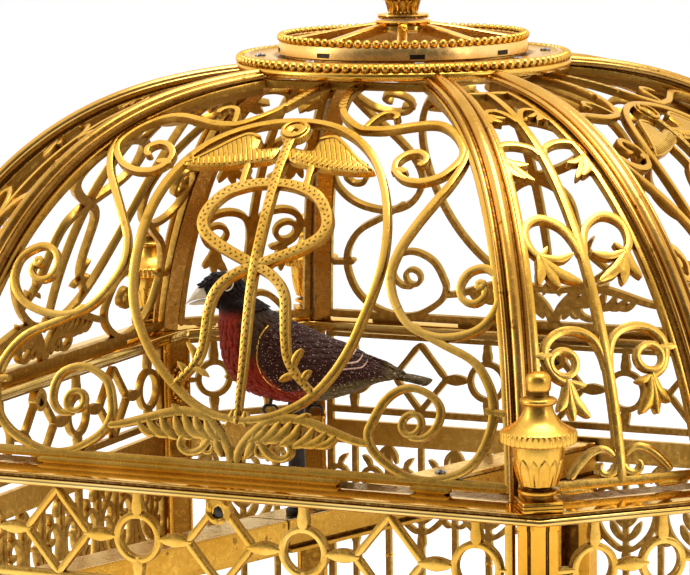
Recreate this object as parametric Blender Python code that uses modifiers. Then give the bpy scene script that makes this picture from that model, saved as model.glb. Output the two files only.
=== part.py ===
"""Singing bird automaton: an octagonal gilt cage with a ribbed, pierced dome, on a base with the movement.

The drawing is in millimetres with +Z up and is scaled to metres when a mesh is made. The front wide wall
faces -Y. The cage has four wide and four narrow walls and repeats itself at each quarter turn.
"""

import math

import bmesh
import bpy
from mathutils import Matrix, Vector
from mathutils.geometry import delaunay_2d_cdt

MM = 0.001                  # one millimetre in metres
GAP = 0.3                   # clearance between pieces that touch

# Levels, from the surface that the feet stand on
PLATE_BOTTOM = 16.0
PLATE_TOP = 19.0
CASE_TOP = 84.0
FLOOR_THICKNESS = 3.0
CORNICE = 285.0             # lower edge of the cornice; the cage's upper parts are drawn from here
LEDGE = 2.7                 # top of the cornice's ledge above that edge

# Cornice, an octagon with unequal sides: distance from the axis to the middle of each kind of side
WIDE_APOTHEM = 123.8
NARROW_APOTHEM = 147.4
CORNICE_INNER = 18.8        # how far in from the edge the ledge reaches

# Walls
WALL_INSET = 13.35          # middle of a wall sheet, in from the cornice's edge
SHEET = 2.0
PILASTER_WIDTH = 9.0
PILASTER_DEPTH = 6.0
PILASTER_INSET = 14.5
FRIEZE_TOP = -2.2
FRIEZE_BOTTOM = -23.2
FRIEZE_MIDDLE = -13.3
RAIL_TOP = -27.5
RAIL_BOTTOM = -34.5

# Dome: a rib's outer edge follows a flattened curve, and the ribs bow towards each other half way up
DOME_RADIUS = 136.2
DOME_HEIGHT = 92.0
DOME_SIDE_POWER = 2 / 3.57
DOME_TOP_POWER = 2 / 1.54
DOME_OPENING = 43.5         # radius at which the ribs and the panels end
RIB_BOW = 0.12
HALF_NARROW_ANGLE = math.radians(10.63)
PANEL_INSET = 3.3           # middle of a panel, in from the ribs' outer edge

# Crown and lantern, from the cornice edge
CROWN_RADIUS = 43.3
CROWN_BOTTOM = 89.0
CROWN_TOP = 93.4
LANTERN_RADIUS = 32.2
LANTERN_TOP = 97.4
HUB_RADIUS = 7.5
HUB_TOP = 101.5
FINIAL_TOP = 137.0

# Bird, on its post
POST = Vector((-30.0, -4.4))
POST_WIDTH = 4.5
BIRD_DIRECTION = math.radians(23.3)     # direction of the tail, from +X
BIRD_OFFSET = 0.44                      # the bird's own origin, from the post towards the tail
BIRD_LEVEL = -0.5
NECK_AXIS = -13.9
NECK_LEVEL = 26.0
NECK_RADIUS = 6.6
BEAK_HINGE = (-23.7, 28.4)
TAIL_HINGE = (25.2, 7.9)

# Beam that carries the post
BEAM_NEAR = Vector((-67.2, -107.6))
BEAM_FAR = Vector((7.0, 107.6))
BEAM_WIDTH = 11.7
BEAM_TOP = -30.0
BEAM_HEIGHT = 9.0
CHANNEL_WIDTH = 12.0
CHANNEL_DEPTH = 7.0
ROD_ROOM = 2.5              # free height under the push rods in the post

# Movement in the base
GREAT_TEETH = 30
CAM_PINION_TEETH = 10
CAM_WHEEL_TEETH = 24
FLY_PINION_TEETH = 8
GREAT_MODULE = 1.8
CAM_MODULE = 1.5
BELLOWS_X = (-108.0, -54.0)
BELLOWS_HALF_WIDTH = 24.0
WHISTLE_Y = 72.0
LEVER_LEVEL = 57.0

QUARTERS = ("front", "right", "back", "left")
CORNERS = ("front_right", "back_right", "back_left", "front_left")

FINISHES = {
    "gilt_brass": ((0.83, 0.55, 0.16), 0.26, 1.0),
    "rib_brass": ((0.72, 0.45, 0.13), 0.30, 1.0),
    "polished_brass": ((0.90, 0.66, 0.26), 0.16, 1.0),
    "dark_steel": ((0.05, 0.045, 0.04), 0.38, 1.0),
    "steel": ((0.45, 0.44, 0.42), 0.30, 1.0),
    "plumage_dark": ((0.035, 0.022, 0.016), 0.35, 0.0),
    "plumage_olive": ((0.12, 0.085, 0.04), 0.55, 0.0),
    "ivory_beak": ((0.78, 0.70, 0.55), 0.35, 0.0),
    "kid_leather": ((0.62, 0.50, 0.36), 0.75, 0.0),
    "walnut": ((0.16, 0.08, 0.04), 0.50, 0.0),
}


def clear_scene():
    """Remove what the file opened with."""
    for item in list(bpy.data.objects):
        bpy.data.objects.remove(item, do_unlink=True)


def new_collection(name):
    group = bpy.data.collections.new(name)
    bpy.context.scene.collection.children.link(group)
    return group


def material(finish):
    """Return the material of a finish, made on its first use."""
    if finish in bpy.data.materials:
        return bpy.data.materials[finish]
    colour, roughness, metallic = FINISHES[finish]
    made = bpy.data.materials.new(finish)
    made.use_nodes = True
    shader = made.node_tree.nodes["Principled BSDF"]
    shader.inputs["Base Color"].default_value = (*colour, 1.0)
    shader.inputs["Roughness"].default_value = roughness
    shader.inputs["Metallic"].default_value = metallic
    made.diffuse_color = (*colour, 1.0)
    return made


def mesh_of(bm, smooth_angle=30):
    """Turn a bmesh drawn in millimetres into a mesh in metres."""
    bmesh.ops.scale(bm, vec=(MM, MM, MM), verts=bm.verts)
    mesh = bpy.data.meshes.new("mesh")
    bm.to_mesh(mesh)
    bm.free()
    mesh.shade_smooth()
    mesh.set_sharp_from_angle(angle=math.radians(smooth_angle))
    return mesh


def place(name, mesh, finish, at=(0, 0, 0), turn=0.0):
    """Add a named piece to the automaton, moved by millimetres and turned about the vertical."""
    piece = bpy.data.objects.new(name, mesh)
    PARTS.objects.link(piece)
    if not mesh.materials:
        mesh.materials.append(material(finish))
    piece.location = Vector(at) * MM
    piece.rotation_euler = (0, 0, turn)
    return piece


def helper(mesh, at=(0, 0, 0), turn=0.0):
    """Add a piece that only cuts or joins another one."""
    piece = bpy.data.objects.new("helper", mesh)
    CUTTERS.objects.link(piece)
    piece.location = Vector(at) * MM
    piece.rotation_euler = (0, 0, turn)
    piece.hide_render = True
    piece.display_type = 'WIRE'
    return piece


def combine(piece, others, operation='UNION'):
    """Join the others to the piece, or cut them from it."""
    for other in others:
        step = piece.modifiers.new("combine", 'BOOLEAN')
        step.operation = operation
        step.solver = 'EXACT'
        step.object = other
    return piece


def evaluated_mesh(piece):
    """Return the piece's mesh with its modifiers applied, for pieces that repeat."""
    graph = bpy.context.evaluated_depsgraph_get()
    return bpy.data.meshes.new_from_object(piece.evaluated_get(graph))


def quarter_turns(names, mesh, finish, level=0.0, first=0.0):
    """Place one mesh once on each quarter of the cage."""
    for index, name in enumerate(names):
        place(name, mesh, finish, at=(0, 0, level), turn=first + index * math.pi / 2)


def box(low, high):
    """Mesh data of a box between two corners."""
    bm = bmesh.new()
    bmesh.ops.create_cube(bm, size=1.0)
    size = Vector(high) - Vector(low)
    bmesh.ops.scale(bm, vec=size, verts=bm.verts)
    bmesh.ops.translate(bm, vec=(Vector(low) + Vector(high)) / 2, verts=bm.verts)
    return mesh_of(bm)


def rod(radius, low, high, at=(0, 0), sides=12, along='Z'):
    """Mesh data of an upright round bar, or of one along X whose place is a Y and a level."""
    bm = bmesh.new()
    bmesh.ops.create_cone(bm, cap_ends=True, segments=sides, radius1=radius, radius2=radius, depth=high - low)
    bmesh.ops.translate(bm, vec=(0, 0, (low + high) / 2), verts=bm.verts)
    if along == 'X':
        bmesh.ops.rotate(bm, matrix=Matrix.Rotation(math.pi / 2, 3, 'Y'), verts=bm.verts)
        bmesh.ops.translate(bm, vec=(0, at[0], at[1]), verts=bm.verts)
    else:
        bmesh.ops.translate(bm, vec=(at[0], at[1], 0), verts=bm.verts)
    return mesh_of(bm)


def turned(profile, steps, closed=False):
    """Mesh data of a turned shape, from radius and height pairs that run down its outer side."""
    mesh = bpy.data.meshes.new("profile")
    points = [(radius * MM, 0.0, height * MM) for radius, height in profile]
    edges = [(i, i + 1) for i in range(len(points) - 1)]
    if closed:
        edges.append((len(points) - 1, 0))
    mesh.from_pydata(points, edges, [])
    piece = helper(mesh)
    screw = piece.modifiers.new("turn", 'SCREW')
    screw.steps = steps
    screw.render_steps = steps
    screw.use_merge_vertices = True
    screw.merge_threshold = 0.00001
    screw.use_normal_calculate = False
    result = evaluated_mesh(piece)
    bpy.data.objects.remove(piece)
    result.shade_smooth()
    result.set_sharp_from_angle(angle=math.radians(35))
    return result


def loft(rings, closed=False):
    """Skin rings of points that all have the same count; the end rings are capped unless it closes."""
    bm = bmesh.new()
    loops = [[bm.verts.new(point) for point in ring] for ring in rings]
    pairs = list(zip(loops, loops[1:]))
    if closed:
        pairs.append((loops[-1], loops[0]))
    for first, second in pairs:
        for i in range(len(first)):
            j = (i + 1) % len(first)
            bm.faces.new((first[i], first[j], second[j], second[i]))
    if not closed:
        bm.faces.new(list(reversed(loops[0])))
        bm.faces.new(loops[-1])
    bmesh.ops.recalc_face_normals(bm, faces=bm.faces)
    return mesh_of(bm)


def octagon(inset, level):
    """Corners of the cage's octagon, set in from the cornice's edge."""
    wide = WIDE_APOTHEM - inset
    half = math.sqrt(2) * (NARROW_APOTHEM - inset) - wide
    quarter = [(half, -wide), (wide, -half)]
    corners = []
    for index in range(4):
        spin = Matrix.Rotation(index * math.pi / 2, 2)
        corners.extend(spin @ Vector(corner) for corner in quarter)
    return [(corner.x, corner.y, level) for corner in corners]


def octagon_ring(profile):
    """Moulding round the octagon, from a closed profile of inset and level pairs."""
    return loft([octagon(inset, level) for inset, level in profile], closed=True)


def octagon_plate(inset, low, high):
    return loft([octagon(inset, low), octagon(inset, high)])


def curve_through(points, step):
    """Smooth line through the points, as a Catmull-Rom curve sampled about every step."""
    ends = [points[0]] + list(points) + [points[-1]]
    line = [Vector(points[0])]
    for i in range(1, len(ends) - 2):
        a, b, c, d = (Vector(ends[i + k]) for k in (-1, 0, 1, 2))
        count = max(1, round((c - b).length / step))
        for k in range(1, count + 1):
            t = k / count
            line.append(0.5 * ((2 * b) + (c - a) * t + (2 * a - 5 * b + 4 * c - d) * t * t
                               + (3 * b - a - 3 * c + d) * t * t * t))
    return line


def thin_out(points, tolerance):
    """Drop the points of an open line that lie within the tolerance of their chord."""
    if len(points) < 3:
        return list(points)
    start, end = Vector(points[0]), Vector(points[-1])
    chord = end - start
    worst, index = 0.0, 0
    for i in range(1, len(points) - 1):
        offset = Vector(points[i]) - start
        along = max(0.0, min(1.0, offset.dot(chord) / max(chord.length_squared, 1e-12)))
        distance = (offset - chord * along).length
        if distance > worst:
            worst, index = distance, i
    if worst <= tolerance:
        return [points[0], points[-1]]
    return thin_out(points[:index + 1], tolerance)[:-1] + thin_out(points[index:], tolerance)


def stroke(points, width, end_width=None, step=2.5, tolerance=0.9, longest=16.0):
    """Outline pieces of a scroll: quads along a smooth line whose width runs from one value to the other."""
    end_width = width if end_width is None else end_width
    line = thin_out(curve_through(points, step), tolerance)
    line = curve_steps(line, longest)
    total = sum((b - a).length for a, b in zip(line, line[1:]))
    sides, travelled = [], 0.0
    for i, point in enumerate(line):
        before = line[max(i - 1, 0)]
        after = line[min(i + 1, len(line) - 1)]
        if 0 < i:
            travelled += (point - before).length
        direction = (after - before).normalized()
        normal = Vector((-direction.y, direction.x))
        half = (width + (end_width - width) * travelled / total) / 2
        sides.append((point + normal * half, point - normal * half))
    return [[a[1], b[1], b[0], a[0]] for a, b in zip(sides, sides[1:])]


def curve_steps(line, longest):
    """Divide the stretches of a line that are longer than the limit."""
    result = [line[0]]
    for a, b in zip(line, line[1:]):
        count = max(1, math.ceil((b - a).length / longest))
        result.extend(a.lerp(b, k / count) for k in range(1, count + 1))
    return result


def hoop(centre, half_width, half_height, width, count=16):
    """Outline pieces of an elliptical ring."""
    pieces = []
    for i in range(count):
        angles = (2 * math.pi * i / count, 2 * math.pi * (i + 1) / count)
        inner, outer = [], []
        for angle in angles:
            direction = Vector((math.cos(angle), math.sin(angle)))
            outer.append(Vector((centre[0] + direction.x * (half_width + width / 2),
                                 centre[1] + direction.y * (half_height + width / 2))))
            inner.append(Vector((centre[0] + direction.x * (half_width - width / 2),
                                 centre[1] + direction.y * (half_height - width / 2))))
        pieces.append([inner[0], outer[0], outer[1], inner[1]])
    return pieces


def disc(centre, radius, count=10, height=None):
    """Outline of a round or oval plate."""
    height = radius if height is None else height
    return [[Vector((centre[0] + radius * math.cos(2 * math.pi * i / count),
                     centre[1] + height * math.sin(2 * math.pi * i / count))) for i in range(count)]]


def bar(u0, s0, u1, s1):
    """Outline of an upright rectangle."""
    return [[Vector((u0, s0)), Vector((u1, s0)), Vector((u1, s1)), Vector((u0, s1))]]


def mirrored(pieces):
    """Return the pieces with their mirror images about the middle line."""
    images = [[Vector((-p.x, p.y)) for p in reversed(piece)] for piece in pieces]
    return pieces + images


def loops_of(edges):
    """Chain edges that form closed outlines."""
    following = {}
    for a, b in edges:
        if a in following:
            raise ValueError("two outlines meet in one point")
        following[a] = b
    loops = []
    while following:
        start, current = following.popitem()
        loop = [start]
        while current != start:
            loop.append(current)
            current = following.pop(current)
        loops.append(loop)
    return loops


def inside(point, loops):
    """Tell whether a point is in the area that the outlines enclose."""
    odd = False
    for loop in loops:
        for a, b in zip(loop, loop[1:] + loop[:1]):
            if (a.y > point.y) != (b.y > point.y):
                if point.x < (b.x - a.x) * (point.y - a.y) / (b.y - a.y) + a.x:
                    odd = not odd
    return odd


def pierced_sheet(pieces, surface, thickness=SHEET, tolerance=0.35):
    """Join outline pieces into one pierced sheet and lay it on a surface.

    The pieces overlap, their joined outline is found first, and the area in it is then divided into
    triangles. The surface turns a flat point into a point in space, and the sheet gets its thickness
    from a modifier.
    """
    coords, faces = [], []
    for piece in pieces:
        faces.append(list(range(len(coords), len(coords) + len(piece))))
        coords.extend(piece)
    points, _, triangles, _, _, origins = delaunay_2d_cdt(coords, [], faces, 1, 0.02, True)
    kept = [tri for tri, origin in zip(triangles, origins) if origin]
    directed = {(tri[k], tri[(k + 1) % 3]) for tri in kept for k in range(3)}
    border = [(a, b) for a, b in directed if (b, a) not in directed]
    outlines = []
    for loop in loops_of(border):
        half = len(loop) // 2
        line = loop + loop[:1]
        spaces = [surface(*points[i]) for i in line]
        keep = kept_indices(spaces, 0, half, tolerance) + kept_indices(spaces, half, len(loop), tolerance)[1:]
        outlines.append([Vector(points[line[i]]) for i in keep[:-1]])
    coords, edges = [], []
    for outline in outlines:
        first = len(coords)
        coords.extend(outline)
        edges.extend((first + i, first + (i + 1) % len(outline)) for i in range(len(outline)))
    points, _, triangles, _, _, _ = delaunay_2d_cdt(coords, edges, [], 0, 0.001, True)
    bm = bmesh.new()
    verts = [bm.verts.new(surface(*point)) for point in points]
    for tri in triangles:
        middle = (points[tri[0]] + points[tri[1]] + points[tri[2]]) / 3
        if inside(middle, outlines):
            bm.faces.new([verts[i] for i in tri])
    loose = [vert for vert in bm.verts if not vert.link_faces]
    bmesh.ops.delete(bm, geom=loose, context='VERTS')
    piece = helper(mesh_of(bm))
    wall = piece.modifiers.new("wall", 'SOLIDIFY')
    wall.thickness = thickness * MM
    wall.offset = 0.0
    result = evaluated_mesh(piece)
    bpy.data.objects.remove(piece)
    return result


def kept_indices(points, first, last, tolerance):
    """Indices of a line's points that matter, by the rule of thin_out."""
    worst, index = 0.0, first
    start = points[first]
    chord = points[last] - start
    for i in range(first + 1, last):
        offset = points[i] - start
        along = max(0.0, min(1.0, offset.dot(chord) / max(chord.length_squared, 1e-12)))
        distance = (offset - chord * along).length
        if distance > worst:
            worst, index = distance, i
    if worst <= tolerance:
        return [first, last]
    before = kept_indices(points, first, index, tolerance)
    return before[:-1] + kept_indices(points, index, last, tolerance)


class DomeSurface:
    """Middle surface of the dome's panels, measured along and across them."""

    def __init__(self, inset, samples=240):
        self.rows = []
        travelled_wide = travelled_narrow = 0.0
        for i in range(samples + 1):
            angle = math.pi / 2 * i / samples
            radius = (DOME_RADIUS - inset) * math.cos(angle) ** DOME_SIDE_POWER
            level = (DOME_HEIGHT - inset) * math.sin(angle) ** DOME_TOP_POWER
            share = min(1.0, max(0.0, (radius - DOME_OPENING) / (DOME_RADIUS - DOME_OPENING)))
            across = radius * math.sin(HALF_NARROW_ANGLE) * (1 - RIB_BOW * 4 * share * (1 - share))
            along = radius * math.cos(HALF_NARROW_ANGLE)
            wide = ((along + across) / math.sqrt(2), (along - across) / math.sqrt(2))
            if self.rows:
                last = self.rows[-1]
                travelled_wide += math.hypot(wide[0] - last["wide"][0], level - last["level"])
                travelled_narrow += math.hypot(along - last["narrow"][0], level - last["level"])
            self.rows.append({"level": level, "radius": radius, "wide": wide, "narrow": (along, across),
                              "wide_s": travelled_wide, "narrow_s": travelled_narrow})

    def at(self, key, value, fields):
        """Interpolate fields at a value of one rising column."""
        rows = self.rows
        low, high = 0, len(rows) - 1
        while high - low > 1:
            middle = (low + high) // 2
            if rows[middle][key] <= value:
                low = middle
            else:
                high = middle
        a, b = rows[low], rows[high]
        t = (value - a[key]) / (b[key] - a[key])
        return [a[f] + (b[f] - a[f]) * t if not isinstance(a[f], tuple)
                else tuple(x + (y - x) * t for x, y in zip(a[f], b[f])) for f in fields]

    def wide_point(self, u, s):
        (apothem, _), level = self.at("wide_s", s, ("wide", "level"))
        return Vector((u, -apothem, level))

    def narrow_point(self, u, s):
        (apothem, _), level = self.at("narrow_s", s, ("narrow", "level"))
        return Vector((u, -apothem, level))

    def wide_half(self, s):
        return self.at("wide_s", s, ("wide",))[0][1]

    def narrow_half(self, s):
        return self.at("narrow_s", s, ("narrow",))[0][1]


def frame_band(half_width, inset, low, high, width=1.8, count=6):
    """Bands that run up both sides of a panel, at a distance in from its edge."""
    levels = [low + (high - low) * i / count for i in range(count + 1)]
    line = [(half_width(s) - inset, s) for s in levels]
    pieces = []
    for (u0, s0), (u1, s1) in zip(line, line[1:]):
        half = width / 2
        pieces.append([Vector((u0 - half, s0)), Vector((u0 + half, s0)),
                       Vector((u1 + half, s1)), Vector((u1 - half, s1))])
    return mirrored(pieces)


def wide_panel(dome):
    """A wide dome panel: a hoop with a winged staff and two snakes, and scrolls on both sides."""
    half = dome.wide_half
    low, high = 4.0, 124.2
    pieces = hoop((0, 57), 32, 41, 2.2)
    pieces += frame_band(half, 5.4, low, high)
    base, top = half(5) - 5.0, half(high) - 5.0
    pieces += bar(-base, low, base, 6.2) + bar(-top, high - 1.6, top, high + 0.2)
    for foot in (-60, -20, 20, 60):
        pieces += bar(foot - 3, 3.1, foot + 3, 4.4)
    pieces += bar(-1.2, 15, 1.2, 94) + disc((0, 94), 3.7)
    scrolls = stroke([(4.5, 124), (7, 107), (14, 96), (24, 95.5), (35, 98), (43, 92), (45.8, 85),
                      (42, 78.5), (35, 77), (29.8, 80.5), (32, 86)], 2.2, 1.8)
    scrolls += stroke([(45.8, 86), (42, 72), (35.5, 60), (36.5, 46), (46, 40), (57, 41), (62.4, 49),
                       (59, 56), (53.5, 53)], 2.3, 2.0)
    scrolls += stroke([(42, 42), (57, 33.5), (63.4, 22), (59, 9), (47, 5.2), (37, 10), (34.5, 18),
                       (41, 24.5), (49, 21), (47, 15)], 2.3, 2.0)
    scrolls += stroke([(1.5, 6), (1.5, 12), (8, 16), (20, 16.4), (34, 14.0)], 2.6, 3.0)
    scrolls += stroke([(0.6, 77), (8, 76.5), (15.4, 70.8), (15, 63), (0, 55), (-8, 50), (-10, 41),
                       (-11.5, 31), (-17.5, 22.6)], 2.6, 1.8)
    scrolls += [[Vector(p) for p in ((0.5, 83), (10, 80.5), (23.5, 80), (17, 88.5), (10, 93), (0.5, 84.5))]]
    scrolls += bar(7.4, 75.5, 9.4, 82) + bar(28.5, 80, 33, 82)
    scrolls += bar(62.8, 20.5, half(22) - 5.0, 23)
    pieces += mirrored(scrolls)
    return pierced_sheet(pieces, dome.wide_point)


def narrow_panel(dome):
    """A narrow dome panel: a stem with pairs of scrolls that end in leaf tips."""
    half = dome.narrow_half
    low, high = 4.0, 124.2
    pieces = frame_band(half, 4.2, low, high)
    base, top = half(5) - 3.9, half(high) - 3.9
    pieces += bar(-base, low, base, 6.2) + bar(-top, high - 1.6, top, high + 0.2)
    for foot in (-12, 12):
        pieces += bar(foot - 3, 3.1, foot + 3, 4.4)
    pieces += bar(-1.1, 5, 1.1, 123.5)
    scrolls = stroke([(0.5, 104), (2.5, 109.5), (6.3, 109), (5.2, 105.4)], 1.7, 2.4)
    scrolls += stroke([(0.5, 90.5), (5, 93.8), (10.4, 92.6), (11, 87.8), (7.2, 85)], 1.8, 3.0)
    scrolls += stroke([(0.5, 60.5), (4, 66.6), (10.5, 68), (12.8, 62), (9, 56.5)], 2.0, 3.6)
    scrolls += stroke([(0.5, 34), (4, 39), (12, 39.2), (14.6, 33), (10.4, 27)], 2.2, 4.0)
    scrolls += stroke([(0.5, 9), (4.5, 12.2), (9, 10), (12.5, 5.5)], 1.8, 1.8)
    scrolls += bar(13.8, 33.6, half(34) - 4.0, 35.8)
    pieces += mirrored(scrolls)
    return pierced_sheet(pieces, dome.narrow_point)


def rib(side):
    """A dome rib: a moulded bar along one corner, with a narrower stem that the panels tuck behind."""
    section = [(2.3, -6.5), (2.3, -2.1), (3.3, -2.1), (3.3, -0.9), (1.2, 0.0),
               (-1.2, 0.0), (-3.3, -0.9), (-3.3, -2.1), (-2.3, -2.1), (-2.3, -6.5)]
    outer = DomeSurface(0.0)
    foot = LEDGE + GAP
    stations = 10
    first = outer.at("level", foot, ("narrow_s",))[0]
    last = next(row["narrow_s"] for row in outer.rows if row["radius"] < CROWN_RADIUS + 0.5)
    path = []
    for i in range(stations + 1):
        (along, across), level = outer.at("narrow_s", first + (last - first) * i / stations,
                                          ("narrow", "level"))
        path.append(Vector((side * across, -along, level)))
    sideways = Vector((math.cos(HALF_NARROW_ANGLE), side * math.sin(HALF_NARROW_ANGLE), 0))
    rings = []
    for i, point in enumerate(path):
        ahead = path[min(i + 1, stations)] - path[max(i - 1, 0)]
        ahead = Vector((0, 0, 1)) if i == 0 else ahead.normalized()
        across = (sideways - ahead * sideways.dot(ahead)).normalized()
        outward = across.cross(ahead).normalized()
        if outward.y > 0:
            outward.negate()
        rings.append([point + across * x + outward * y for x, y in section])
    return loft(rings)


def frieze_unit(pieces, centres, ring, lozenges):
    """Add the frieze's rings and lozenges, joined by knobs, to a wall's outline pieces."""
    middle = FRIEZE_MIDDLE
    top, bottom = FRIEZE_TOP + 0.6, FRIEZE_BOTTOM - 0.6
    for u in centres:
        pieces += hoop((u, middle), ring, ring, 1.5, count=8)
        pieces += bar(u - 1.1, middle + ring - 0.3, u + 1.1, top)
        pieces += bar(u - 1.1, bottom, u + 1.1, middle - ring + 0.3)
    for u in lozenges:
        tall, broad = 10.2, 8.4
        corners = [(u, middle + tall), (u + broad, middle), (u, middle - tall), (u - broad, middle)]
        for a, b in zip(corners, corners[1:] + corners[:1]):
            pieces += stroke([a, b], 1.5)


def wide_wall():
    """A wide wall: frieze, rails and an upright grille, all cut from one sheet."""
    end = 73.4
    bottom = CASE_TOP + FLOOR_THICKNESS + 2 * GAP - CORNICE
    pieces = bar(-end, FRIEZE_TOP, end, -GAP) + bar(-end, -25.2, end, FRIEZE_BOTTOM)
    pieces += bar(-end, RAIL_BOTTOM, end, RAIL_TOP) + bar(-end, bottom, end, bottom + 7)
    pieces += bar(-end, bottom, -end + 2, -GAP) + bar(end - 2, bottom, end, -GAP)
    pitch, ring = 21.5, 5.4
    frieze_unit(pieces, (-3 * pitch, -pitch, pitch, 3 * pitch), ring, (-2 * pitch, 0, 2 * pitch))
    for u in (-2.5, -1.5, -0.5, 0.5, 1.5, 2.5):
        pieces += bar(u * pitch - 2.9, FRIEZE_MIDDLE - 1.1, u * pitch + 2.9, FRIEZE_MIDDLE + 1.1)
    pieces += mirrored(bar(3 * pitch + ring, FRIEZE_MIDDLE - 0.8, end - 1, FRIEZE_MIDDLE + 0.8))
    pieces += disc((0, -5.2), 3.2, 8)
    for i in range(-6, 7):
        u = i * pitch / 2
        pieces += bar(u - 0.9, bottom + 6, u + 0.9, RAIL_BOTTOM + 1)
    return pierced_sheet(pieces, lambda u, z: Vector((u, -(WIDE_APOTHEM - WALL_INSET), z)))


def corner_wall():
    """A narrow wall with the two fluted corner posts that it is soldered to."""
    end = 18.6
    bottom = CASE_TOP + FLOOR_THICKNESS + 2 * GAP - CORNICE
    pieces = bar(-end, FRIEZE_TOP, end, -GAP) + bar(-end, -25.2, end, FRIEZE_BOTTOM)
    pieces += bar(-end, RAIL_BOTTOM, end, RAIL_TOP) + bar(-end, bottom, end, bottom + 7)
    frieze_unit(pieces, (-8.5, 8.5), 4.9, ())
    pieces += bar(-4.4, FRIEZE_MIDDLE - 1.1, 4.4, FRIEZE_MIDDLE + 1.1)
    pieces += mirrored(bar(12.8, FRIEZE_MIDDLE - 0.8, end, FRIEZE_MIDDLE + 0.8))
    for u in (-10.75, 0, 10.75):
        pieces += bar(u - 0.9, bottom + 6, u + 0.9, RAIL_BOTTOM + 1)
    sheet = pierced_sheet(pieces, lambda u, z: Vector((u, -(NARROW_APOTHEM - WALL_INSET), z)))
    wall = helper(sheet)
    inset = PILASTER_INSET
    across = math.sqrt(2) * (WIDE_APOTHEM - inset) - (NARROW_APOTHEM - inset)
    posts = []
    for side in (-1, 1):
        half = PILASTER_WIDTH / 2
        post = box((-half, -PILASTER_DEPTH / 2, bottom), (half, PILASTER_DEPTH / 2, -GAP))
        spot = (side * across, -(NARROW_APOTHEM - inset), 0)
        posts.append(helper(post, at=spot, turn=side * math.pi / 8))
    combine(wall, posts)
    return evaluated_mesh(wall)


def gear(module, teeth, low, high, phase):
    """Outline rings of a toothed wheel with straight-sided teeth, a loose fit with its neighbour."""
    pitch_angle = 2 * math.pi / teeth
    pitch_radius = module * teeth / 2
    rings = []
    for level in (low, high):
        ring = []
        for i in range(teeth):
            middle = phase + i * pitch_angle
            for share, reach in ((-0.26, -1.15), (-0.10, 0.8), (0.10, 0.8), (0.26, -1.15)):
                radius = pitch_radius + reach * module
                angle = middle + share * pitch_angle
                ring.append((radius * math.cos(angle), radius * math.sin(angle), level))
        rings.append(ring)
    return loft(rings)


def build_base():
    """Base plate with its feet, the moulded case and the cage's floor."""
    plate = place("base_plate", octagon_plate(-20.0, PLATE_BOTTOM, PLATE_TOP), "gilt_brass")
    foot = turned([(0, 17.5), (9, 17.5), (9, 14), (14.5, 9.5), (13.5, 2), (10, 0), (0, 0)], 10)
    radius = 138.0
    feet = []
    for index in range(4):
        angle = math.radians(45 + 90 * index)
        feet.append(helper(foot, at=(radius * math.cos(angle), radius * math.sin(angle), 0)))
    combine(plate, feet)
    combine(plate, [helper(rod(4.2, PLATE_BOTTOM - 2, PLATE_TOP + 2, sides=14))], 'DIFFERENCE')
    low = PLATE_TOP + GAP
    outline = [(-21, low), (-21, 27), (-19, 29), (-19, 31), (-13, 36), (-10.5, 40), (-9, 44), (-9, 70),
               (-10.5, 72), (-10.5, 74), (-14, 78), (-15.5, 80), (-15.5, 83), (-13, CASE_TOP),
               (-5, CASE_TOP), (-5, low)]
    case = place("base_case", octagon_ring(outline), "gilt_brass")
    hole = rod(2.9, WIDE_APOTHEM, WIDE_APOTHEM + 20, at=(0, LEVER_LEVEL), along='X')
    combine(case, [helper(hole)], 'DIFFERENCE')
    level = CASE_TOP + GAP
    place("cage_floor", octagon_plate(-11.0, level, level + FLOOR_THICKNESS), "gilt_brass")


def build_walls():
    """Wall grilles, cornice and the small urns on its corners."""
    quarter_turns([f"wall_{name}" for name in QUARTERS], wide_wall(), "gilt_brass", CORNICE)
    quarter_turns([f"corner_wall_{name}" for name in CORNERS], corner_wall(), "gilt_brass", CORNICE,
                  math.pi / 4)
    outline = [(0, 0), (0, 0.9), (0.9, 1.4), (0.5, LEDGE), (CORNICE_INNER, LEDGE),
               (CORNICE_INNER, 0)]
    place("cornice", octagon_ring(outline), "polished_brass", at=(0, 0, CORNICE))
    profile = [(0, 30.7), (2.5, 29.8), (2.7, 27.2), (2.3, 26.2), (4.0, 25.0), (3.7, 22.0),
               (8.6, 17.6), (8.6, 15.2), (5.6, 14.4), (4.3, 6.2), (4.5, 0.0), (0, 0)]
    urn = turned(profile, 8)
    inset = 6.0
    for index, (x, y, _) in enumerate(octagon(inset, 0)):
        place(f"urn_{index + 1}", urn, "gilt_brass", at=(x, y, CORNICE + LEDGE + GAP))


def build_dome():
    """Ribs and pierced panels of the dome."""
    dome = DomeSurface(PANEL_INSET)
    quarter_turns([f"dome_panel_{name}" for name in QUARTERS], wide_panel(dome), "gilt_brass", CORNICE)
    quarter_turns([f"dome_panel_{name}" for name in CORNERS], narrow_panel(dome), "gilt_brass", CORNICE,
                  math.pi / 4)
    for side, hand in ((-1, "a"), (1, "b")):
        quarter_turns([f"dome_rib_{name}_{hand}" for name in CORNERS], rib(side), "rib_brass", CORNICE,
                      math.pi / 4)


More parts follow.
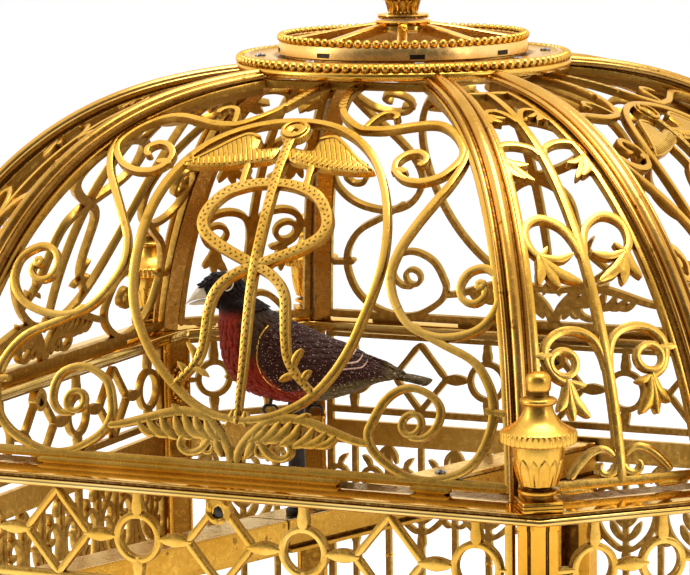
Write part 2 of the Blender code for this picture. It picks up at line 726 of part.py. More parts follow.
def build_crown():
    """Crown ring, the open lantern on it and the top finial."""
    ring = [(CROWN_RADIUS, CROWN_TOP), (CROWN_RADIUS, CROWN_BOTTOM), (30.0, CROWN_BOTTOM),
            (30.0, CROWN_TOP - 0.6), (39.5, CROWN_TOP - 0.6), (40.5, CROWN_TOP)]
    place("crown_ring", turned(ring, 32, closed=True), "gilt_brass", at=(0, 0, CORNICE))
    low = CROWN_TOP - 0.6 + GAP
    band = turned([(LANTERN_RADIUS, LANTERN_TOP), (LANTERN_RADIUS, low), (30.2, low), (30.2, LANTERN_TOP)],
                  32, closed=True)
    hub = turned([(0, HUB_TOP), (HUB_RADIUS, HUB_TOP), (HUB_RADIUS, 98.2), (0, 98.2)], 16)
    lantern = place("lantern", band, "polished_brass", at=(0, 0, CORNICE))
    pieces = []
    for index in range(8):
        spin = Matrix.Rotation(math.radians(22.5 + 45 * index), 2)
        pieces.append([spin @ corner for corner in bar(3, -1.3, 31, 1.3)[0]])
    spokes = pierced_sheet(pieces, lantern_surface, 1.6)
    combine(lantern, [helper(spokes, at=(0, 0, CORNICE)), helper(hub, at=(0, 0, CORNICE))])
    low = HUB_TOP + GAP
    finial = [(0, FINIAL_TOP), (1.3, FINIAL_TOP - 6), (1.4, 127), (4.2, 123), (3.4, 119.5),
              (1.8, 117.5), (5.6, 111), (4.6, 107), (2.9, 104.6), (2.9, 103.2), (6.7, 102.8),
              (6.7, low), (0, low)]
    place("top_finial", turned(finial, 12), "polished_brass", at=(0, 0, CORNICE))


def lantern_surface(x, y):
    """Height of the lantern's bars, which rise towards the hub."""
    radius = math.hypot(x, y)
    return Vector((x, y, LANTERN_TOP - 1.2 + 3.8 * max(0.0, min(1.0, (31.0 - radius) / 22.0))))


def beam_block(low, high, start, end, half):
    """A bar along the beam's line between two shares of its length."""
    line = BEAM_FAR - BEAM_NEAR
    along = line.normalized()
    across = Vector((-along.y, along.x))
    rings = []
    for share in (start, end):
        centre = BEAM_NEAR + line * share
        ring = []
        for side, level in ((-1, low), (1, low), (1, high), (-1, high)):
            spot = centre + across * side * half
            shift = along * ((centre.y - spot.y) / along.y)
            spot = spot + shift
            ring.append((spot.x, spot.y, level))
        rings.append(ring)
    return loft(rings)


def build_beam():
    """Cross beam with its cover, the upright channel at the back wall and the bird's post."""
    low, high = BEAM_TOP - BEAM_HEIGHT, BEAM_TOP
    base = (0, 0, CORNICE)
    beam = place("cross_beam", beam_block(low, high, 0, 1, BEAM_WIDTH / 2), "gilt_brass", at=base)
    tenons = [helper(beam_block(low + 1, high - 1, -0.006, 0.02, 3.5), at=base),
              helper(beam_block(low + 1, high - 1, 0.98, 1.006, 3.5), at=base)]
    combine(beam, tenons)
    cover = beam_block(high + GAP, high + 1.6, 0.515, 1, BEAM_WIDTH / 2)
    place("beam_cover", cover, "polished_brass", at=base)
    half = CHANNEL_WIDTH / 2
    back = WIDE_APOTHEM - WALL_INSET - SHEET / 2 - GAP
    bottom = CASE_TOP + FLOOR_THICKNESS + 2 * GAP
    top = CORNICE + low - GAP
    centre = BEAM_FAR.x
    channel = place("rod_channel", box((centre - half, back - CHANNEL_DEPTH, bottom),
                                       (centre + half, back, top)), "gilt_brass")
    slot = box((centre - 2.6, back - CHANNEL_DEPTH - 2, bottom - 2), (centre + 2.6, back - 2, top + 2))
    combine(channel, [helper(slot)], 'DIFFERENCE')
    sheath = rod(POST_WIDTH / 2, high + GAP, BIRD_LEVEL + 0.9, at=POST, sides=12)
    post = place("bird_post", sheath, "dark_steel", at=base)
    combine(post, [helper(rod(1.6, high - 2, BIRD_LEVEL + 3, at=POST, sides=10), at=base)], 'DIFFERENCE')
    aside = Vector((math.cos(BIRD_DIRECTION), math.sin(BIRD_DIRECTION))) * 0.8
    for name, spot in (("beak_rod", POST - aside), ("tail_rod", POST + aside)):
        place(name, rod(0.5, high + ROD_ROOM, BIRD_LEVEL - 1.2, at=spot, sides=8), "steel", at=base)


def bird_origin():
    """The point between the bird's feet, seen from above."""
    tail = Vector((math.cos(BIRD_DIRECTION), math.sin(BIRD_DIRECTION)))
    return POST + tail * BIRD_OFFSET


def place_on_bird(name, mesh, finish, hinge):
    """Place a piece of the bird with its origin on its joint; its mesh is drawn in the bird's own frame."""
    x, z = hinge
    mesh.transform(Matrix.Translation(Vector((-x, 0, -z)) * MM))
    tail = Vector((math.cos(BIRD_DIRECTION), math.sin(BIRD_DIRECTION)))
    spot = bird_origin() + tail * x
    return place(name, mesh, finish, at=(spot.x, spot.y, CORNICE + BIRD_LEVEL + z), turn=BIRD_DIRECTION)


def section_between(back, belly, half_width, count=12):
    """An oval ring across the bird, from its back line to its belly line."""
    back, belly = Vector((back[0], 0, back[1])), Vector((belly[0], 0, belly[1]))
    middle, reach = (back + belly) / 2, (back - belly) / 2
    ring = []
    for i in range(count):
        angle = 2 * math.pi * i / count
        ring.append(middle + reach * math.cos(angle) + Vector((0, half_width * math.sin(angle), 0)))
    return ring


def build_bird():
    """Body, head, lower beak and tail, drawn with x towards the tail and z up from the feet."""
    under = NECK_LEVEL - GAP / 2
    over = NECK_LEVEL + GAP / 2
    back_of_neck, throat = NECK_AXIS + NECK_RADIUS, NECK_AXIS - NECK_RADIUS
    body = [section_between((back_of_neck, under), (throat, under), NECK_RADIUS),
            section_between((-5.6, 24.6), (-20.2, 20.5), 8.2),
            section_between((-2.5, 22.8), (-19.2, 12.5), 10.3),
            section_between((2, 20.6), (-14.5, 5.2), 11.6),
            section_between((7, 18.2), (-4.5, 1.5), 11.6),
            section_between((12.4, 15.9), (5, 1.4), 9.8),
            section_between((17.5, 13.0), (13, 3.0), 7.2),
            section_between((22, 10.2), (20, 5.6), 4.4),
            section_between((24.7, 9.2), (24.5, 6.7), 2.6)]
    place_on_bird("bird_body", loft(body), "plumage_dark", (0, 0))
    head = [section_between((back_of_neck, over), (throat, over), NECK_RADIUS),
            section_between((-9.6, 27.6), (-22.3, 27.6), 6.4),
            section_between((-12.2, 29.3), (-23.6, 29.3), 5.8),
            section_between((-13.1, 31.2), (-24.2, 31.2), 5.5),
            section_between((-14.0, 33), (-24.0, 33), 4.8),
            section_between((-15.4, 34.5), (-22.4, 34.5), 3.3),
            section_between((-17.2, 35.3), (-20.6, 35.3), 1.4)]
    skull = place_on_bird("bird_head", loft(head), "plumage_dark", (NECK_AXIS, 0))
    upper = loft([section_between((-22.0, 33.2), (-22.0, 28.9), 2.7, 8),
                  section_between((-25.4, 32.0), (-25.4, 28.5), 2.1, 8),
                  section_between((-28.0, 29.2), (-28.0, 27.6), 1.0, 8),
                  section_between((-29.4, 27.0), (-29.4, 26.6), 0.25, 8)])
    bill = helper(upper)
    bill.matrix_world = bird_matrix()
    combine(skull, [bill])
    lower = loft([section_between((-24.6, 28.2), (-24.6, 27.0), 1.1, 8),
                  section_between((-26.4, 27.8), (-26.4, 27.0), 0.8, 8),
                  section_between((-28.2, 27.1), (-28.2, 26.8), 0.25, 8)])
    place_on_bird("bird_lower_beak", lower, "ivory_beak", BEAK_HINGE)
    tail = loft([section_between((25.7, 9.0), (25.7, 6.9), 2.6, 8),
                 section_between((30.0, 7.8), (30.0, 6.2), 3.1, 8),
                 section_between((35.7, 6.3), (35.7, 5.2), 3.4, 8)])
    place_on_bird("bird_tail", tail, "plumage_olive", TAIL_HINGE)


def bird_matrix():
    """Where the bird's own frame stands in the scene."""
    spot = bird_origin()
    return (Matrix.Translation(Vector((spot.x, spot.y, CORNICE + BIRD_LEVEL)) * MM)
            @ Matrix.Rotation(BIRD_DIRECTION, 4, 'Z'))


def build_movement():
    """Frame, spring barrel, cam shaft and fly, on upright arbors that stand on the base plate."""
    low = PLATE_TOP + GAP
    plate = place("movement_frame", box((-40, -36, 52), (78, 36, 54.5)), "polished_brass")
    spots = ((-35, -31), (-35, 31), (73, -31), (73, 31))
    pillars = [helper(rod(3.0, low, 53, at=spot, sides=10)) for spot in spots]
    combine(plate, pillars)
    cam_x = GREAT_MODULE * (GREAT_TEETH + CAM_PINION_TEETH) / 2
    fly_x = cam_x + CAM_MODULE * (CAM_WHEEL_TEETH + FLY_PINION_TEETH) / 2
    barrel = place("spring_barrel", gear(GREAT_MODULE, GREAT_TEETH, 24.5, 27.0, 0.0), "polished_brass")
    combine(barrel, [helper(rod(22.0, 26.5, 41.0, sides=28)), helper(rod(3.0, 22.0, 51.0, sides=12))])
    phase = math.pi + math.pi / CAM_PINION_TEETH
    pinion = gear(GREAT_MODULE, CAM_PINION_TEETH, 24.0, 27.5, phase)
    cams = place("cam_shaft", pinion, "steel", at=(cam_x, 0, 0))
    discs = []
    for index, (radius, shift, angle) in enumerate(((9.6, 1.2, 0), (9.0, 1.8, 130), (9.4, 1.4, 250))):
        offset = (cam_x + shift * math.cos(math.radians(angle)), shift * math.sin(math.radians(angle)))
        discs.append(helper(rod(radius, 29.0 + index * 4.2, 31.6 + index * 4.2, at=offset, sides=14)))
    discs.append(helper(rod(2.2, 20.0, 51.0, at=(cam_x, 0), sides=10)))
    wheel = gear(CAM_MODULE, CAM_WHEEL_TEETH, 43.5, 45.5, 0.0)
    discs.append(helper(wheel, at=(cam_x, 0, 0)))
    combine(cams, discs)
    phase = math.pi + math.pi / FLY_PINION_TEETH
    pinion = gear(CAM_MODULE, FLY_PINION_TEETH, 42.8, 46.2, phase)
    fly = place("fly_governor", pinion, "steel", at=(fly_x, 0, 0))
    blades = box((fly_x - 9, -0.6, 30), (fly_x + 9, 0.6, 39))
    combine(fly, [helper(rod(1.4, 20.5, 51.0, at=(fly_x, 0), sides=10)), helper(blades)])
    key = place("winding_key", rod(3.2, 8.0, 21.5, sides=12), "steel")
    grips = [helper(box((-11, -1.2, 3.0), (11, 1.2, 12.0)))]
    combine(key, grips)
    axle = rod(2.2, 126.0, 138.0, sides=12, along='X')
    shaft = place("start_lever", axle, "polished_brass", at=(0, 0, LEVER_LEVEL))
    arm = helper(box((134.6, -2.6, -15), (137.4, 2.6, 3.2)), at=(0, 0, LEVER_LEVEL))
    ball = turned([(0, 4), (2.9, 2.9), (4, 0), (2.9, -2.9), (0, -4)], 12)
    knob = helper(ball, at=(138.5, 0, LEVER_LEVEL - 13))
    combine(shaft, [arm, knob])


def build_song():
    """Bellows and the whistle with its sliding piston."""
    low = PLATE_TOP + GAP
    x0, x1 = BELLOWS_X
    half = BELLOWS_HALF_WIDTH
    board = place("bellows_board", box((x0, -half, low), (x1 + 4, half, low + 4)), "walnut")
    posts = [helper(box((x1 + 0.4, y - 2, low + 2), (x1 + 4, y + 2, 35))) for y in (-0.8 * half, 0.8 * half)]
    combine(board, posts)
    place("bellows_leather", box((x0 + 1, -half + 1, low + 4 + GAP), (x1 - 1, half - 1, 31.6)), "kid_leather")
    place("bellows_lid", box((x0, -half, 0), (x1 - 0.4, half, 2.6)), "walnut", at=(0, 0, 32.0))
    level, bore = 29.0, 4.6
    barrel = rod(6.4, -34, 34, at=(WHISTLE_Y, level), sides=16, along='X')
    tube = place("whistle_tube", barrel, "polished_brass")
    feet = [helper(box((x - 3, WHISTLE_Y - 4, low), (x + 3, WHISTLE_Y + 4, level - 4))) for x in (-24, 24)]
    combine(tube, feet)
    hollow = helper(rod(bore, -30, 36, at=(WHISTLE_Y, level), sides=16, along='X'))
    mouth = helper(box((-29, WHISTLE_Y - 2.5, level + 3), (-23, WHISTLE_Y + 2.5, level + 9)))
    combine(tube, [hollow, mouth], 'DIFFERENCE')
    plug = rod(bore - GAP, 6, 12, at=(WHISTLE_Y, level), sides=14, along='X')
    piston = place("whistle_piston", plug, "steel")
    combine(piston, [helper(rod(1.2, 10, 52, at=(WHISTLE_Y, level), sides=8, along='X')),
                     helper(rod(3.4, 50, 53, at=(WHISTLE_Y, level), sides=12, along='X'))])


clear_scene()
PARTS = new_collection("singing_bird_automaton")
CUTTERS = new_collection("cutters")
build_base()
build_walls()
build_dome()
build_crown()
build_beam()
build_bird()
build_movement()
build_song()
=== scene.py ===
"""Looks of the singing bird automaton: a gilt cage with a pierced dome, its bird and its base.

Everything is drawn in millimetres with +Z up and becomes metres when a mesh is made. Levels of the cage's
upper parts are measured from the lower edge of the cornice, as they are in the part's own drawing.
"""

import logging
import math
from dataclasses import dataclass, replace
from enum import Enum
from typing import Callable, Sequence

import bmesh
import bpy
import numpy as np
from mathutils import Matrix, Vector
from mathutils.geometry import delaunay_2d_cdt


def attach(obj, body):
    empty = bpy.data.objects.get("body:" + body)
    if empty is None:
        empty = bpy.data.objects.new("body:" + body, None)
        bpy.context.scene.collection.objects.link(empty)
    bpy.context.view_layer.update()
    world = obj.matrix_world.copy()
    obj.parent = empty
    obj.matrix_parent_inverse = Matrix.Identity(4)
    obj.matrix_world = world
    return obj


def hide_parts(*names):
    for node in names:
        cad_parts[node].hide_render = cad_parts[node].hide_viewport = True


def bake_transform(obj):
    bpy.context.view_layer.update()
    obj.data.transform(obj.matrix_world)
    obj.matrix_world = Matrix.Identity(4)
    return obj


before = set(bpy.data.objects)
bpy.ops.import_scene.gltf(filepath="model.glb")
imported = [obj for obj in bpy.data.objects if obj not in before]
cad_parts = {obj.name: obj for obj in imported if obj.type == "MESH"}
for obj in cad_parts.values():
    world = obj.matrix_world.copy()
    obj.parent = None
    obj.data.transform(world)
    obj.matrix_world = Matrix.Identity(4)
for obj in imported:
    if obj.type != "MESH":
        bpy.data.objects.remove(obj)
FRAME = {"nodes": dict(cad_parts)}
LOG = logging.getLogger("automaton")
MM = 0.001
# How close corners are welded, and how far strips that cross are set one above the other, in millimetres
WELD = 0.001
STAGGER = 0.004
Pair = tuple[float, float]
Triple = tuple[float, float, float]
Colour = Triple
Array = np.ndarray
Socket = bpy.types.NodeSocket

CORNICE = 285.0
LEDGE = 2.7
WIDE_APOTHEM = 123.8
NARROW_APOTHEM = 147.4
WALL_INSET = 13.35
QUARTERS = ("front", "right", "back", "left")
CORNERS = ("front_right", "back_right", "back_left", "front_left")
TURNS = {name: index * math.pi / 2 for index, name in enumerate(QUARTERS)}
TURNS.update({name: math.pi / 4 + index * math.pi / 2 for index, name in enumerate(CORNERS)})
UP = np.array([0.0, 0.0, 1.0])
POST = (-30.0, -4.4)
FACING = math.radians(23.3)
TOWARDS_CAMERA = (math.sin(FACING), -math.cos(FACING), 0.0)
BIRD_SPOT = (POST[0] + 0.44 * math.cos(FACING), POST[1] + 0.44 * math.sin(FACING), CORNICE - 0.5)


class Chase(Enum):
    """Hand-cut pattern on the face of a strip."""

    PLAIN = "plain"
    SCALES = "scales"
    BRAID = "braid"
    FEATHER = "feather"


class Graph:
    """Short way to add nodes to a tree and to join them."""

    def __init__(self, tree: bpy.types.NodeTree) -> None:
        """Keep the tree that nodes are added to."""
        self.tree = tree

    def add(self, kind: str, **settings: object) -> bpy.types.Node:
        """Add a node.

        Args:
            kind: the node's type.
            settings: properties of the node.

        Returns:
            The new node.
        """
        node = self.tree.nodes.new(kind)
        for key, value in settings.items():
            setattr(node, key, value)
        return node

    def feed(self, node: bpy.types.Node, socket: object, value: object) -> None:
        """Set an input of a node to a number or colour, or link an output to it.

        Args:
            node: the node that has the input.
            socket: the input's name or index.
            value: a plain value, or an output socket.
        """
        target = node.inputs[socket]
        if isinstance(value, Socket):
            self.tree.links.new(value, target)
        else:
            target.default_value = value

    def fill(self, node: bpy.types.Node, inputs: dict) -> None:
        """Feed several inputs of a node, given by name or index."""
        for socket, value in inputs.items():
            self.feed(node, socket, value)

    def math(self, operation: str, *values: object, clamp: bool = False) -> Socket:
        """Add a math node.

        Args:
            operation: its operation.
            values: its inputs, numbers or sockets.
            clamp: whether the result is kept from 0 to 1.

        Returns:
            Its output.
        """
        node = self.add("ShaderNodeMath", operation=operation, use_clamp=clamp)
        self.fill(node, dict(enumerate(values)))
        return node.outputs[0]

    def plus(self, first: object, second: object) -> Socket:
        """Add two values."""
        return self.math('ADD', first, second)

    def minus(self, first: object, second: object) -> Socket:
        """Take the second value from the first."""
        return self.math('SUBTRACT', first, second)

    def times(self, first: object, second: object) -> Socket:
        """Multiply two values."""
        return self.math('MULTIPLY', first, second)

    def size(self, value: object) -> Socket:
        """Return a value without its sign."""
        return self.math('ABSOLUTE', value)

    def place(self) -> Socket:
        """Return a point's place in its object's own frame, in metres."""
        return self.add("ShaderNodeTexCoord").outputs["Object"]

    def hollow(self) -> Socket:
        """Return the hollow value that the mesh carries, which the finishes paint as patina and as shade of
        recesses.
        """
        return self.add("ShaderNodeAttribute", attribute_name="hollow").outputs["Fac"]

    def parts(self, vector: Socket) -> Sequence[Socket]:
        """Return the three parts of a vector."""
        node = self.add("ShaderNodeSeparateXYZ")
        self.feed(node, 0, vector)
        return node.outputs

    def noise(self, place: object, scale: float, detail: float = 3.0, rough: float = 0.5) -> Socket:
        """Add a noise texture and return its value."""
        node = self.add("ShaderNodeTexNoise")
        self.fill(node, {"Vector": place, "Scale": scale, "Detail": detail, "Roughness": rough})
        return node.outputs["Fac"]

    def stretch(self, place: object, scale: Triple) -> Socket:
        """Scale a coordinate, for grain that runs one way."""
        node = self.add("ShaderNodeMapping")
        self.fill(node, {"Vector": place, "Scale": scale})
        return node.outputs[0]

    def between(self, value: object, low: float, high: float, start: float = 0.0, end: float = 1.0) -> Socket:
        """Map a value's range to another one, with smooth ends."""
        node = self.add("ShaderNodeMapRange", interpolation_type='SMOOTHSTEP')
        self.fill(node, {"Value": value, "From Min": low, "From Max": high, "To Min": start, "To Max": end})
        return node.outputs[0]

    def along(self, vector: Socket, direction: Triple) -> Socket:
        """Return how far a vector reaches in a direction."""
        node = self.add("ShaderNodeVectorMath", operation='DOT_PRODUCT')
        self.fill(node, {0: vector, 1: direction})
        return node.outputs["Value"]

    def blend(self, share: object, first: object, second: object) -> Socket:
        """Mix two colours by a share and return the colour."""
        node = self.add("ShaderNodeMix", data_type='RGBA', blend_type='MIX', clamp_factor=True)
        self.feed(node, 0, share)
        for index, colour in ((6, first), (7, second)):
            self.feed(node, index, (*colour, 1.0) if isinstance(colour, tuple) else colour)
        return node.outputs[2]

    def bump(self, shader: bpy.types.Node, height: Socket, strength: float, distance: float) -> None:
        """Give a shader a rough surface.

        Args:
            shader: the shader node.
            height: where the surface is high.
            strength: how much of it shows.
            distance: height of the relief in metres.
        """
        node = self.add("ShaderNodeBump")
        self.fill(node, {"Height": height, "Strength": strength, "Distance": distance})
        self.feed(shader, "Normal", node.outputs[0])


def new_material(name: str) -> tuple[bpy.types.Material, Graph, bpy.types.Node]:
    """Make a material with a plain surface shader.

    Args:
        name: the material's name.

    Returns:
        The material, its graph and its shader node.
    """
    made = bpy.data.materials.new(name)
    made.use_nodes = True
    return made, Graph(made.node_tree), made.node_tree.nodes["Principled BSDF"]


def chase_marks(graph: Graph, chase: Chase) -> Socket:
    """Build the cut marks of a chased strip.

    Args:
        graph: where the nodes go.
        chase: which pattern.

    Returns:
        A value that is 1 in a cut and 0 between the cuts.
    """
    chart = graph.add("ShaderNodeUVMap", uv_map="chart")
    along, across = graph.parts(chart.outputs[0])[:2]
    aside = graph.size(across)

    def cuts(pitch: float, lean: Socket, low: float, high: float) -> Socket:
        """Return thin cuts across the strip, a pitch apart, that lean by a share of the pitch."""
        beat = graph.math('FRACT', graph.plus(graph.math('DIVIDE', along, pitch), lean))
        return graph.between(graph.size(graph.minus(beat, 0.5)), low, high, 1.0, 0.0)

    if chase is Chase.BRAID:
        return cuts(2.0, graph.times(aside, 0.62), 0.07, 0.17)
    if chase is Chase.FEATHER:
        return cuts(1.3, graph.times(across, 0.34), 0.05, 0.16)
    half_step = graph.times(graph.math('GREATER_THAN', across, 0.0), 0.5)
    cut = cuts(1.75, graph.plus(half_step, graph.times(aside, 0.34)), 0.10, 0.20)
    return graph.times(cut, graph.between(graph.size(graph.minus(aside, 0.42)), 0.20, 0.36, 1.0, 0.0))


@dataclass(frozen=True)
class GiltFinish:
    """Fire-gilt brass: golden lights, brown patina in the hollows that also stands for their painted shade,
    specks and fine wear.
    """

    name: str
    bright: Colour = (0.84, 0.50, 0.105)
    body: Colour = (0.64, 0.335, 0.042)
    patina: Colour = (0.12, 0.047, 0.007)
    smooth: float = 0.16
    rough: float = 0.32
    speck: float = 0.30
    mottle: float = 0.25
    grain: float = 0.20
    chase: Chase = Chase.PLAIN
    edge: Colour = (1.0, 0.86, 0.60)

    def make(self) -> bpy.types.Material:
        """Build the material."""
        material, graph, shader = new_material(self.name)
        place, hollow = graph.place(), graph.hollow()
        cloud = graph.noise(place, 45.0)
        grain = graph.noise(place, 620.0, 4.0, 0.62)
        fine = graph.noise(place, 2400.0, 2.0)
        colour = graph.blend(graph.between(cloud, 0.30, 0.70), self.body, self.bright)
        colour = graph.blend(graph.between(grain, 0.42, 0.74, 0.0, self.mottle), colour, self.body)
        spots = graph.between(graph.noise(place, 300.0, 2.0), 0.66, 0.72, 0.0, self.speck)
        colour = graph.blend(spots, colour, self.patina)
        # Patina and painted shade: points with a high hollow value are darkened towards the patina colour and
        # roughened, for the shade of recesses as well as their patina.
        hollow_patina_and_shade = graph.math('MULTIPLY', hollow, graph.between(grain, 0.25, 0.60, 0.74, 1.0), clamp=True)
        colour = graph.blend(hollow_patina_and_shade, colour, self.patina)
        height = graph.plus(graph.times(grain, 0.6), graph.times(fine, 0.3))
        if self.chase is not Chase.PLAIN:
            # Patina and painted shade: the cuts are darkened towards the patina colour, as well as being sunk
            # by the bump.
            marks = graph.times(chase_marks(graph, self.chase), graph.between(hollow, 0.05, 0.30, 1.0, 0.0))
            colour = graph.blend(graph.times(marks, 0.85), colour, self.patina)
            height = graph.minus(height, graph.times(marks, 3.0))
        dull = graph.between(grain, 0.30, 0.72, self.smooth, self.rough)
        graph.fill(shader, {"Base Color": colour, "Metallic": 1.0, "Specular Tint": (*self.edge, 1.0),
                            "Roughness": graph.plus(dull, graph.times(hollow_patina_and_shade, 0.16))})
        graph.bump(shader, height, self.grain, 0.00006)
        return material


@dataclass(frozen=True)
class PaintFinish:
    """Painted or natural surface: two colours, grain and a soft gloss."""

    name: str
    light: Colour
    dark: Colour
    gloss: float = 0.4
    scale: float = 500.0
    grain_along: Triple = (1.0, 1.0, 1.0)
    coat: float = 0.0

    def make(self) -> bpy.types.Material:
        """Build the material."""
        material, graph, shader = new_material(self.name)
        place = graph.place()
        grain = graph.noise(graph.stretch(place, self.grain_along), self.scale, 5.0, 0.6)
        cloud = graph.noise(place, self.scale * 0.12, 2.0)
        colour = graph.blend(graph.between(grain, 0.30, 0.70), self.dark, self.light)
        colour = graph.blend(graph.between(cloud, 0.35, 0.75, 0.0, 0.4), colour, self.dark)
        graph.fill(shader, {"Base Color": colour, "Coat Weight": self.coat,
                            "Roughness": graph.between(grain, 0.25, 0.75, self.gloss, self.gloss + 0.22)})
        graph.bump(shader, grain, 0.3, 0.0001)
        return material


@dataclass(frozen=True)
class SteelFinish:
    """Blued or bright steel with fine draw lines, painted nearly black in its hollows as shade."""

    name: str
    light: Colour = (0.52, 0.50, 0.47)
    dark: Colour = (0.30, 0.28, 0.26)
    smooth: float = 0.2

    def make(self) -> bpy.types.Material:
        """Build the material."""
        material, graph, shader = new_material(self.name)
        place = graph.place()
        lines = graph.noise(graph.stretch(place, (1.0, 1.0, 0.06)), 2600.0)
        cloud = graph.noise(place, 160.0)
        colour = graph.blend(graph.between(cloud, 0.30, 0.70), self.dark, self.light)
        # Painted shade: points with a high hollow value are darkened nearly to black.
        colour = graph.blend(graph.times(graph.hollow(), 0.8), colour, (0.02, 0.016, 0.012))
        graph.fill(shader, {"Base Color": colour, "Metallic": 1.0,
                            "Roughness": graph.between(lines, 0.25, 0.75, self.smooth, self.smooth + 0.22)})
        graph.bump(shader, lines, 0.2, 0.00004)
        return material


@dataclass(frozen=True)
class PlumageFinish:
    """The bird's plumage: black head, red-brown breast, speckled dark wings, barred rump, olive belly."""

    name: str
    head: Colour = (0.010, 0.0036, 0.0026)
    breast: Colour = (0.235, 0.017, 0.0028)
    mantle: Colour = (0.042, 0.019, 0.0050)
    wing: Colour = (0.036, 0.0100, 0.0045)
    belly: Colour = (0.070, 0.046, 0.013)
    pale: Colour = (0.72, 0.47, 0.36)
    gold: Colour = (0.36, 0.25, 0.09)

    def make(self) -> bpy.types.Material:
        """Build the material, in the bird's own frame and in millimetres."""
        material, graph, shader = new_material(self.name)
        mapping = graph.add("ShaderNodeMapping", vector_type='TEXTURE')
        graph.fill(mapping, {"Vector": graph.place(), "Location": tuple(MM * value for value in BIRD_SPOT),
                             "Rotation": (0.0, 0.0, FACING), "Scale": (MM, MM, MM)})
        own = mapping.outputs[0]
        parts = graph.parts(own)
        side_x, side_z = parts[0], parts[2]
        ragged = graph.times(graph.minus(graph.noise(own, 1.1, 3.0), 0.5), 2.2)
        x = graph.plus(side_x, ragged)
        z = graph.plus(side_z, ragged)
        fuzz = graph.noise(graph.stretch(own, (0.35, 1.0, 1.0)), 4.5, 4.0, 0.6)
        low = graph.math('DIVIDE', graph.minus(z, 15.0), 4.2)
        edge = graph.math('MULTIPLY_ADD', graph.times(low, low), 1.34, -9.9)
        behind = graph.between(graph.minus(x, edge), -0.5, 0.5)
        mantle = graph.times(graph.between(z, 11.0, 16.5), graph.between(x, -16.5, -13.0))
        colour = graph.blend(mantle, self.breast, self.mantle)
        colour = graph.blend(behind, colour, self.wing)
        rim = graph.minus(graph.math('MULTIPLY_ADD', x, 0.14, 5.3), z)
        under = graph.times(graph.between(rim, -0.4, 0.8), graph.between(x, 0.0, 6.0))
        tail = graph.between(x, 21.5, 24.5)
        colour = graph.blend(graph.math('MAXIMUM', under, tail), colour, self.belly)
        front = graph.times(graph.between(rim, -0.6, 0.6), graph.between(x, 0.0, 6.0, 1.0, 0.0))
        colour = graph.blend(front, colour, self.breast)
        colour = graph.blend(graph.between(z, 23.6, 27.0), colour, self.head)
        for level, end in ((14.0, 16.0), (12.3, 17.3), (10.9, 18.5)):
            past = graph.math('MAXIMUM', graph.minus(side_x, end - 1.8), 0.0)
            line = graph.math('MULTIPLY_ADD', graph.times(past, past), -0.35, side_z)
            beside = graph.size(graph.minus(line, level))
            arc_mark = graph.times(graph.between(beside, 0.10, 0.26, 1.0, 0.0),
                                  graph.times(graph.between(side_x, 11.4, 12.0),
                                             graph.between(side_x, end, end + 0.4, 1.0, 0.0)))
            colour = graph.blend(arc_mark, colour, self.pale)
        dots = graph.between(graph.noise(own, 2.5, 1.0), 0.67, 0.70)
        dots = graph.times(dots, graph.math('MAXIMUM', behind, 0.08))
        colour = graph.blend(graph.times(dots, graph.between(z, 24.0, 26.0, 0.85, 0.0)), colour, self.pale)
        olive = graph.times(graph.math('MAXIMUM', under, tail), graph.between(fuzz, 0.52, 0.68))
        colour = graph.blend(graph.times(olive, 0.65), colour, self.gold)
        shade = graph.between(fuzz, 0.25, 0.75, 0.55, 1.6)
        tone = graph.add("ShaderNodeVectorMath", operation='SCALE')
        graph.fill(tone, {0: colour, "Scale": shade})
        graph.fill(shader, {"Base Color": tone.outputs[0], "Specular IOR Level": 0.09,
                            "Roughness": graph.between(fuzz, 0.2, 0.8, 0.30, 0.52)})
        graph.bump(shader, fuzz, 0.5, 0.00025)
        return material


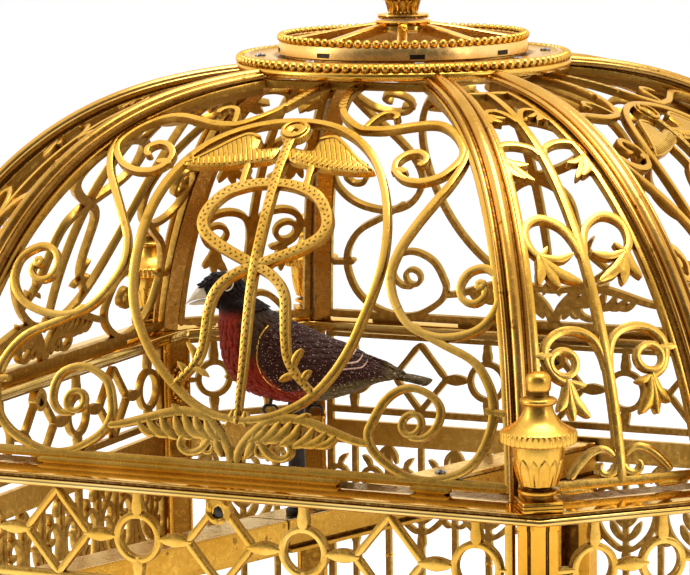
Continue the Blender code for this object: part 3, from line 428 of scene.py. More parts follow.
class Finish(Enum):
    """The automaton's finishes."""

    GILT = GiltFinish("gilt_metal")
    SCALED = GiltFinish("gilt_scales", chase=Chase.SCALES)
    BRAIDED = GiltFinish("gilt_braid", chase=Chase.BRAID)
    FEATHERED = GiltFinish("gilt_feathers", chase=Chase.FEATHER)
    RIB = GiltFinish("rib_metal", (0.72, 0.41, 0.10), (0.48, 0.235, 0.038), smooth=0.15, rough=0.32,
                     speck=0.7)
    URN = GiltFinish("urn_gilt", (0.74, 0.42, 0.07), (0.56, 0.27, 0.028), smooth=0.20, rough=0.38, speck=0.4)
    LEDGE = GiltFinish("mirror_gilt", (0.80, 0.56, 0.20), (0.62, 0.39, 0.09), smooth=0.05, rough=0.12,
                       speck=0.1, mottle=0.1, grain=0.05)
    # The beam's top face gets this brighter copy of the beam's gilt, a painted highlight of its lit top.
    BEAM_TOP = GiltFinish("painted_highlight_gilt", (0.97, 0.82, 0.52), (0.92, 0.70, 0.34), smooth=0.12, rough=0.25)
    POLISHED = GiltFinish("polished_metal", (0.93, 0.61, 0.18), (0.80, 0.46, 0.09), smooth=0.09, rough=0.24,
                          speck=0.2)
    COPPERY = GiltFinish("coppery_gilt", (0.98, 0.64, 0.24), (0.92, 0.52, 0.14), smooth=0.2, rough=0.36,
                         speck=0.15)
    POST = GiltFinish("post_gilt", (0.76, 0.39, 0.05), (0.62, 0.28, 0.024), smooth=0.12, rough=0.28,
                      speck=0.3)
    BRUSHED = GiltFinish("brushed_gilt", (0.86, 0.50, 0.10), (0.70, 0.36, 0.05), smooth=0.26, rough=0.42)
    BEAM = GiltFinish("beam_gilt", (0.80, 0.45, 0.07), (0.62, 0.30, 0.03), smooth=0.22, rough=0.40, speck=0.6,
                      mottle=0.6, grain=0.35)
    PLUMAGE = PlumageFinish("plumage")
    EYE = PaintFinish("eye_glass", (0.012, 0.008, 0.006), (0.004, 0.003, 0.003), 0.05, 300.0, coat=1.0)
    DARK_STEEL = SteelFinish("blackened_steel", (0.060, 0.050, 0.042), (0.030, 0.026, 0.022), 0.3)
    STEEL = SteelFinish("bright_steel")
    BEAK = PaintFinish("beak_horn", (0.93, 0.82, 0.60), (0.80, 0.66, 0.42), 0.28, 900.0, coat=0.3)
    WALNUT = PaintFinish("oiled_walnut", (0.22, 0.11, 0.05), (0.09, 0.04, 0.018), 0.38, 240.0,
                         (0.08, 1.0, 1.0))
    KID = PaintFinish("kid_skin", (0.70, 0.58, 0.42), (0.52, 0.40, 0.27), 0.6, 1400.0)


MATERIALS: dict[str, bpy.types.Material] = {}


def finish_material(finish: Finish) -> bpy.types.Material:
    """Return the material of a finish, made on its first use."""
    if finish.name not in MATERIALS:
        MATERIALS[finish.name] = finish.value.make()
    return MATERIALS[finish.name]


class MeshMaker:
    """Collects grids and plates drawn in millimetres into one mesh.

    Each point has a hollow value, which the gilt and steel finishes darken by as patina and painted shade
    of recesses, and each face corner a place on a chart that is in millimetres along and across the piece.
    """

    def __init__(self, *finishes: Finish) -> None:
        """Start an empty mesh that uses these finishes, by their order."""
        self.finishes = finishes
        self.points: list[Array] = []
        self.hollows: list[Array] = []
        self.charts: list[Array] = []
        self.faces: list[list[int]] = []
        self.slots: list[int] = []
        self.count = 0

    def add(self, points: Array, faces: Sequence[Sequence[int]], hollow: Array | float = 0.0,
            chart: Array | None = None, slot: int = 0) -> None:
        """Add points and the faces between them.

        Args:
            points: places in millimetres, one a row.
            faces: indices into these points.
            hollow: one value, or one for each point.
            chart: a pair for each point.
            slot: which of the finishes.
        """
        points = np.asarray(points, float).reshape(-1, 3)
        self.points.append(points)
        self.hollows.append(np.broadcast_to(np.asarray(hollow, float), (len(points),)))
        self.charts.append(np.zeros((len(points), 2)) if chart is None else np.asarray(chart, float))
        self.faces.extend([index + self.count for index in face] for face in faces)
        self.slots.extend([slot] * len(faces))
        self.count += len(points)

    def grid(self, rows: Array, wrap_rows: bool = False, wrap_columns: bool = False,
             hollow: Array | float = 0.0, chart: Array | None = None, slot: int = 0,
             cap: bool = False) -> None:
        """Add a grid of points, joined by four-sided faces.

        Args:
            rows: places, by row and column.
            wrap_rows: whether the last row joins the first.
            wrap_columns: whether the last column joins the first.
            hollow: one value, or one for each point.
            chart: a pair for each point.
            slot: which of the finishes.
            cap: whether the first and last rows are closed by a face.
        """
        rows = np.asarray(rows, float)
        count, width = rows.shape[:2]
        faces = []
        for i in range(count if wrap_rows else count - 1):
            a, b = i * width, (i + 1) % count * width
            for j in range(width if wrap_columns else width - 1):
                k = (j + 1) % width
                faces.append((a + j, a + k, b + k, b + j))
        if cap:
            faces.append(list(range(width)))
            faces.append(list(range((count - 1) * width, count * width)))
        hollow = np.broadcast_to(hollow, (count, width)).reshape(-1)
        chart = None if chart is None else chart.reshape(-1, 2)
        self.add(rows.reshape(-1, 3), faces, hollow, chart, slot)

    def bar(self, sections: Sequence, hollow: Array | float = 0.0, slot: int = 0) -> None:
        """Add a solid bar from its cross sections, closed at both ends.

        Args:
            sections: places round the bar, by section.
            hollow: one value, one for each place of a section, or one for every place.
            slot: which of the finishes.
        """
        self.grid(sections, wrap_columns=True, hollow=hollow, slot=slot, cap=True)

    def shell(self, front: Array, behind: Array, hollow: Array | float = 0.0,
              back_hollow: float = 0.0) -> None:
        """Add a thin shell between two grids of points.

        Args:
            front: the outer grid.
            behind: the inner grid, with as many points.
            hollow: hollow values of the outer grid.
            back_hollow: hollow value of the inner grid.
        """
        size = front.shape[:2]
        shade = np.concatenate([np.broadcast_to(hollow, size), np.full(size, back_hollow)], axis=1)
        self.bar(np.concatenate([front, behind[:, ::-1]], axis=1), shade)

    def mesh(self, name: str, smooth_angle: float = 38.0, merge: float = 0.0) -> bpy.types.Mesh:
        """Turn what was collected into a mesh in metres with outward faces.

        Args:
            name: the mesh's name.
            smooth_angle: edges sharper than this many degrees stay sharp.
            merge: points closer than this many millimetres become one.

        Returns:
            The mesh.
        """
        mesh = bpy.data.meshes.new(name)
        mesh.from_pydata((np.concatenate(self.points) * MM).tolist(), [], self.faces)
        values = mesh.attributes.new("hollow", 'FLOAT', 'POINT')
        values.data.foreach_set("value", np.concatenate(self.hollows).astype(np.float32))
        corners = np.zeros(len(mesh.loops), np.int32)
        mesh.loops.foreach_get("vertex_index", corners)
        chart = mesh.uv_layers.new(name="chart")
        chart.data.foreach_set("uv", np.concatenate(self.charts)[corners].astype(np.float32).reshape(-1))
        mesh.polygons.foreach_set("material_index", np.array(self.slots, np.int32))
        for finish in self.finishes:
            mesh.materials.append(finish_material(finish))
        bm = bmesh.new()
        bm.from_mesh(mesh)
        if merge:
            bmesh.ops.remove_doubles(bm, verts=bm.verts, dist=merge * MM)
        bmesh.ops.recalc_face_normals(bm, faces=bm.faces)
        bm.to_mesh(mesh)
        bm.free()
        mesh.shade_smooth()
        mesh.set_sharp_from_angle(angle=math.radians(smooth_angle))
        return mesh


def pierced_maker() -> MeshMaker:
    """Start a mesh for strips, with a finish for each kind of chased pattern."""
    return MeshMaker(Finish.GILT, Finish.SCALED, Finish.BRAIDED, Finish.FEATHERED)


def add_object(name: str, mesh: bpy.types.Mesh) -> bpy.types.Object:
    """Put a mesh in the scene as an object at the origin."""
    made = bpy.data.objects.new(name, mesh)
    bpy.context.scene.collection.objects.link(made)
    return made


def settle(piece: bpy.types.Object, body: str, slot: str, *nodes: str) -> bpy.types.Object:
    """Let a piece ride on a body and stand for CAD nodes.

    Args:
        piece: the finished piece.
        body: the CAD body that it moves with.
        slot: the record's material slot; not used.
        nodes: CAD nodes that it replaces.

    Returns:
        The piece.
    """
    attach(piece, body)
    if nodes:
        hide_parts(*nodes)
    LOG.info("%s rides on %s, %d faces", piece.name, body, len(piece.data.polygons))
    return piece


def turned_copy(mesh: bpy.types.Mesh, name: str, angle: float,
                shift: Sequence[float] = (0, 0, 0)) -> bpy.types.Mesh:
    """Copy a mesh, turned about the vertical and then moved by millimetres."""
    copy = mesh.copy()
    copy.name = name
    copy.transform(Matrix.Translation(Vector(shift) * MM) @ Matrix.Rotation(angle, 4, 'Z'))
    return copy


def place_round(mesh: bpy.types.Mesh, names: Sequence[str], piece: str, slot: str, node: str) -> None:
    """Repeat a mesh on sides of the cage, as a piece of its own on each.

    Args:
        mesh: the mesh on the side that faces -Y, with levels from the cornice.
        names: names of the sides.
        piece: name of the pieces, with {} for the side.
        slot: the record's material slot.
        node: name of the CAD nodes, with {} for the side.
    """
    mesh.transform(Matrix.Translation(Vector(UP) * CORNICE * MM))
    for name in names:
        turned = turned_copy(mesh, name, TURNS[name])
        settle(add_object(piece.format(name), turned), "cage", slot, node.format(name))


def bake_modifiers(piece: bpy.types.Object) -> None:
    """Turn an object's modifiers into its plain mesh."""
    bpy.context.view_layer.update()
    graph = bpy.context.evaluated_depsgraph_get()
    result = bpy.data.meshes.new_from_object(piece.evaluated_get(graph), preserve_all_data_layers=True,
                                             depsgraph=graph)
    piece.modifiers.clear()
    piece.data = result


def stacked(*parts: Array) -> Array:
    """Join coordinates into points, spread to the same shape first."""
    return np.stack(np.broadcast_arrays(*parts), axis=-1)


def unit(vectors: Array) -> Array:
    """Return vectors scaled to a length of 1."""
    return vectors / np.maximum(np.linalg.norm(vectors, axis=-1, keepdims=True), 1e-9)


def full_turn(count: int) -> Array:
    """Return even angles round a full turn."""
    return np.arange(count) * 2 * math.pi / count


def polar(centre: Pair, radius: float, angle: float) -> Pair:
    """Return the point at a distance and an angle from a centre."""
    return centre[0] + radius * math.cos(angle), centre[1] + radius * math.sin(angle)


def distances(line: Array) -> Array:
    """Return how far along a line each of its points lies."""
    return np.concatenate([[0.0], np.cumsum(np.linalg.norm(np.diff(line, axis=0), axis=1))])


def at_distances(line: Array, wanted: Array) -> Array:
    """Return the points at distances along a line."""
    marks = distances(line)
    return np.column_stack([np.interp(wanted, marks, line[:, k]) for k in range(line.shape[1])])


def smooth_line(points: Sequence[Pair], step: float, closed: bool = False) -> Array:
    """Draw a smooth line through points.

    Args:
        points: places that the line passes.
        step: distance between the points of the result.
        closed: whether the line ends where it starts.

    Returns:
        Points at even distances along the line.
    """
    knots = np.asarray(points, float)
    if closed:
        knots = np.vstack([knots[-1:], knots, knots[:2]])
    else:
        knots = np.vstack([2 * knots[:1] - knots[1:2], knots, 2 * knots[-1:] - knots[-2:-1]])
    dense = []
    for a, b, c, d in zip(knots, knots[1:], knots[2:], knots[3:]):
        t = np.linspace(0, 1, 24, endpoint=False)[:, None]
        dense.append(0.5 * (2 * b + (c - a) * t + (2 * a - 5 * b + 4 * c - d) * t ** 2
                            + (3 * b - a - 3 * c + d) * t ** 3))
    dense = np.vstack(dense + [knots[-2:-1]])
    length = distances(dense)[-1]
    line = at_distances(dense, np.linspace(0, length, max(2, int(round(length / step))) + 1))
    return line[:-1] if closed else line


class Sheet:
    """A surface that strips are laid on, measured across (u) and up (s) in millimetres."""

    def __init__(self, s: Array, apothem: Array, level: Array) -> None:
        """Keep the surface's upright line, which faces -Y."""
        self.s, self.apothem, self.level = s, apothem, level
        self.apothem_slope = np.gradient(apothem, s)
        self.level_slope = np.gradient(level, s)

    def at(self, u: Array, s: Array, lift: Array) -> Array:
        """Return places above the surface.

        Args:
            u: distances across.
            s: distances up.
            lift: heights above the surface.

        Returns:
            Places, one a row.
        """
        apothem = np.interp(s, self.s, self.apothem)
        level = np.interp(s, self.s, self.level)
        away = np.interp(s, self.s, self.apothem_slope)
        rise = np.interp(s, self.s, self.level_slope)
        length = np.maximum(np.hypot(away, rise), 1e-9)
        return np.stack([u, -apothem - rise / length * lift, level - away / length * lift], axis=-1)


def flat_sheet(apothem: float, low: float, high: float) -> Sheet:
    """Return an upright flat surface at a distance from the axis."""
    return Sheet(np.array([low, high]), np.array([apothem, apothem]), np.array([low, high]))


@dataclass(frozen=True)
class Stroke:
    """One cut and filed strip of a pierced sheet."""

    points: tuple[Pair, ...]
    widths: tuple[float, ...] = (2.2,)
    chase: Chase = Chase.PLAIN
    closed: bool = False
    straight: bool = False
    lift: float = 0.0

    def mirror(self) -> "Stroke":
        """Return the strip's mirror image about the middle line."""
        return replace(self, points=tuple((-u, s) for u, s in self.points), lift=self.lift + 0.011)


STRIP_ACROSS = np.array([-0.94, -1.0, -0.88, -0.5, 0.0, 0.5, 0.88, 1.0, 0.94])
STRIP_DEPTH = np.array([-2.0, -0.42, -0.10, 0.0, 0.06, 0.0, -0.10, -0.42, -2.0])
# Painted shade and patina: a strip's filed sides get high hollow values and are darkened by the gilt
# finishes.
STRIP_HOLLOW = np.array([0.80, 0.52, 0.06, 0.0, 0.0, 0.0, 0.06, 0.52, 0.80])
CHASE_SLOT = {Chase.PLAIN: 0, Chase.SCALES: 1, Chase.BRAID: 2, Chase.FEATHER: 3}


def lay_strip(maker: MeshMaker, sheet: Sheet, stroke: Stroke, lift: float = 1.0, depth: float = 1.0,
              step: float = 0.7) -> None:
    """Lay a crowned strip on a surface.

    Args:
        maker: where its faces go.
        sheet: the surface.
        stroke: its line and widths.
        lift: height of its face above the surface.
        depth: its thickness, as a share of the pierced sheet's.
        step: distance between its sections.
    """
    if stroke.straight:
        ends = np.asarray(stroke.points, float)
        marks = distances(ends)
        line = at_distances(ends, np.unique(np.concatenate([marks, np.arange(0, marks[-1], max(step, 2.0))])))
    else:
        line = smooth_line(stroke.points, step, stroke.closed)
    if stroke.closed:
        ahead = unit(np.roll(line, -1, axis=0) - np.roll(line, 1, axis=0))
    else:
        ahead = unit(np.gradient(line, axis=0))
    travelled = distances(line)
    share = travelled / travelled[-1]
    half = np.interp(share, np.linspace(0, 1, len(stroke.widths)), stroke.widths) / 2
    if not stroke.closed:
        round_end = np.minimum(travelled, travelled[-1] - travelled) / np.maximum(half, 0.05)
        half = half * np.sqrt(np.clip(1 - (1 - np.clip(round_end + 0.12, 0, 1)) ** 2, 0.01, 1))
    across = STRIP_ACROSS * half[:, None]
    u = line[:, :1] - ahead[:, 1:] * across
    s = line[:, 1:] + ahead[:, :1] * across
    crown = np.where(STRIP_DEPTH > -1, STRIP_DEPTH * np.minimum(1.0, half[:, None] / 1.1),
                     STRIP_DEPTH * depth)
    rows = sheet.at(u, s, lift + stroke.lift + crown)
    maker.grid(rows, stroke.closed, True, STRIP_HOLLOW, stacked(travelled[:, None], across),
               CHASE_SLOT[stroke.chase], not stroke.closed)


def lay_strips(maker: MeshMaker, sheet: Sheet, strokes: Sequence[Stroke], straight_step: float = 0.7) -> None:
    """Lay the strips of a pierced sheet, each a hair above the one before, so that crossing faces stay apart.

    Args:
        maker: where the faces go.
        sheet: the surface.
        strokes: the strips.
        straight_step: distance between the sections of strips that aren't closed.
    """
    for index, stroke in enumerate(strokes):
        lay_strip(maker, sheet, stroke, 1.0 + STAGGER * (index % 7),
                  step=0.7 if stroke.closed else straight_step)


def lay_plate(maker: MeshMaker, sheet: Sheet, outline: Sequence[Pair], lift: float = 1.0,
              thick: float = 2.0, crown: float = 0.5, slot: int = 0, hole: Sequence[Pair] = ()) -> None:
    """Lay a flat plate with a filed edge on a surface.

    Args:
        maker: where its faces go.
        sheet: the surface.
        outline: its border, in order.
        lift: height of its face above the surface.
        thick: its thickness.
        crown: how far its middle rises above its border.
        slot: which of the maker's finishes.
        hole: border of an opening in it.
    """
    rim = smooth_line(outline, 0.7, True)
    loops = [rim]
    if len(hole):
        loops.append(smooth_line(hole, 0.5, True))
    low, high = rim.min(0), rim.max(0)
    fill = [np.array((x, y)) for x in np.arange(low[0], high[0], 1.0)
            for y in np.arange(low[1], high[1], 1.0)]
    fill = [p for p in fill if inside_loops(p, loops) and nearest(p, loops) > 0.55]
    points = np.vstack(loops + ([np.array(fill)] if fill else []))
    edges, first = [], 0
    for loop in loops:
        edges.extend((first + i, first + (i + 1) % len(loop)) for i in range(len(loop)))
        first += len(loop)
    coords, _, triangles = delaunay_2d_cdt([Vector(p) for p in points], edges, [], 0, 1e-5, True)[:3]
    flat = np.array([(c.x, c.y) for c in coords])
    kept = [tri for tri in triangles if inside_loops(flat[list(tri)].mean(0), loops)]
    away = np.array([nearest(p, loops) for p in flat])
    rise = crown * (1 - np.exp(-away / 0.8)) - 0.22 * np.exp(-away / 0.15)
    hollow = 0.22 * np.exp(-away / 0.3)
    top = sheet.at(flat[:, 0], flat[:, 1], lift + rise)
    bottom = sheet.at(flat[:, 0], flat[:, 1], np.full(len(flat), lift - thick))
    count = len(flat)
    faces = [list(tri) for tri in kept] + [[i + count for i in reversed(tri)] for tri in kept]
    directed = {(tri[k], tri[(k + 1) % 3]) for tri in kept for k in range(3)}
    faces += [[b, a, a + count, b + count] for a, b in directed if (b, a) not in directed]
    maker.add(np.vstack([top, bottom]), faces, np.concatenate([hollow, np.full(count, 0.5)]),
              np.vstack([flat, flat]), slot)


def inside_loops(point: Array, loops: Sequence[Array]) -> bool:
    """Tell whether a point is in the area that the loops enclose."""
    odd = False
    for loop in loops:
        after = np.roll(loop, -1, axis=0)
        crosses = (loop[:, 1] > point[1]) != (after[:, 1] > point[1])
        rise = np.where(np.abs(after[:, 1] - loop[:, 1]) < 1e-12, 1e-12, after[:, 1] - loop[:, 1])
        hits = crosses & (point[0] < (after[:, 0] - loop[:, 0]) * (point[1] - loop[:, 1]) / rise + loop[:, 0])
        odd ^= bool(np.count_nonzero(hits) % 2)
    return odd


def nearest(point: Array, loops: Sequence[Array]) -> float:
    """Return the distance from a point to the nearest border point."""
    return min(float(np.min(np.linalg.norm(loop - point, axis=1))) for loop in loops)


def sweep(maker: MeshMaker, path: Array, across: Array, outward: Array, section: Sequence[Triple],
          slot: int = 0) -> None:
    """Run a closed section along a path.

    Args:
        maker: where the faces go.
        path: the path's points.
        across: the section's sideways direction, one or one for each point.
        outward: its outward direction, one or one for each point.
        section: sideways and outward distances, with the hollow value of each.
        slot: which of the maker's finishes.
    """
    shape = np.asarray(section, float)
    across, outward = np.broadcast_to(across, path.shape), np.broadcast_to(outward, path.shape)
    rows = path[:, None] + across[:, None] * shape[:, :1] + outward[:, None] * shape[:, 1:2]
    maker.grid(rows, False, True, shape[:, 2], stacked(distances(path)[:, None], shape[:, 0]), slot, True)


def arc(centre: Pair, radius: float, start: float, end: float, hollow: float,
        hollow_end: float) -> list[Triple]:
    """Return section points on a round part, between two angles in degrees.

    Args:
        centre: middle of the round part.
        radius: its radius.
        start: first angle.
        end: last angle.
        hollow: hollow value at its middle.
        hollow_end: hollow value at its ends.

    Returns:
        Eight points with their hollow values.
    """
    points = []
    for share in np.linspace(0, 1, 8):
        edge = abs(2 * share - 1)
        points.append((*polar(centre, radius, math.radians(start + (end - start) * share)),
                       hollow + (hollow_end - hollow) * edge ** 3))
    return points


def mirrored_section(half: Sequence[Triple]) -> list[Triple]:
    """Return a section and its mirror image, with a point on the middle line only once."""
    return list(half) + [(-x, y, h) for x, y, h in reversed(half) if abs(x) > 1e-6]


def lathe(maker: MeshMaker, profile: Sequence[tuple[float, ...]], steps: int = 96, centre: Pair = (0, 0),
          slot: int = 0, closed: bool = False, ripple: Callable[[Array, Array], Array] | None = None,
          rise: float = 0.0) -> None:
    """Turn a profile about the vertical.

    Args:
        maker: where the faces go.
        profile: radius and level of each point, and its hollow value where that isn't 0.
        steps: number of sections.
        centre: where the axis stands.
        slot: which of the maker's finishes.
        closed: whether the profile's end joins its start.
        ripple: change of the radius from the angle and the profile's index.
        rise: how far all levels are raised.
    """
    shape = np.array([(p[0], p[1] + rise, p[2] if len(p) > 2 else 0.0) for p in profile], float)
    angles = full_turn(steps)[:, None]
    radius = np.tile(shape[:, 0], (steps, 1))
    if ripple is not None:
        radius += ripple(angles, np.arange(len(shape))[None, :])
    rows = stacked(centre[0] + radius * np.cos(angles), centre[1] + radius * np.sin(angles), shape[:, 1])
    maker.grid(rows, True, closed, shape[:, 2], stacked(angles * 20, shape[:, 1]), slot)


def octagon(inset: float, level: float) -> Array:
    """Corners of the cage's octagon, set in from the cornice's edge."""
    wide = WIDE_APOTHEM - inset
    half = math.sqrt(2) * (NARROW_APOTHEM - inset) - wide
    corners = []
    for index in range(4):
        spin = Matrix.Rotation(index * math.pi / 2, 2)
        for corner in ((half, -wide), (wide, -half)):
            turned = spin @ Vector(corner)
            corners.append((turned.x, turned.y, level))
    return np.array(corners)


def octagon_rim(corners: Array, along: int) -> Array:
    """Return the points of an octagon's sides, a number of them on each side.

    Args:
        corners: the eight corners, or stacks of them by corner.
        along: points on each side.

    Returns:
        The points, with the corners' own stacks.
    """
    after = np.roll(corners, -1, axis=0)
    shares = (np.arange(along) / along).reshape(1, -1, *[1] * (corners.ndim - 1))
    return (corners[:, None] * (1 - shares) + after[:, None] * shares).reshape(-1, *corners.shape[1:])


def octagon_moulding(maker: MeshMaker, profile: Sequence[Triple], along: int) -> None:
    """Run a closed moulding round the octagon, mitred at its corners.

    Args:
        maker: where the faces go.
        profile: inset, level and hollow value of each point.
        along: sections along each side.
    """
    shape = np.asarray(profile, float)
    rows = octagon_rim(np.stack([octagon(inset, level) for inset, level, _ in shape], axis=1), along)
    maker.grid(rows, True, True, shape[:, 2], stacked(distances(rows[:, 0])[:, None], shape[:, 1]))


class Repeater:
    """Geometry Nodes tree that puts a small shape on every point of a carrier mesh."""

    def __init__(self) -> None:
        """Build the tree once, with named inputs for the carrier, the shape and its finish."""
        self.tree = bpy.data.node_groups.new("repeat_on_points", 'GeometryNodeTree')
        face = self.tree.interface
        for name, kind in (("Carrier", 'NodeSocketGeometry'), ("Shape", 'NodeSocketObject'),
                           ("Finish", 'NodeSocketMaterial')):
            face.new_socket(name, in_out='INPUT', socket_type=kind)
        face.new_socket("Pieces", in_out='OUTPUT', socket_type='NodeSocketGeometry')
        graph = Graph(self.tree)
        source = graph.add("NodeGroupInput")
        shape = graph.add("GeometryNodeObjectInfo")
        graph.feed(shape, "Object", source.outputs["Shape"])
        turn = graph.add("FunctionNodeAxesToRotation", primary_axis='Z', secondary_axis='X')
        graph.fill(turn, {"Primary Axis": self.layer(graph, "facing"),
                          "Secondary Axis": self.layer(graph, "heading")})
        spread = graph.add("GeometryNodeInstanceOnPoints")
        graph.fill(spread, {"Points": source.outputs["Carrier"], "Instance": shape.outputs["Geometry"],
                            "Rotation": turn.outputs[0], "Scale": self.layer(graph, "size")})
        real = graph.add("GeometryNodeRealizeInstances")
        graph.feed(real, 0, spread.outputs[0])
        dress = graph.add("GeometryNodeSetMaterial")
        graph.fill(dress, {"Geometry": real.outputs[0], "Material": source.outputs["Finish"]})
        result = graph.add("NodeGroupOutput")
        graph.feed(result, 0, dress.outputs[0])

    def layer(self, graph: Graph, name: str) -> Socket:
        """Read one of the vectors that the carrier mesh keeps for each point."""
        node = graph.add("GeometryNodeInputNamedAttribute", data_type='FLOAT_VECTOR')
        graph.feed(node, "Name", name)
        return node.outputs["Attribute"]

    def run(self, name: str, shape: bpy.types.Mesh, spots: Sequence, facing: Sequence, heading: Sequence,
            finish: Finish, sizes: Sequence | float = 1.0) -> bpy.types.Object:
        """Repeat a shape on spots.

        Args:
            name: name of the new object.
            shape: the shape, with its own up as Z.
            spots: places in millimetres.
            facing: where each one's Z points.
            heading: where each one's X points, as near as can be.
            finish: finish of all of them.
            sizes: one size, or rows of three numbers for one or all spots.

        Returns:
            An object with a plain mesh.
        """
        spots = np.asarray(spots, float).reshape(-1, 3)
        carrier = bpy.data.meshes.new(name)
        carrier.from_pydata((spots * MM).tolist(), [], [])
        for key, values in (("facing", facing), ("heading", heading), ("size", sizes)):
            layer = carrier.attributes.new(key, 'FLOAT_VECTOR', 'POINT')
            filled = np.broadcast_to(values, (len(spots), 3))
            layer.data.foreach_set("vector", filled.astype(np.float32).reshape(-1))
        source = add_object(name + "_shape", shape)
        piece = add_object(name, carrier)
        step = piece.modifiers.new("repeat", 'NODES')
        step.node_group = self.tree
        values = {"Shape": source, "Finish": finish_material(finish)}
        for item in self.tree.interface.items_tree:
            if item.in_out == 'INPUT' and item.name in values:
                step[item.identifier] = values[item.name]
        bake_modifiers(piece)
        bpy.data.objects.remove(source)
        return piece


def join(name: str, *pieces: bpy.types.Object) -> bpy.types.Object:
    """Join pieces into the first one and name it."""
    bpy.ops.object.select_all(action='DESELECT')
    for piece in pieces:
        piece.select_set(True)
    bpy.context.view_layer.objects.active = pieces[0]
    bpy.ops.object.join()
    pieces[0].name = name
    pieces[0].data.name = name
    return pieces[0]


def dome_shape(radius: float, height: float, sides: int, rings: int) -> bpy.types.Mesh:
    """Mesh of a bead's visible cap, of unit size, with a short skirt under it."""
    maker = MeshMaker(Finish.GILT)
    angles = np.linspace(-0.35, math.pi / 2, rings + 1)[:-1]
    profile = [(radius * math.cos(a), height * math.sin(a), 0.45 * max(0.0, 0.25 - a)) for a in angles]
    profile.append((0.0, height))
    lathe(maker, profile, sides)
    return maker.mesh("bead", 60, WELD)


@dataclass(frozen=True)
class DomeShape:
    """The dome's upright curve and how its corners bow."""

    radius: float = 136.2
    height: float = 92.0
    side_power: float = 2 / 3.57
    top_power: float = 2 / 1.54
    opening: float = 43.5
    bow: float = 0.12
    half_angle: float = math.radians(10.63)
    samples: int = 480
    panel_inset: float = 3.3

    def columns(self, inset: float) -> dict[str, Array]:
        """Measure both kinds of panel from the springing to the opening.

        Args:
            inset: how far the surface lies inside the outer one.

        Returns:
            Radius, level, apothem, half-width and arc length of both kinds of panel.
        """
        angle = math.pi / 2 * np.arange(self.samples + 1) / self.samples
        radius = (self.radius - inset) * np.maximum(np.cos(angle), 0) ** self.side_power
        level = (self.height - inset) * np.sin(angle) ** self.top_power
        share = np.clip((radius - self.opening) / (self.radius - self.opening), 0, 1)
        across = radius * math.sin(self.half_angle) * (1 - self.bow * 4 * share * (1 - share))
        along = radius * math.cos(self.half_angle)
        wide = (along + across) / math.sqrt(2)
        found = {"radius": radius, "level": level, "narrow": along, "narrow_half": across, "wide": wide,
                 "wide_half": (along - across) / math.sqrt(2)}
        for key in ("wide", "narrow"):
            found[key + "_s"] = distances(np.column_stack([found[key], level]))
        return found

    def sheet(self, kind: str) -> Sheet:
        """Return the middle surface of the wide or narrow panels."""
        found = self.columns(self.panel_inset)
        return Sheet(found[kind + "_s"], found[kind], found["level"])

    def half_width(self, kind: str) -> Callable[[float], float]:
        """Return a function from the distance up to a panel's half width."""
        found = self.columns(self.panel_inset)
        return lambda s: float(np.interp(s, found[kind + "_s"], found[kind + "_half"]))


def both(strokes: Sequence[Stroke]) -> list[Stroke]:
    """Return strips and their mirror images."""
    return [image for stroke in strokes for image in (stroke, stroke.mirror())]


def leaf_lobe(start: Pair, end: Pair, width: float, bend: float = 0.0) -> Stroke:
    """Return one pointed lobe of a leaf, from its root to its tip.

    Args:
        start: its root.
        end: its tip.
        width: its greatest width.
        bend: how far its middle is off the straight line.

    Returns:
        The lobe as a strip.
    """
    du, ds = end[0] - start[0], end[1] - start[1]
    length = math.hypot(du, ds)
    middle = ((start[0] + end[0]) / 2 - ds / length * bend, (start[1] + end[1]) / 2 + du / length * bend)
    return Stroke((start, middle, end), (0.5 * width, 0.95 * width, 1.05 * width, 0.4 * width), lift=0.08)


def ring_points(centre: Pair, half_width: float, half_height: float, count: int = 24) -> tuple[Pair, ...]:
    """Return points round an oval."""
    return tuple((centre[0] + half_width * math.cos(2 * math.pi * i / count),
                  centre[1] + half_height * math.sin(2 * math.pi * i / count)) for i in range(count))


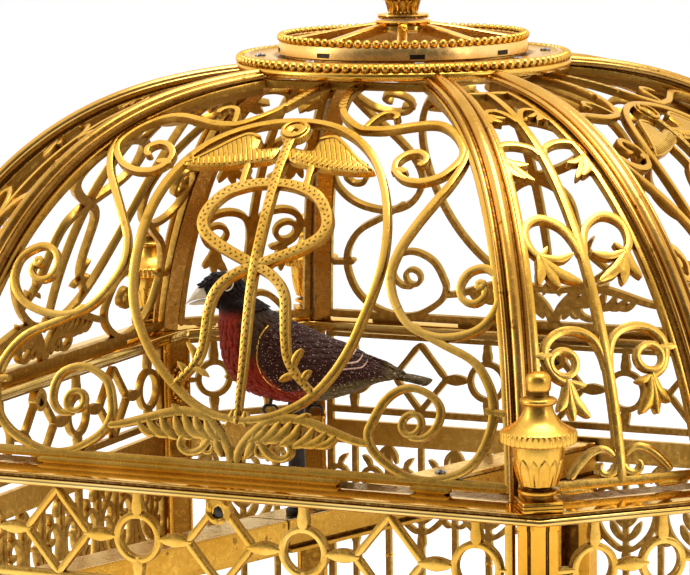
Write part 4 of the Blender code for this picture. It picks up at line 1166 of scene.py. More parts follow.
@dataclass
class WidePanel:
    """A wide dome panel: a hoop with a winged staff and two snakes, between scrolls."""

    shape: DomeShape
    low: float = 4.0
    high: float = 124.2
    band_inset: float = 3.2

    def frame(self) -> list[Stroke]:
        """Return the border: two side bands, a foot bar on short tabs and a top bar."""
        half = self.shape.half_width("wide")
        levels = np.linspace(self.low, self.high, 26)
        side = Stroke(tuple((half(s) - self.band_inset, s) for s in levels), (1.9,))
        base, top = half(5.1) - 3.0, half(self.high) - 3.0
        bars = [Stroke(((-base, 5.1), (0, 5.1), (base, 5.1)), (2.3,), straight=True, lift=0.02),
                Stroke(((-top, 123.5), (top, 123.5)), (1.9,), straight=True, lift=0.02)]
        tabs = [Stroke(((a, 3.5), (b, 3.5)), (1.9,), straight=True) for a, b in ((-48.5, 30.0), (48.0, 57.5))]
        return both([side]) + bars + tabs

    def scrolls(self) -> list[Stroke]:
        """Return the scrolls on one side, and their mirror images."""
        strand = Stroke(((4.5, 124), (5.2, 115), (7, 107), (8.2, 103.8)), (2.2, 2.3, 2.2, 2.0), Chase.BRAID)
        top = Stroke(((8.0, 104.2), (9.4, 101.6), (12, 98.5), (16, 95.4), (20, 95), (24, 95.5), (33, 98.2),
                      (38, 97), (43, 92), (45.6, 86), (43, 80.6), (39.5, 78.2), (36, 77.5), (32.6, 78.2),
                      (30, 80.6), (29.6, 83.6), (31.6, 86.2), (34.6, 86.9), (36.8, 85.2), (36.6, 83.3),
                      (35.2, 82.6)), (1.8, 1.9, 1.9, 1.9, 1.9, 1.8, 1.7, 1.6, 1.5))
        hook = Stroke(((17.5, 95.6), (18.2, 99), (19.6, 102), (21.9, 102.7), (23.7, 101.2), (23.4, 99.6)),
                      (1.5, 1.5, 1.4, 1.6))
        side = Stroke(((46.6, 88), (46.4, 83), (44.6, 77), (42, 72), (38.2, 65), (35.4, 58.5), (34.6, 52),
                       (37, 46), (41.5, 41.6), (48, 39.6), (55, 40.6), (60, 43.6), (62.8, 48.5), (62.2, 54),
                       (58, 57.2), (54, 56.2), (52.3, 52.6), (53.6, 49.4), (56.6, 48.6), (58.8, 50.4),
                       (58.6, 52.6)), (1.6, 1.9, 1.9, 1.9, 1.9, 1.9, 1.8, 1.6, 1.5))
        lower = Stroke(((42.5, 42), (46, 39.8), (50, 37.3), (57, 33.4), (61, 29.5), (63.6, 24.5), (64.1, 19),
                        (62.2, 12.8), (57.6, 8.2), (50.5, 5.6), (44, 5.8), (38.6, 8.2), (34.6, 11.4),
                        (33.1, 14.9), (33.6, 17.8), (35.6, 22.5), (39, 25.2), (43, 26.1), (47.5, 24.5),
                        (49.7, 21.4), (49.4, 17.5), (47, 15), (43.5, 14.8)),
                       (1.6, 1.9, 2.0, 1.9, 1.9, 1.9, 1.8, 1.7, 1.5))
        curl = Stroke(ring_points((43.3, 17.8), 2.4, 2.4, 14), (1.4,), closed=True, lift=0.03)
        ball = Stroke(ring_points((57.4, 52.9), 0.75, 0.75, 10), (1.6,), closed=True, lift=0.25)
        link = Stroke(((29.0, 80.2), (31.0, 80.8), (33, 80.4)), (1.6,))
        stay = Stroke(((61.5, 22.2), (64, 21.8), (69.0, 21.6)), (1.9, 1.7, 1.9), lift=0.03)
        return both([strand, top, hook, side, lower, curl, ball, link, stay])

    def acanthus(self) -> list[Stroke]:
        """Return the leaves that branch from the foot of the staff, for both sides."""
        stem = Stroke(((0.9, 6.2), (1.0, 8), (2.6, 11), (5.3, 13.9), (8.3, 16.3), (13.3, 17.1), (18.2, 16.5),
                       (28.6, 13.5), (33.4, 12.6)), (2.4, 2.6, 2.6, 2.5, 2.4, 2.3, 2.2, 2.0, 1.7), lift=0.05)
        lobes = [leaf_lobe((25.8, 14.2), (20.6, 11.0), 2.0, 0.7),
                 leaf_lobe((23.2, 14.7), (17.2, 11.0), 2.3, 0.9),
                 leaf_lobe((19.7, 15.4), (14.8, 10.6), 2.4, 0.9),
                 leaf_lobe((16.2, 16.0), (11.6, 10.8), 2.6, 1.0),
                 leaf_lobe((14.0, 16.4), (7.8, 11.4), 2.8, 1.1),
                 leaf_lobe((11.0, 16.2), (5.4, 10.8), 2.9, 1.1),
                 leaf_lobe((8.0, 15.4), (3.4, 11.0), 2.6, 0.9), leaf_lobe((4.8, 13.6), (3.0, 7.2), 2.6, 0.6),
                 leaf_lobe((2.6, 14.4), (1.6, 18.2), 1.5, 0.3),
                 leaf_lobe((14.0, 17.0), (17.6, 18.6), 1.6, -0.4)]
        curl = Stroke(((5.6, 12.6), (8.6, 8.6), (11.8, 7.6), (14.2, 9.0), (13.6, 11.2), (11.6, 11.0)),
                      (2.2, 2.0, 1.7, 1.5, 1.3), lift=0.07)
        return both([stem, curl] + lobes)

    def snakes(self) -> list[Stroke]:
        """Return the two snakes that cross on the staff, and their links to the hoop."""
        path = ((-0.5, 75.3), (3, 75.2), (7, 74.4), (11.5, 72.4), (14.8, 68.6), (16.2, 64.4), (14.8, 60.8),
                (10.3, 57.6), (5, 55.1), (0, 53), (-4.4, 50.9), (-7.6, 48.2), (-9.3, 45), (-10, 40.5),
                (-10.4, 35.5), (-11.2, 31), (-13.3, 27.6), (-16, 24.9), (-18.4, 22.8))
        snake = Stroke(path, (2.4, 2.9, 3.0, 2.9, 2.7, 2.5, 2.3, 2.0, 1.5), Chase.SCALES, lift=0.16)
        hooks = [leaf_lobe((-12.6, 28.8), (-14.8, 33.4), 1.4, -0.5),
                 leaf_lobe((-13.8, 27.4), (-9.4, 25.6), 1.4, 0.5),
                 leaf_lobe((-15.2, 25.9), (-17.0, 28.6), 1.2, -0.3)]
        return both([snake] + hooks)

    def staff(self) -> list[Stroke]:
        """Return the staff and the stubs that tie the wings to the snakes."""
        rod = Stroke(((0, 15.0), (0, 30), (0, 50), (0, 70), (0, 92)), (1.5, 2.2, 2.4, 2.6, 2.7), Chase.SCALES,
                     lift=0.3)
        stub = Stroke(((8.4, 73.6), (8.4, 77), (8.4, 80.8)), (1.9, 1.6, 1.9))
        return [rod] + both([stub])

    def wing_cuts(self) -> list[Stroke]:
        """Return the raised edge, the long dots and the slanted barbs on one wing."""
        edge = Stroke(((7.9, 89.6), (9.5, 90.4), (11.6, 90.6), (13.4, 89.4), (15.4, 87.7), (17.4, 85.7),
                       (19.6, 83.7), (22.2, 81.5), (24.6, 80.2)), (0.8, 0.9, 0.9, 0.9, 0.8, 0.7, 0.5),
                      lift=0.42)
        barbs = []
        for k in range(15):
            u = 3.2 + 1.35 * k
            foot = float(np.interp(u, (2.4, 7.4, 13.0, 17.0, 21.5, 25.3),
                                   (82.4, 81.0, 79.9, 79.5, 79.3, 80.0)))
            barbs.append(Stroke(((u, foot + 0.5), (u + 0.9, foot + 2.6)), (0.9, 0.7), straight=True,
                                lift=0.40))
        dots = []
        for u, s in ((9.6, 88.4), (11.4, 88.8), (11.0, 86.8), (13.0, 87.2), (9.2, 86.2), (12.6, 85.2),
                     (14.8, 85.6), (16.4, 84.2), (10.8, 84.6), (14.6, 83.6), (18.2, 82.8), (8.4, 84.2)):
            dots.append(Stroke(((u, s - 0.5), (u + 0.3, s + 0.5)), (0.45, 0.55, 0.3), lift=0.30))
        return both([edge] + barbs + dots)

    def wing(self, side: int) -> list[Pair]:
        """Return the outline of one wing."""
        outline = [(1.6, 86.2), (3.4, 86.3), (5.6, 85.9), (7.4, 86.1), (7.6, 87.6), (7.9, 89.3), (9.4, 90.8),
                   (11.6, 91.2), (13.6, 89.9), (15.6, 88.2), (17.6, 86.2), (19.8, 84.2), (22.4, 82.0),
                   (25.3, 80.0), (21.5, 79.3), (17, 79.5), (13, 79.9), (7.4, 81.0), (2.4, 82.4)]
        return [(side * u, s) for u, s in outline]

    def leaned(self, points: Sequence[Pair], lean: float) -> tuple[Pair, ...]:
        """Return points moved aside as on the front panel, whose figures lean towards its right foot."""
        moved = []
        for u, s in points:
            aside = float(np.interp(s, (0, 14, 22, 42, 58, 88), (3.3, 3.3, 4.2, 2.0, 2.0, 0.0)))
            aside *= float(np.interp(abs(u), (58, 70), (1.0, 0.3)))
            sink = 2.0 * float(np.interp(abs(u), (36, 46), (0, 1))
                               * np.interp(s, (34, 42, 60, 72), (0, 1, 1, 0)))
            moved.append((u + lean * aside, s - lean * sink))
        return tuple(moved)

    def mesh(self, lean: float) -> bpy.types.Mesh:
        """Build the whole panel, facing -Y.

        Args:
            lean: 1 gives the front panel's leaning figures.

        Returns:
            The panel's mesh.
        """
        sheet = self.shape.sheet("wide")
        maker = pierced_maker()
        hoop = Stroke(ring_points((0, 56.6), 32, 40.6, 48), (1.9,), closed=True, lift=0.10)
        inner = self.scrolls() + self.acanthus() + [hoop] + self.snakes() + self.staff()
        inner += [Stroke(ring_points((side * 7.0, 9.4), 1.5, 1.5, 12), (1.0,), closed=True)
                  for side in (-1, 1)]
        strokes = self.frame() + [replace(stroke, points=self.leaned(stroke.points, lean))
                                  for stroke in inner]
        lay_strips(maker, sheet, strokes + self.wing_cuts())
        for side in (-1, 1):
            lay_plate(maker, sheet, self.wing(side), 1.02, slot=3, crown=0.35)
        lay_plate(maker, sheet, ring_points((0, 92.9), 3.7, 3.7, 16), 1.25, 2.2, crown=0.25,
                  hole=ring_points((0, 92.9), 0.8, 0.8, 8))
        lay_strip(maker, sheet, Stroke(ring_points((0, 92.9), 2.9, 2.9, 16), (0.9,), closed=True), 1.85, 0.3)
        return maker.mesh("wide_panel")

    def build(self) -> None:
        """Place the leaning panel in front and the plain one on the other wide sides."""
        for names, lean in ((QUARTERS[:1], 1.0), (QUARTERS[1:], 0.0)):
            place_round(self.mesh(lean), names, "pierced_panel_{}", "gilt_brass", "dome_panel_{}")


@dataclass
class NarrowPanel:
    """A narrow dome panel: a stem with pairs of scrolls that end in leaves."""

    shape: DomeShape
    low: float = 4.0
    high: float = 124.2
    band_inset: float = 4.2

    def frame(self) -> list[Stroke]:
        """Return the border and the stem."""
        half = self.shape.half_width("narrow")
        levels = np.linspace(self.low, self.high, 26)
        side = Stroke(tuple((half(s) - self.band_inset, s) for s in levels), (1.8,))
        base, top = half(5.1) - 3.9, half(self.high) - 3.9
        bars = [Stroke(((-base, 5.1), (base, 5.1)), (2.3,), straight=True, lift=0.02),
                Stroke(((-top, 123.5), (top, 123.5)), (1.9,), straight=True, lift=0.02)]
        tabs = [Stroke(((u - 3, 3.7), (u + 3, 3.7)), (1.3,), straight=True) for u in (-12, 12)]
        stem = Stroke(tuple((0.0, float(s)) for s in np.linspace(5, 123.5, 14)), (2.6, 2.4, 2.2, 2.0, 1.7),
                      lift=0.1)
        return both([side]) + bars + tabs + [stem]

    def tiers(self) -> list[Stroke]:
        """Return the pairs of scrolls, from the top down."""
        top = [Stroke(((0.4, 103.4), (1.2, 106.4), (2.6, 109.4), (4.6, 110.6), (6.6, 109.4), (6.9, 107)),
                      (1.3, 1.6, 1.6, 1.3)),
               leaf_lobe((6.9, 108.2), (4.6, 103.6), 1.9, 0.5),
               leaf_lobe((6.9, 107.6), (7.6, 103.4), 1.5, -0.3),
               leaf_lobe((6.2, 108), (2.9, 105.6), 1.3, 0.3)]
        second = [Stroke(((0.4, 88.6), (1.4, 91.4), (3.4, 93.1), (6, 94.0), (8.8, 93.7), (10.9, 91.8),
                          (11.3, 89.2), (10.2, 87.0)), (1.4, 1.8, 1.9, 1.8, 1.5)),
                  leaf_lobe((10.6, 88.4), (7.4, 81.0), 2.4, 0.9),
                  leaf_lobe((10.4, 88.0), (5.0, 85.6), 1.9, 0.6),
                  leaf_lobe((10.6, 88.4), (11.7, 80.4), 2.2, -0.5),
                  leaf_lobe((9.0, 86.4), (5.4, 80.2), 1.7, 0.4)]
        third = [Stroke(((0.4, 58.0), (1.2, 62), (2.6, 65.4), (4.8, 67.6), (7.6, 68.9), (10.4, 68.2),
                         (12.5, 65.8), (12.8, 62.4), (11.7, 59.4), (9.6, 58.2)), (1.5, 1.9, 2.0, 2.0, 1.6)),
                 leaf_lobe((10.8, 58.8), (8.4, 60.9), 1.2, 0.2),
                 leaf_lobe((11.2, 59.0), (12.9, 51.6), 2.3, -0.7),
                 leaf_lobe((10.6, 58.6), (2.4, 58.8), 2.0, 1.1),
                 leaf_lobe((10.6, 58.2), (2.3, 51.4), 2.6, 0.9),
                 leaf_lobe((10.4, 58.4), (8.0, 50.4), 2.6, 0.2)]
        fourth = [Stroke(((0.4, 30), (0.9, 34), (2.4, 37.6), (5.2, 39.6), (9, 40.1), (12.4, 39.0),
                          (14.7, 36.4), (14.9, 33.2), (13.7, 30.1), (11.4, 28.3), (8.9, 27.6)),
                         (1.6, 2.0, 2.1, 2.1, 1.8, 1.5)),
                  Stroke(ring_points((10.8, 32.6), 3.2, 3.0, 16), (1.6,), closed=True, lift=0.02),
                  leaf_lobe((10.6, 28.8), (13.8, 21.8), 2.6, -0.9),
                  leaf_lobe((10.2, 28.4), (6.2, 27.2), 1.8, 0.4),
                  leaf_lobe((10.2, 28.4), (6.4, 19.8), 2.8, 1.1),
                  leaf_lobe((10.4, 28.4), (10.4, 19.4), 2.6, 0.2)]
        foot = [Stroke(((1.4, 10.8), (3, 12.2), (4.9, 12.6), (7.6, 11.6), (10.4, 9.2), (12.6, 6.6)),
                       (1.4, 1.8, 1.9, 1.7)),
                Stroke(((0.6, 9.0), (1.6, 7.4), (3.2, 6.7), (4.7, 7.2), (5.2, 8.6), (4.4, 9.4)),
                       (1.9, 1.7, 1.5, 1.2)),
                Stroke(((13.4, 34.6), (17.6, 34.6)), (2.0,), straight=True, lift=0.03)]
        return both(top + second + third + fourth + foot)

    def build(self) -> None:
        """Build the panel and place it on the four narrow sides."""
        sheet = self.shape.sheet("narrow")
        maker = pierced_maker()
        lay_strips(maker, sheet, self.frame() + self.tiers())
        place_round(maker.mesh("narrow_panel"), CORNERS, "pierced_panel_{}", "gilt_brass", "dome_panel_{}")


@dataclass
class Ribs:
    """The eight moulded ribs: a bead between two reeds, on a narrower stem."""

    shape: DomeShape
    foot: float = LEDGE + 0.3
    crown_radius: float = 43.3
    stations: int = 80

    def section(self) -> list[Triple]:
        """Return the rib's section as sideways, outward and hollow values."""
        right = [(2.3, -6.5, 0.5), (2.3, -2.5, 0.9), (2.9, -2.35, 0.6), (3.3, -2.1, 0.2)]
        right += arc((2.72, -1.5), 0.62, -20, 150, 0.0, 0.35)
        right += [(1.95, -1.55, 1.0), (1.6, -1.5, 1.0)]
        right += arc((0.0, -1.35), 1.52, 4, 90, 0.0, 0.0)
        return mirrored_section(right)

    def build(self) -> None:
        """Build both hands of the rib and place them at the corners."""
        outer = self.shape.columns(0.0)
        first = float(np.interp(self.foot, outer["level"], outer["narrow_s"]))
        last = float(outer["narrow_s"][np.argmax(outer["radius"] < self.crown_radius + 0.5)])
        s = np.linspace(first, last, self.stations + 1)
        along = np.interp(s, outer["narrow_s"], outer["narrow"])
        half = np.interp(s, outer["narrow_s"], outer["narrow_half"])
        level = np.interp(s, outer["narrow_s"], outer["level"])
        for side, hand in ((-1, "a"), (1, "b")):
            path = np.column_stack([side * half, -along, level])
            sideways = np.array([math.cos(self.shape.half_angle), side * math.sin(self.shape.half_angle),
                                 0.0])
            ahead = np.gradient(path, axis=0)
            ahead[0] = UP
            ahead = unit(ahead)
            across = unit(sideways - ahead * (ahead @ sideways)[:, None])
            outward = np.cross(across, ahead)
            outward *= np.where(outward[:, 1:2] > 0, -1.0, 1.0)
            maker = MeshMaker(Finish.RIB)
            sweep(maker, path, across, outward, self.section())
            place_round(maker.mesh("rib"), CORNERS, "moulded_rib_{}_" + hand, "rib_brass",
                        "dome_rib_{}_" + hand)


def around(radius: float, level: float, count: int, first: float = 0.0) -> tuple[Array, Array]:
    """Return points on a level circle about the axis and their directions away from it."""
    angles = first + full_turn(count)
    away = np.column_stack([np.cos(angles), np.sin(angles), np.zeros(count)])
    return away * radius + UP * level, away


def screw_shape() -> bpy.types.Mesh:
    """Mesh of a slotted screw head of 1 mm radius, half sunk in its place."""
    maker = MeshMaker(Finish.STEEL)
    profile = [(1.25, -0.4, 1.0), (1.12, 0.02, 1.0), (1.02, -0.1, 1.0), (1.0, 0.2, 0.2), (0.9, 0.34, 0.0)]
    lathe(maker, profile, 20)
    # Painted shade: the slot's walls and floor carry high hollow values, so the steel finish paints them
    # dark.
    for side in (-1, 1):
        half = [polar((0, 0), 0.9, angle) for angle in np.radians(np.linspace(-78, 78, 9))]
        rows = [[(side * x, y, 0.34) for x, y in half], [(side * 0.17, y, 0.42) for _, y in half],
                [(side * 0.15, y, 0.1) for _, y in half]]
        maker.grid(rows, hollow=np.array([[0.0], [0.2], [1.0]]))
    maker.add([(-0.16, -0.9, 0.1), (0.16, -0.9, 0.1), (0.16, 0.9, 0.1), (-0.16, 0.9, 0.1)], [(0, 1, 2, 3)],
              1.0)
    return maker.mesh("screw", 40)


@dataclass
class Crown:
    """The crown ring, the open lantern on it and the top finial."""

    repeater: Repeater
    ring_radius: float = 43.3
    low: float = 89.0
    beads: int = 104
    lantern_radius: float = 32.2
    lantern_beads: int = 82
    hub_top: float = 101.5

    def build_ring(self) -> None:
        """Build the beaded ring that holds the ribs' upper ends."""
        r, z = self.ring_radius, self.low
        profile = [(30.4, z, 0.6), (r - 1.6, z, 0.6), (r - 0.7, z + 0.15, 0.2), (r - 0.15, z + 0.6, 0.0),
                   (r, z + 1.2, 0.0), (r - 0.1, z + 1.9, 0.0), (r - 0.5, z + 2.2, 0.5),
                   (r - 1.3, z + 2.4, 1.0), (r - 1.6, z + 3.0, 0.9), (r - 1.9, z + 3.7, 0.4),
                   (r - 2.6, z + 4.2, 0.1), (r - 3.3, z + 4.3, 0.0), (r - 3.8, z + 3.95, 0.5),
                   (r - 4.2, z + 3.75, 0.3), (34.5, z + 3.8, 0.0), (33.2, z + 3.7, 0.6), (32.9, z + 3.5, 0.9),
                   (30.6, z + 3.6, 0.2), (30.0, z + 3.4, 0.2), (30.0, z + 0.4, 0.5)]
        maker = MeshMaker(Finish.GILT)
        lathe(maker, profile, 208, closed=True, rise=CORNICE)
        ring = add_object("ring_body", maker.mesh("ring", 50))
        spots, away = around(r - 1.25, z + 3.15 + CORNICE, self.beads)
        up = away * 0.75 + UP * 0.66
        beads = self.repeater.run("beads", dome_shape(1.24, 1.24, 9, 4), spots, up, np.cross(up, away),
                                  Finish.GILT)
        spots, away = around(36.9, z + 3.85 + CORNICE, 8, math.pi / 8 + 0.12)
        screws = self.repeater.run("screws", screw_shape(), spots, UP, away, Finish.STEEL, 1.3)
        settle(join("beaded_crown", ring, beads, screws), "cage", "gilt_brass", "crown_ring")

    def build_lantern(self) -> None:
        """Build the open lantern: a beaded band, eight rising bars and the hub."""
        r, low, high = self.lantern_radius, 93.1 + CORNICE, 97.4 + CORNICE
        outer = [(r - 0.3, low, 0.8), (r, low + 0.25, 0.2), (r - 0.05, low + 1.6, 0.0),
                 (r - 0.2, high - 1.2, 0.0), (r - 0.55, high - 0.75, 0.9), (r - 0.9, high - 0.35, 0.7),
                 (r - 1.6, high - 0.2, 0.3), (r - 2.0, high - 0.5, 0.2), (r - 2.0, low, 0.5)]
        maker = MeshMaker(Finish.COPPERY, Finish.POLISHED, Finish.DARK_STEEL)
        lathe(maker, outer, 192, closed=True)
        hub = [(0.0, -3.3, 0.4), (5.0, -3.3, 0.4), (6.9, -3.0, 0.5), (7.5, -2.4, 0.1), (7.4, -1.5, 0.0),
               (6.7, -1.2, 0.9), (6.8, -0.9, 0.4), (7.2, -0.5, 0.0), (6.9, 0.0, 0.0), (0.0, 0.0, 0.1)]
        lathe(maker, hub, 64, slot=1, rise=self.hub_top + CORNICE)
        self.bars(maker)
        self.slots(maker, r, low)
        body = add_object("lantern_body", maker.mesh("lantern", 40, WELD))
        spots, away = around(r - 0.75, high, self.lantern_beads)
        up = away * 0.6 + UP * 0.8
        beads = self.repeater.run("lantern_beads", dome_shape(1.1, 1.1, 8, 4), spots, up, np.cross(up, away),
                                  Finish.GILT)
        settle(join("open_lantern", body, beads), "cage", "polished_brass", "lantern")

    def bars(self, maker: MeshMaker) -> None:
        """Add the eight bars that rise from the band to the hub."""
        inner, outer = 6.6, 31.0
        radii = np.linspace(inner, outer, 16)
        share = (radii - inner) / (outer - inner)
        top = 96.9 + 3.9 * (0.175 * (1 + np.cos(share * math.pi)) + 0.65 * (1 - share)) + CORNICE
        half = [(-1.3, -2.4, 0.4), (-1.3, -0.35, 0.15), (-0.95, -0.02, 0.0), (0.0, 0.05, 0.0)]
        for away in around(1.0, 0.0, 8, math.pi / 8)[1]:
            path = away * radii[:, None] + UP * top[:, None]
            sweep(maker, path, np.cross(UP, away), UP, mirrored_section(half), 1)

    def slots(self, maker: MeshMaker, radius: float, low: float) -> None:
        """Add eight dark steel boxes in the band, painted shade of its slots, which are not cut.

        Args:
            maker: where the faces go.
            radius: the band's outer radius.
            low: level of the band's lower edge.
        """
        # Painted shade: each box stands for the shade inside a slot.
        for angle in math.pi / 8 + math.radians(7) + full_turn(8):
            out = np.array([math.cos(angle), math.sin(angle), 0.0])
            corners = [out * depth + np.cross(UP, out) * aside + UP * (low + level)
                       for depth in (radius - 0.5, radius + 0.06)
                       for aside, level in ((-1.9, 0.55), (1.9, 0.55), (1.9, 1.75), (-1.9, 1.75))]
            faces = [(0, 1, 2, 3), (4, 5, 6, 7), (0, 1, 5, 4), (1, 2, 6, 5), (2, 3, 7, 6), (3, 0, 4, 7)]
            maker.add(corners, faces, 0.3, slot=2)

    def build_finial(self) -> None:
        """Build the finial with its leaf cup, bulb, ball and spire."""
        base = [(0, 101.8, 0.3), (6.2, 101.8, 0.3), (6.65, 102.0, 0.0), (6.7, 102.25, 0.0),
                (6.3, 102.38, 0.9), (6.3, 102.48, 0.9), (6.7, 102.62, 0.0), (6.55, 102.95, 0.0),
                (5.6, 103.1, 0.0), (3.3, 103.15, 0.5)]
        rest = [(3.2, 103.5, 0.6), (2.9, 104.6, 0.4), (3.3, 106.0, 0.4), (4.4, 107.8, 0.4), (5.4, 109.6, 0.2),
                (5.7, 111.2, 0.0), (5.2, 112.9, 0.0), (3.8, 114.7, 0.1), (2.4, 116.2, 0.3), (1.8, 117.4, 0.7),
                (2.5, 118.0, 0.2), (2.6, 118.5, 0.1), (2.0, 118.9, 0.7), (3.0, 120.0, 0.1), (3.9, 121.5, 0.0),
                (4.2, 123.1, 0.0), (3.8, 124.8, 0.0), (2.6, 126.3, 0.1), (1.6, 127.1, 0.6), (1.9, 127.8, 0.1),
                (1.5, 128.8, 0.1), (1.3, 130.5, 0.0), (1.1, 133.0, 0.0), (0.7, 135.6, 0.0), (0.0, 137.0, 0.0)]
        profile = base + [tuple(row) for row in smooth_line(rest, 0.5)]

        def gadroons(angle: Array, index: Array) -> Array:
            """Lobes round the bulb and the ball."""
            level = np.array([p[1] for p in profile])[index]
            swell = np.clip(1 - np.abs(level - 112.5) / 3.5, 0, 1) * 0.34
            swell = swell + np.clip(1 - np.abs(level - 123.4) / 3.0, 0, 1) * 0.2
            return swell * (np.abs(np.cos(angle * 8)) - 0.6)

        maker = MeshMaker(Finish.POLISHED)
        lathe(maker, profile, ripple=gadroons, rise=CORNICE)
        pieces = [add_object("finial_body", maker.mesh("finial", 50, WELD))]
        for radius, level, size, turn in ((3.0, 103.3, 1.0, 0.0), (2.9, 103.2, 0.8, math.pi / 8)):
            spots, away = around(radius, level + CORNICE, 8, turn)
            pieces.append(self.repeater.run("cup", leaf_shape(), spots, away, UP, Finish.GILT, size))
        settle(join("leafy_finial", *pieces), "cage", "polished_brass", "top_finial")

    def build(self) -> None:
        """Build all three."""
        self.build_ring()
        self.build_lantern()
        self.build_finial()


def leaf_shares(rows: int, columns: int) -> tuple[Array, Array]:
    """Return shares along a leaf, from its root, and across it, from -1 to 1."""
    return np.linspace(0, 1, rows)[:, None], np.linspace(-1, 1, columns)[None, :]


def leaf_shape() -> bpy.types.Mesh:
    """Mesh of a small acanthus leaf that rises along X, leans back along Z and curls over at its tip."""
    maker = MeshMaker(Finish.GILT)
    t, v = leaf_shares(13, 9)
    lobes = 0.16 * np.abs(np.sin(t * math.pi * 3.5))
    half = ((0.9 + 1.5 * np.sin(math.pi * np.clip(t * 0.85 + 0.1, 0, 1)) ** 0.8 + lobes)
            * np.sqrt(1.02 - t ** 4))
    rise = 5.2 * t - 15.6 * np.clip(t - 0.72, 0, 1) ** 2
    back = 0.35 + 2.5 * t ** 2.2
    z = (back + 0.28 * np.abs(v) ** 2 * (1 - t) - 0.25 * np.exp(-(v / 0.12) ** 2)
         + 0.18 * np.cos(v * math.pi * 3))
    front = stacked(rise, half * v, z)
    hollow = np.clip(0.9 * np.exp(-(v / 0.14) ** 2) + 0.35 * (1 + np.cos(v * math.pi * 3 + math.pi)) / 2,
                     0, 1)
    maker.shell(front, front - UP * 0.5, hollow, 0.6)
    return maker.mesh("leaf", 50)


@dataclass
class Cornice:
    """The polished ledge round the foot of the dome."""

    inner: float = 18.8

    def build(self) -> None:
        """Build the ledge with its roll, groove and fillet."""
        profile = [(1.2, 0.0, 0.5), (0.9, 0.05, 0.2), (0.25, 0.35, 0.0), (0.0, 0.95, 0.0), (0.25, 1.5, 0.0),
                   (0.75, 1.78, 0.5), (1.05, 1.88, 1.0), (1.05, 2.42, 1.0), (0.6, 2.5, 0.5), (0.5, 2.62, 0.0),
                   (0.8, 2.78, 0.0), (1.5, 2.82, 0.0), (5.0, 2.88, 0.0), (10.0, 2.86, 0.0),
                   (self.inner - 0.4, 2.8, 0.0), (self.inner, 2.4, 0.1), (self.inner, 0.2, 0.4),
                   (self.inner - 0.3, 0.0, 0.4), (8.0, 0.0, 0.4)]
        maker = MeshMaker(Finish.LEDGE)
        octagon_moulding(maker, [(a, b + CORNICE, h) for a, b, h in profile], 16)
        settle(add_object("ledge_moulding", maker.mesh("cornice", 55)), "cage", "polished_brass", "cornice")


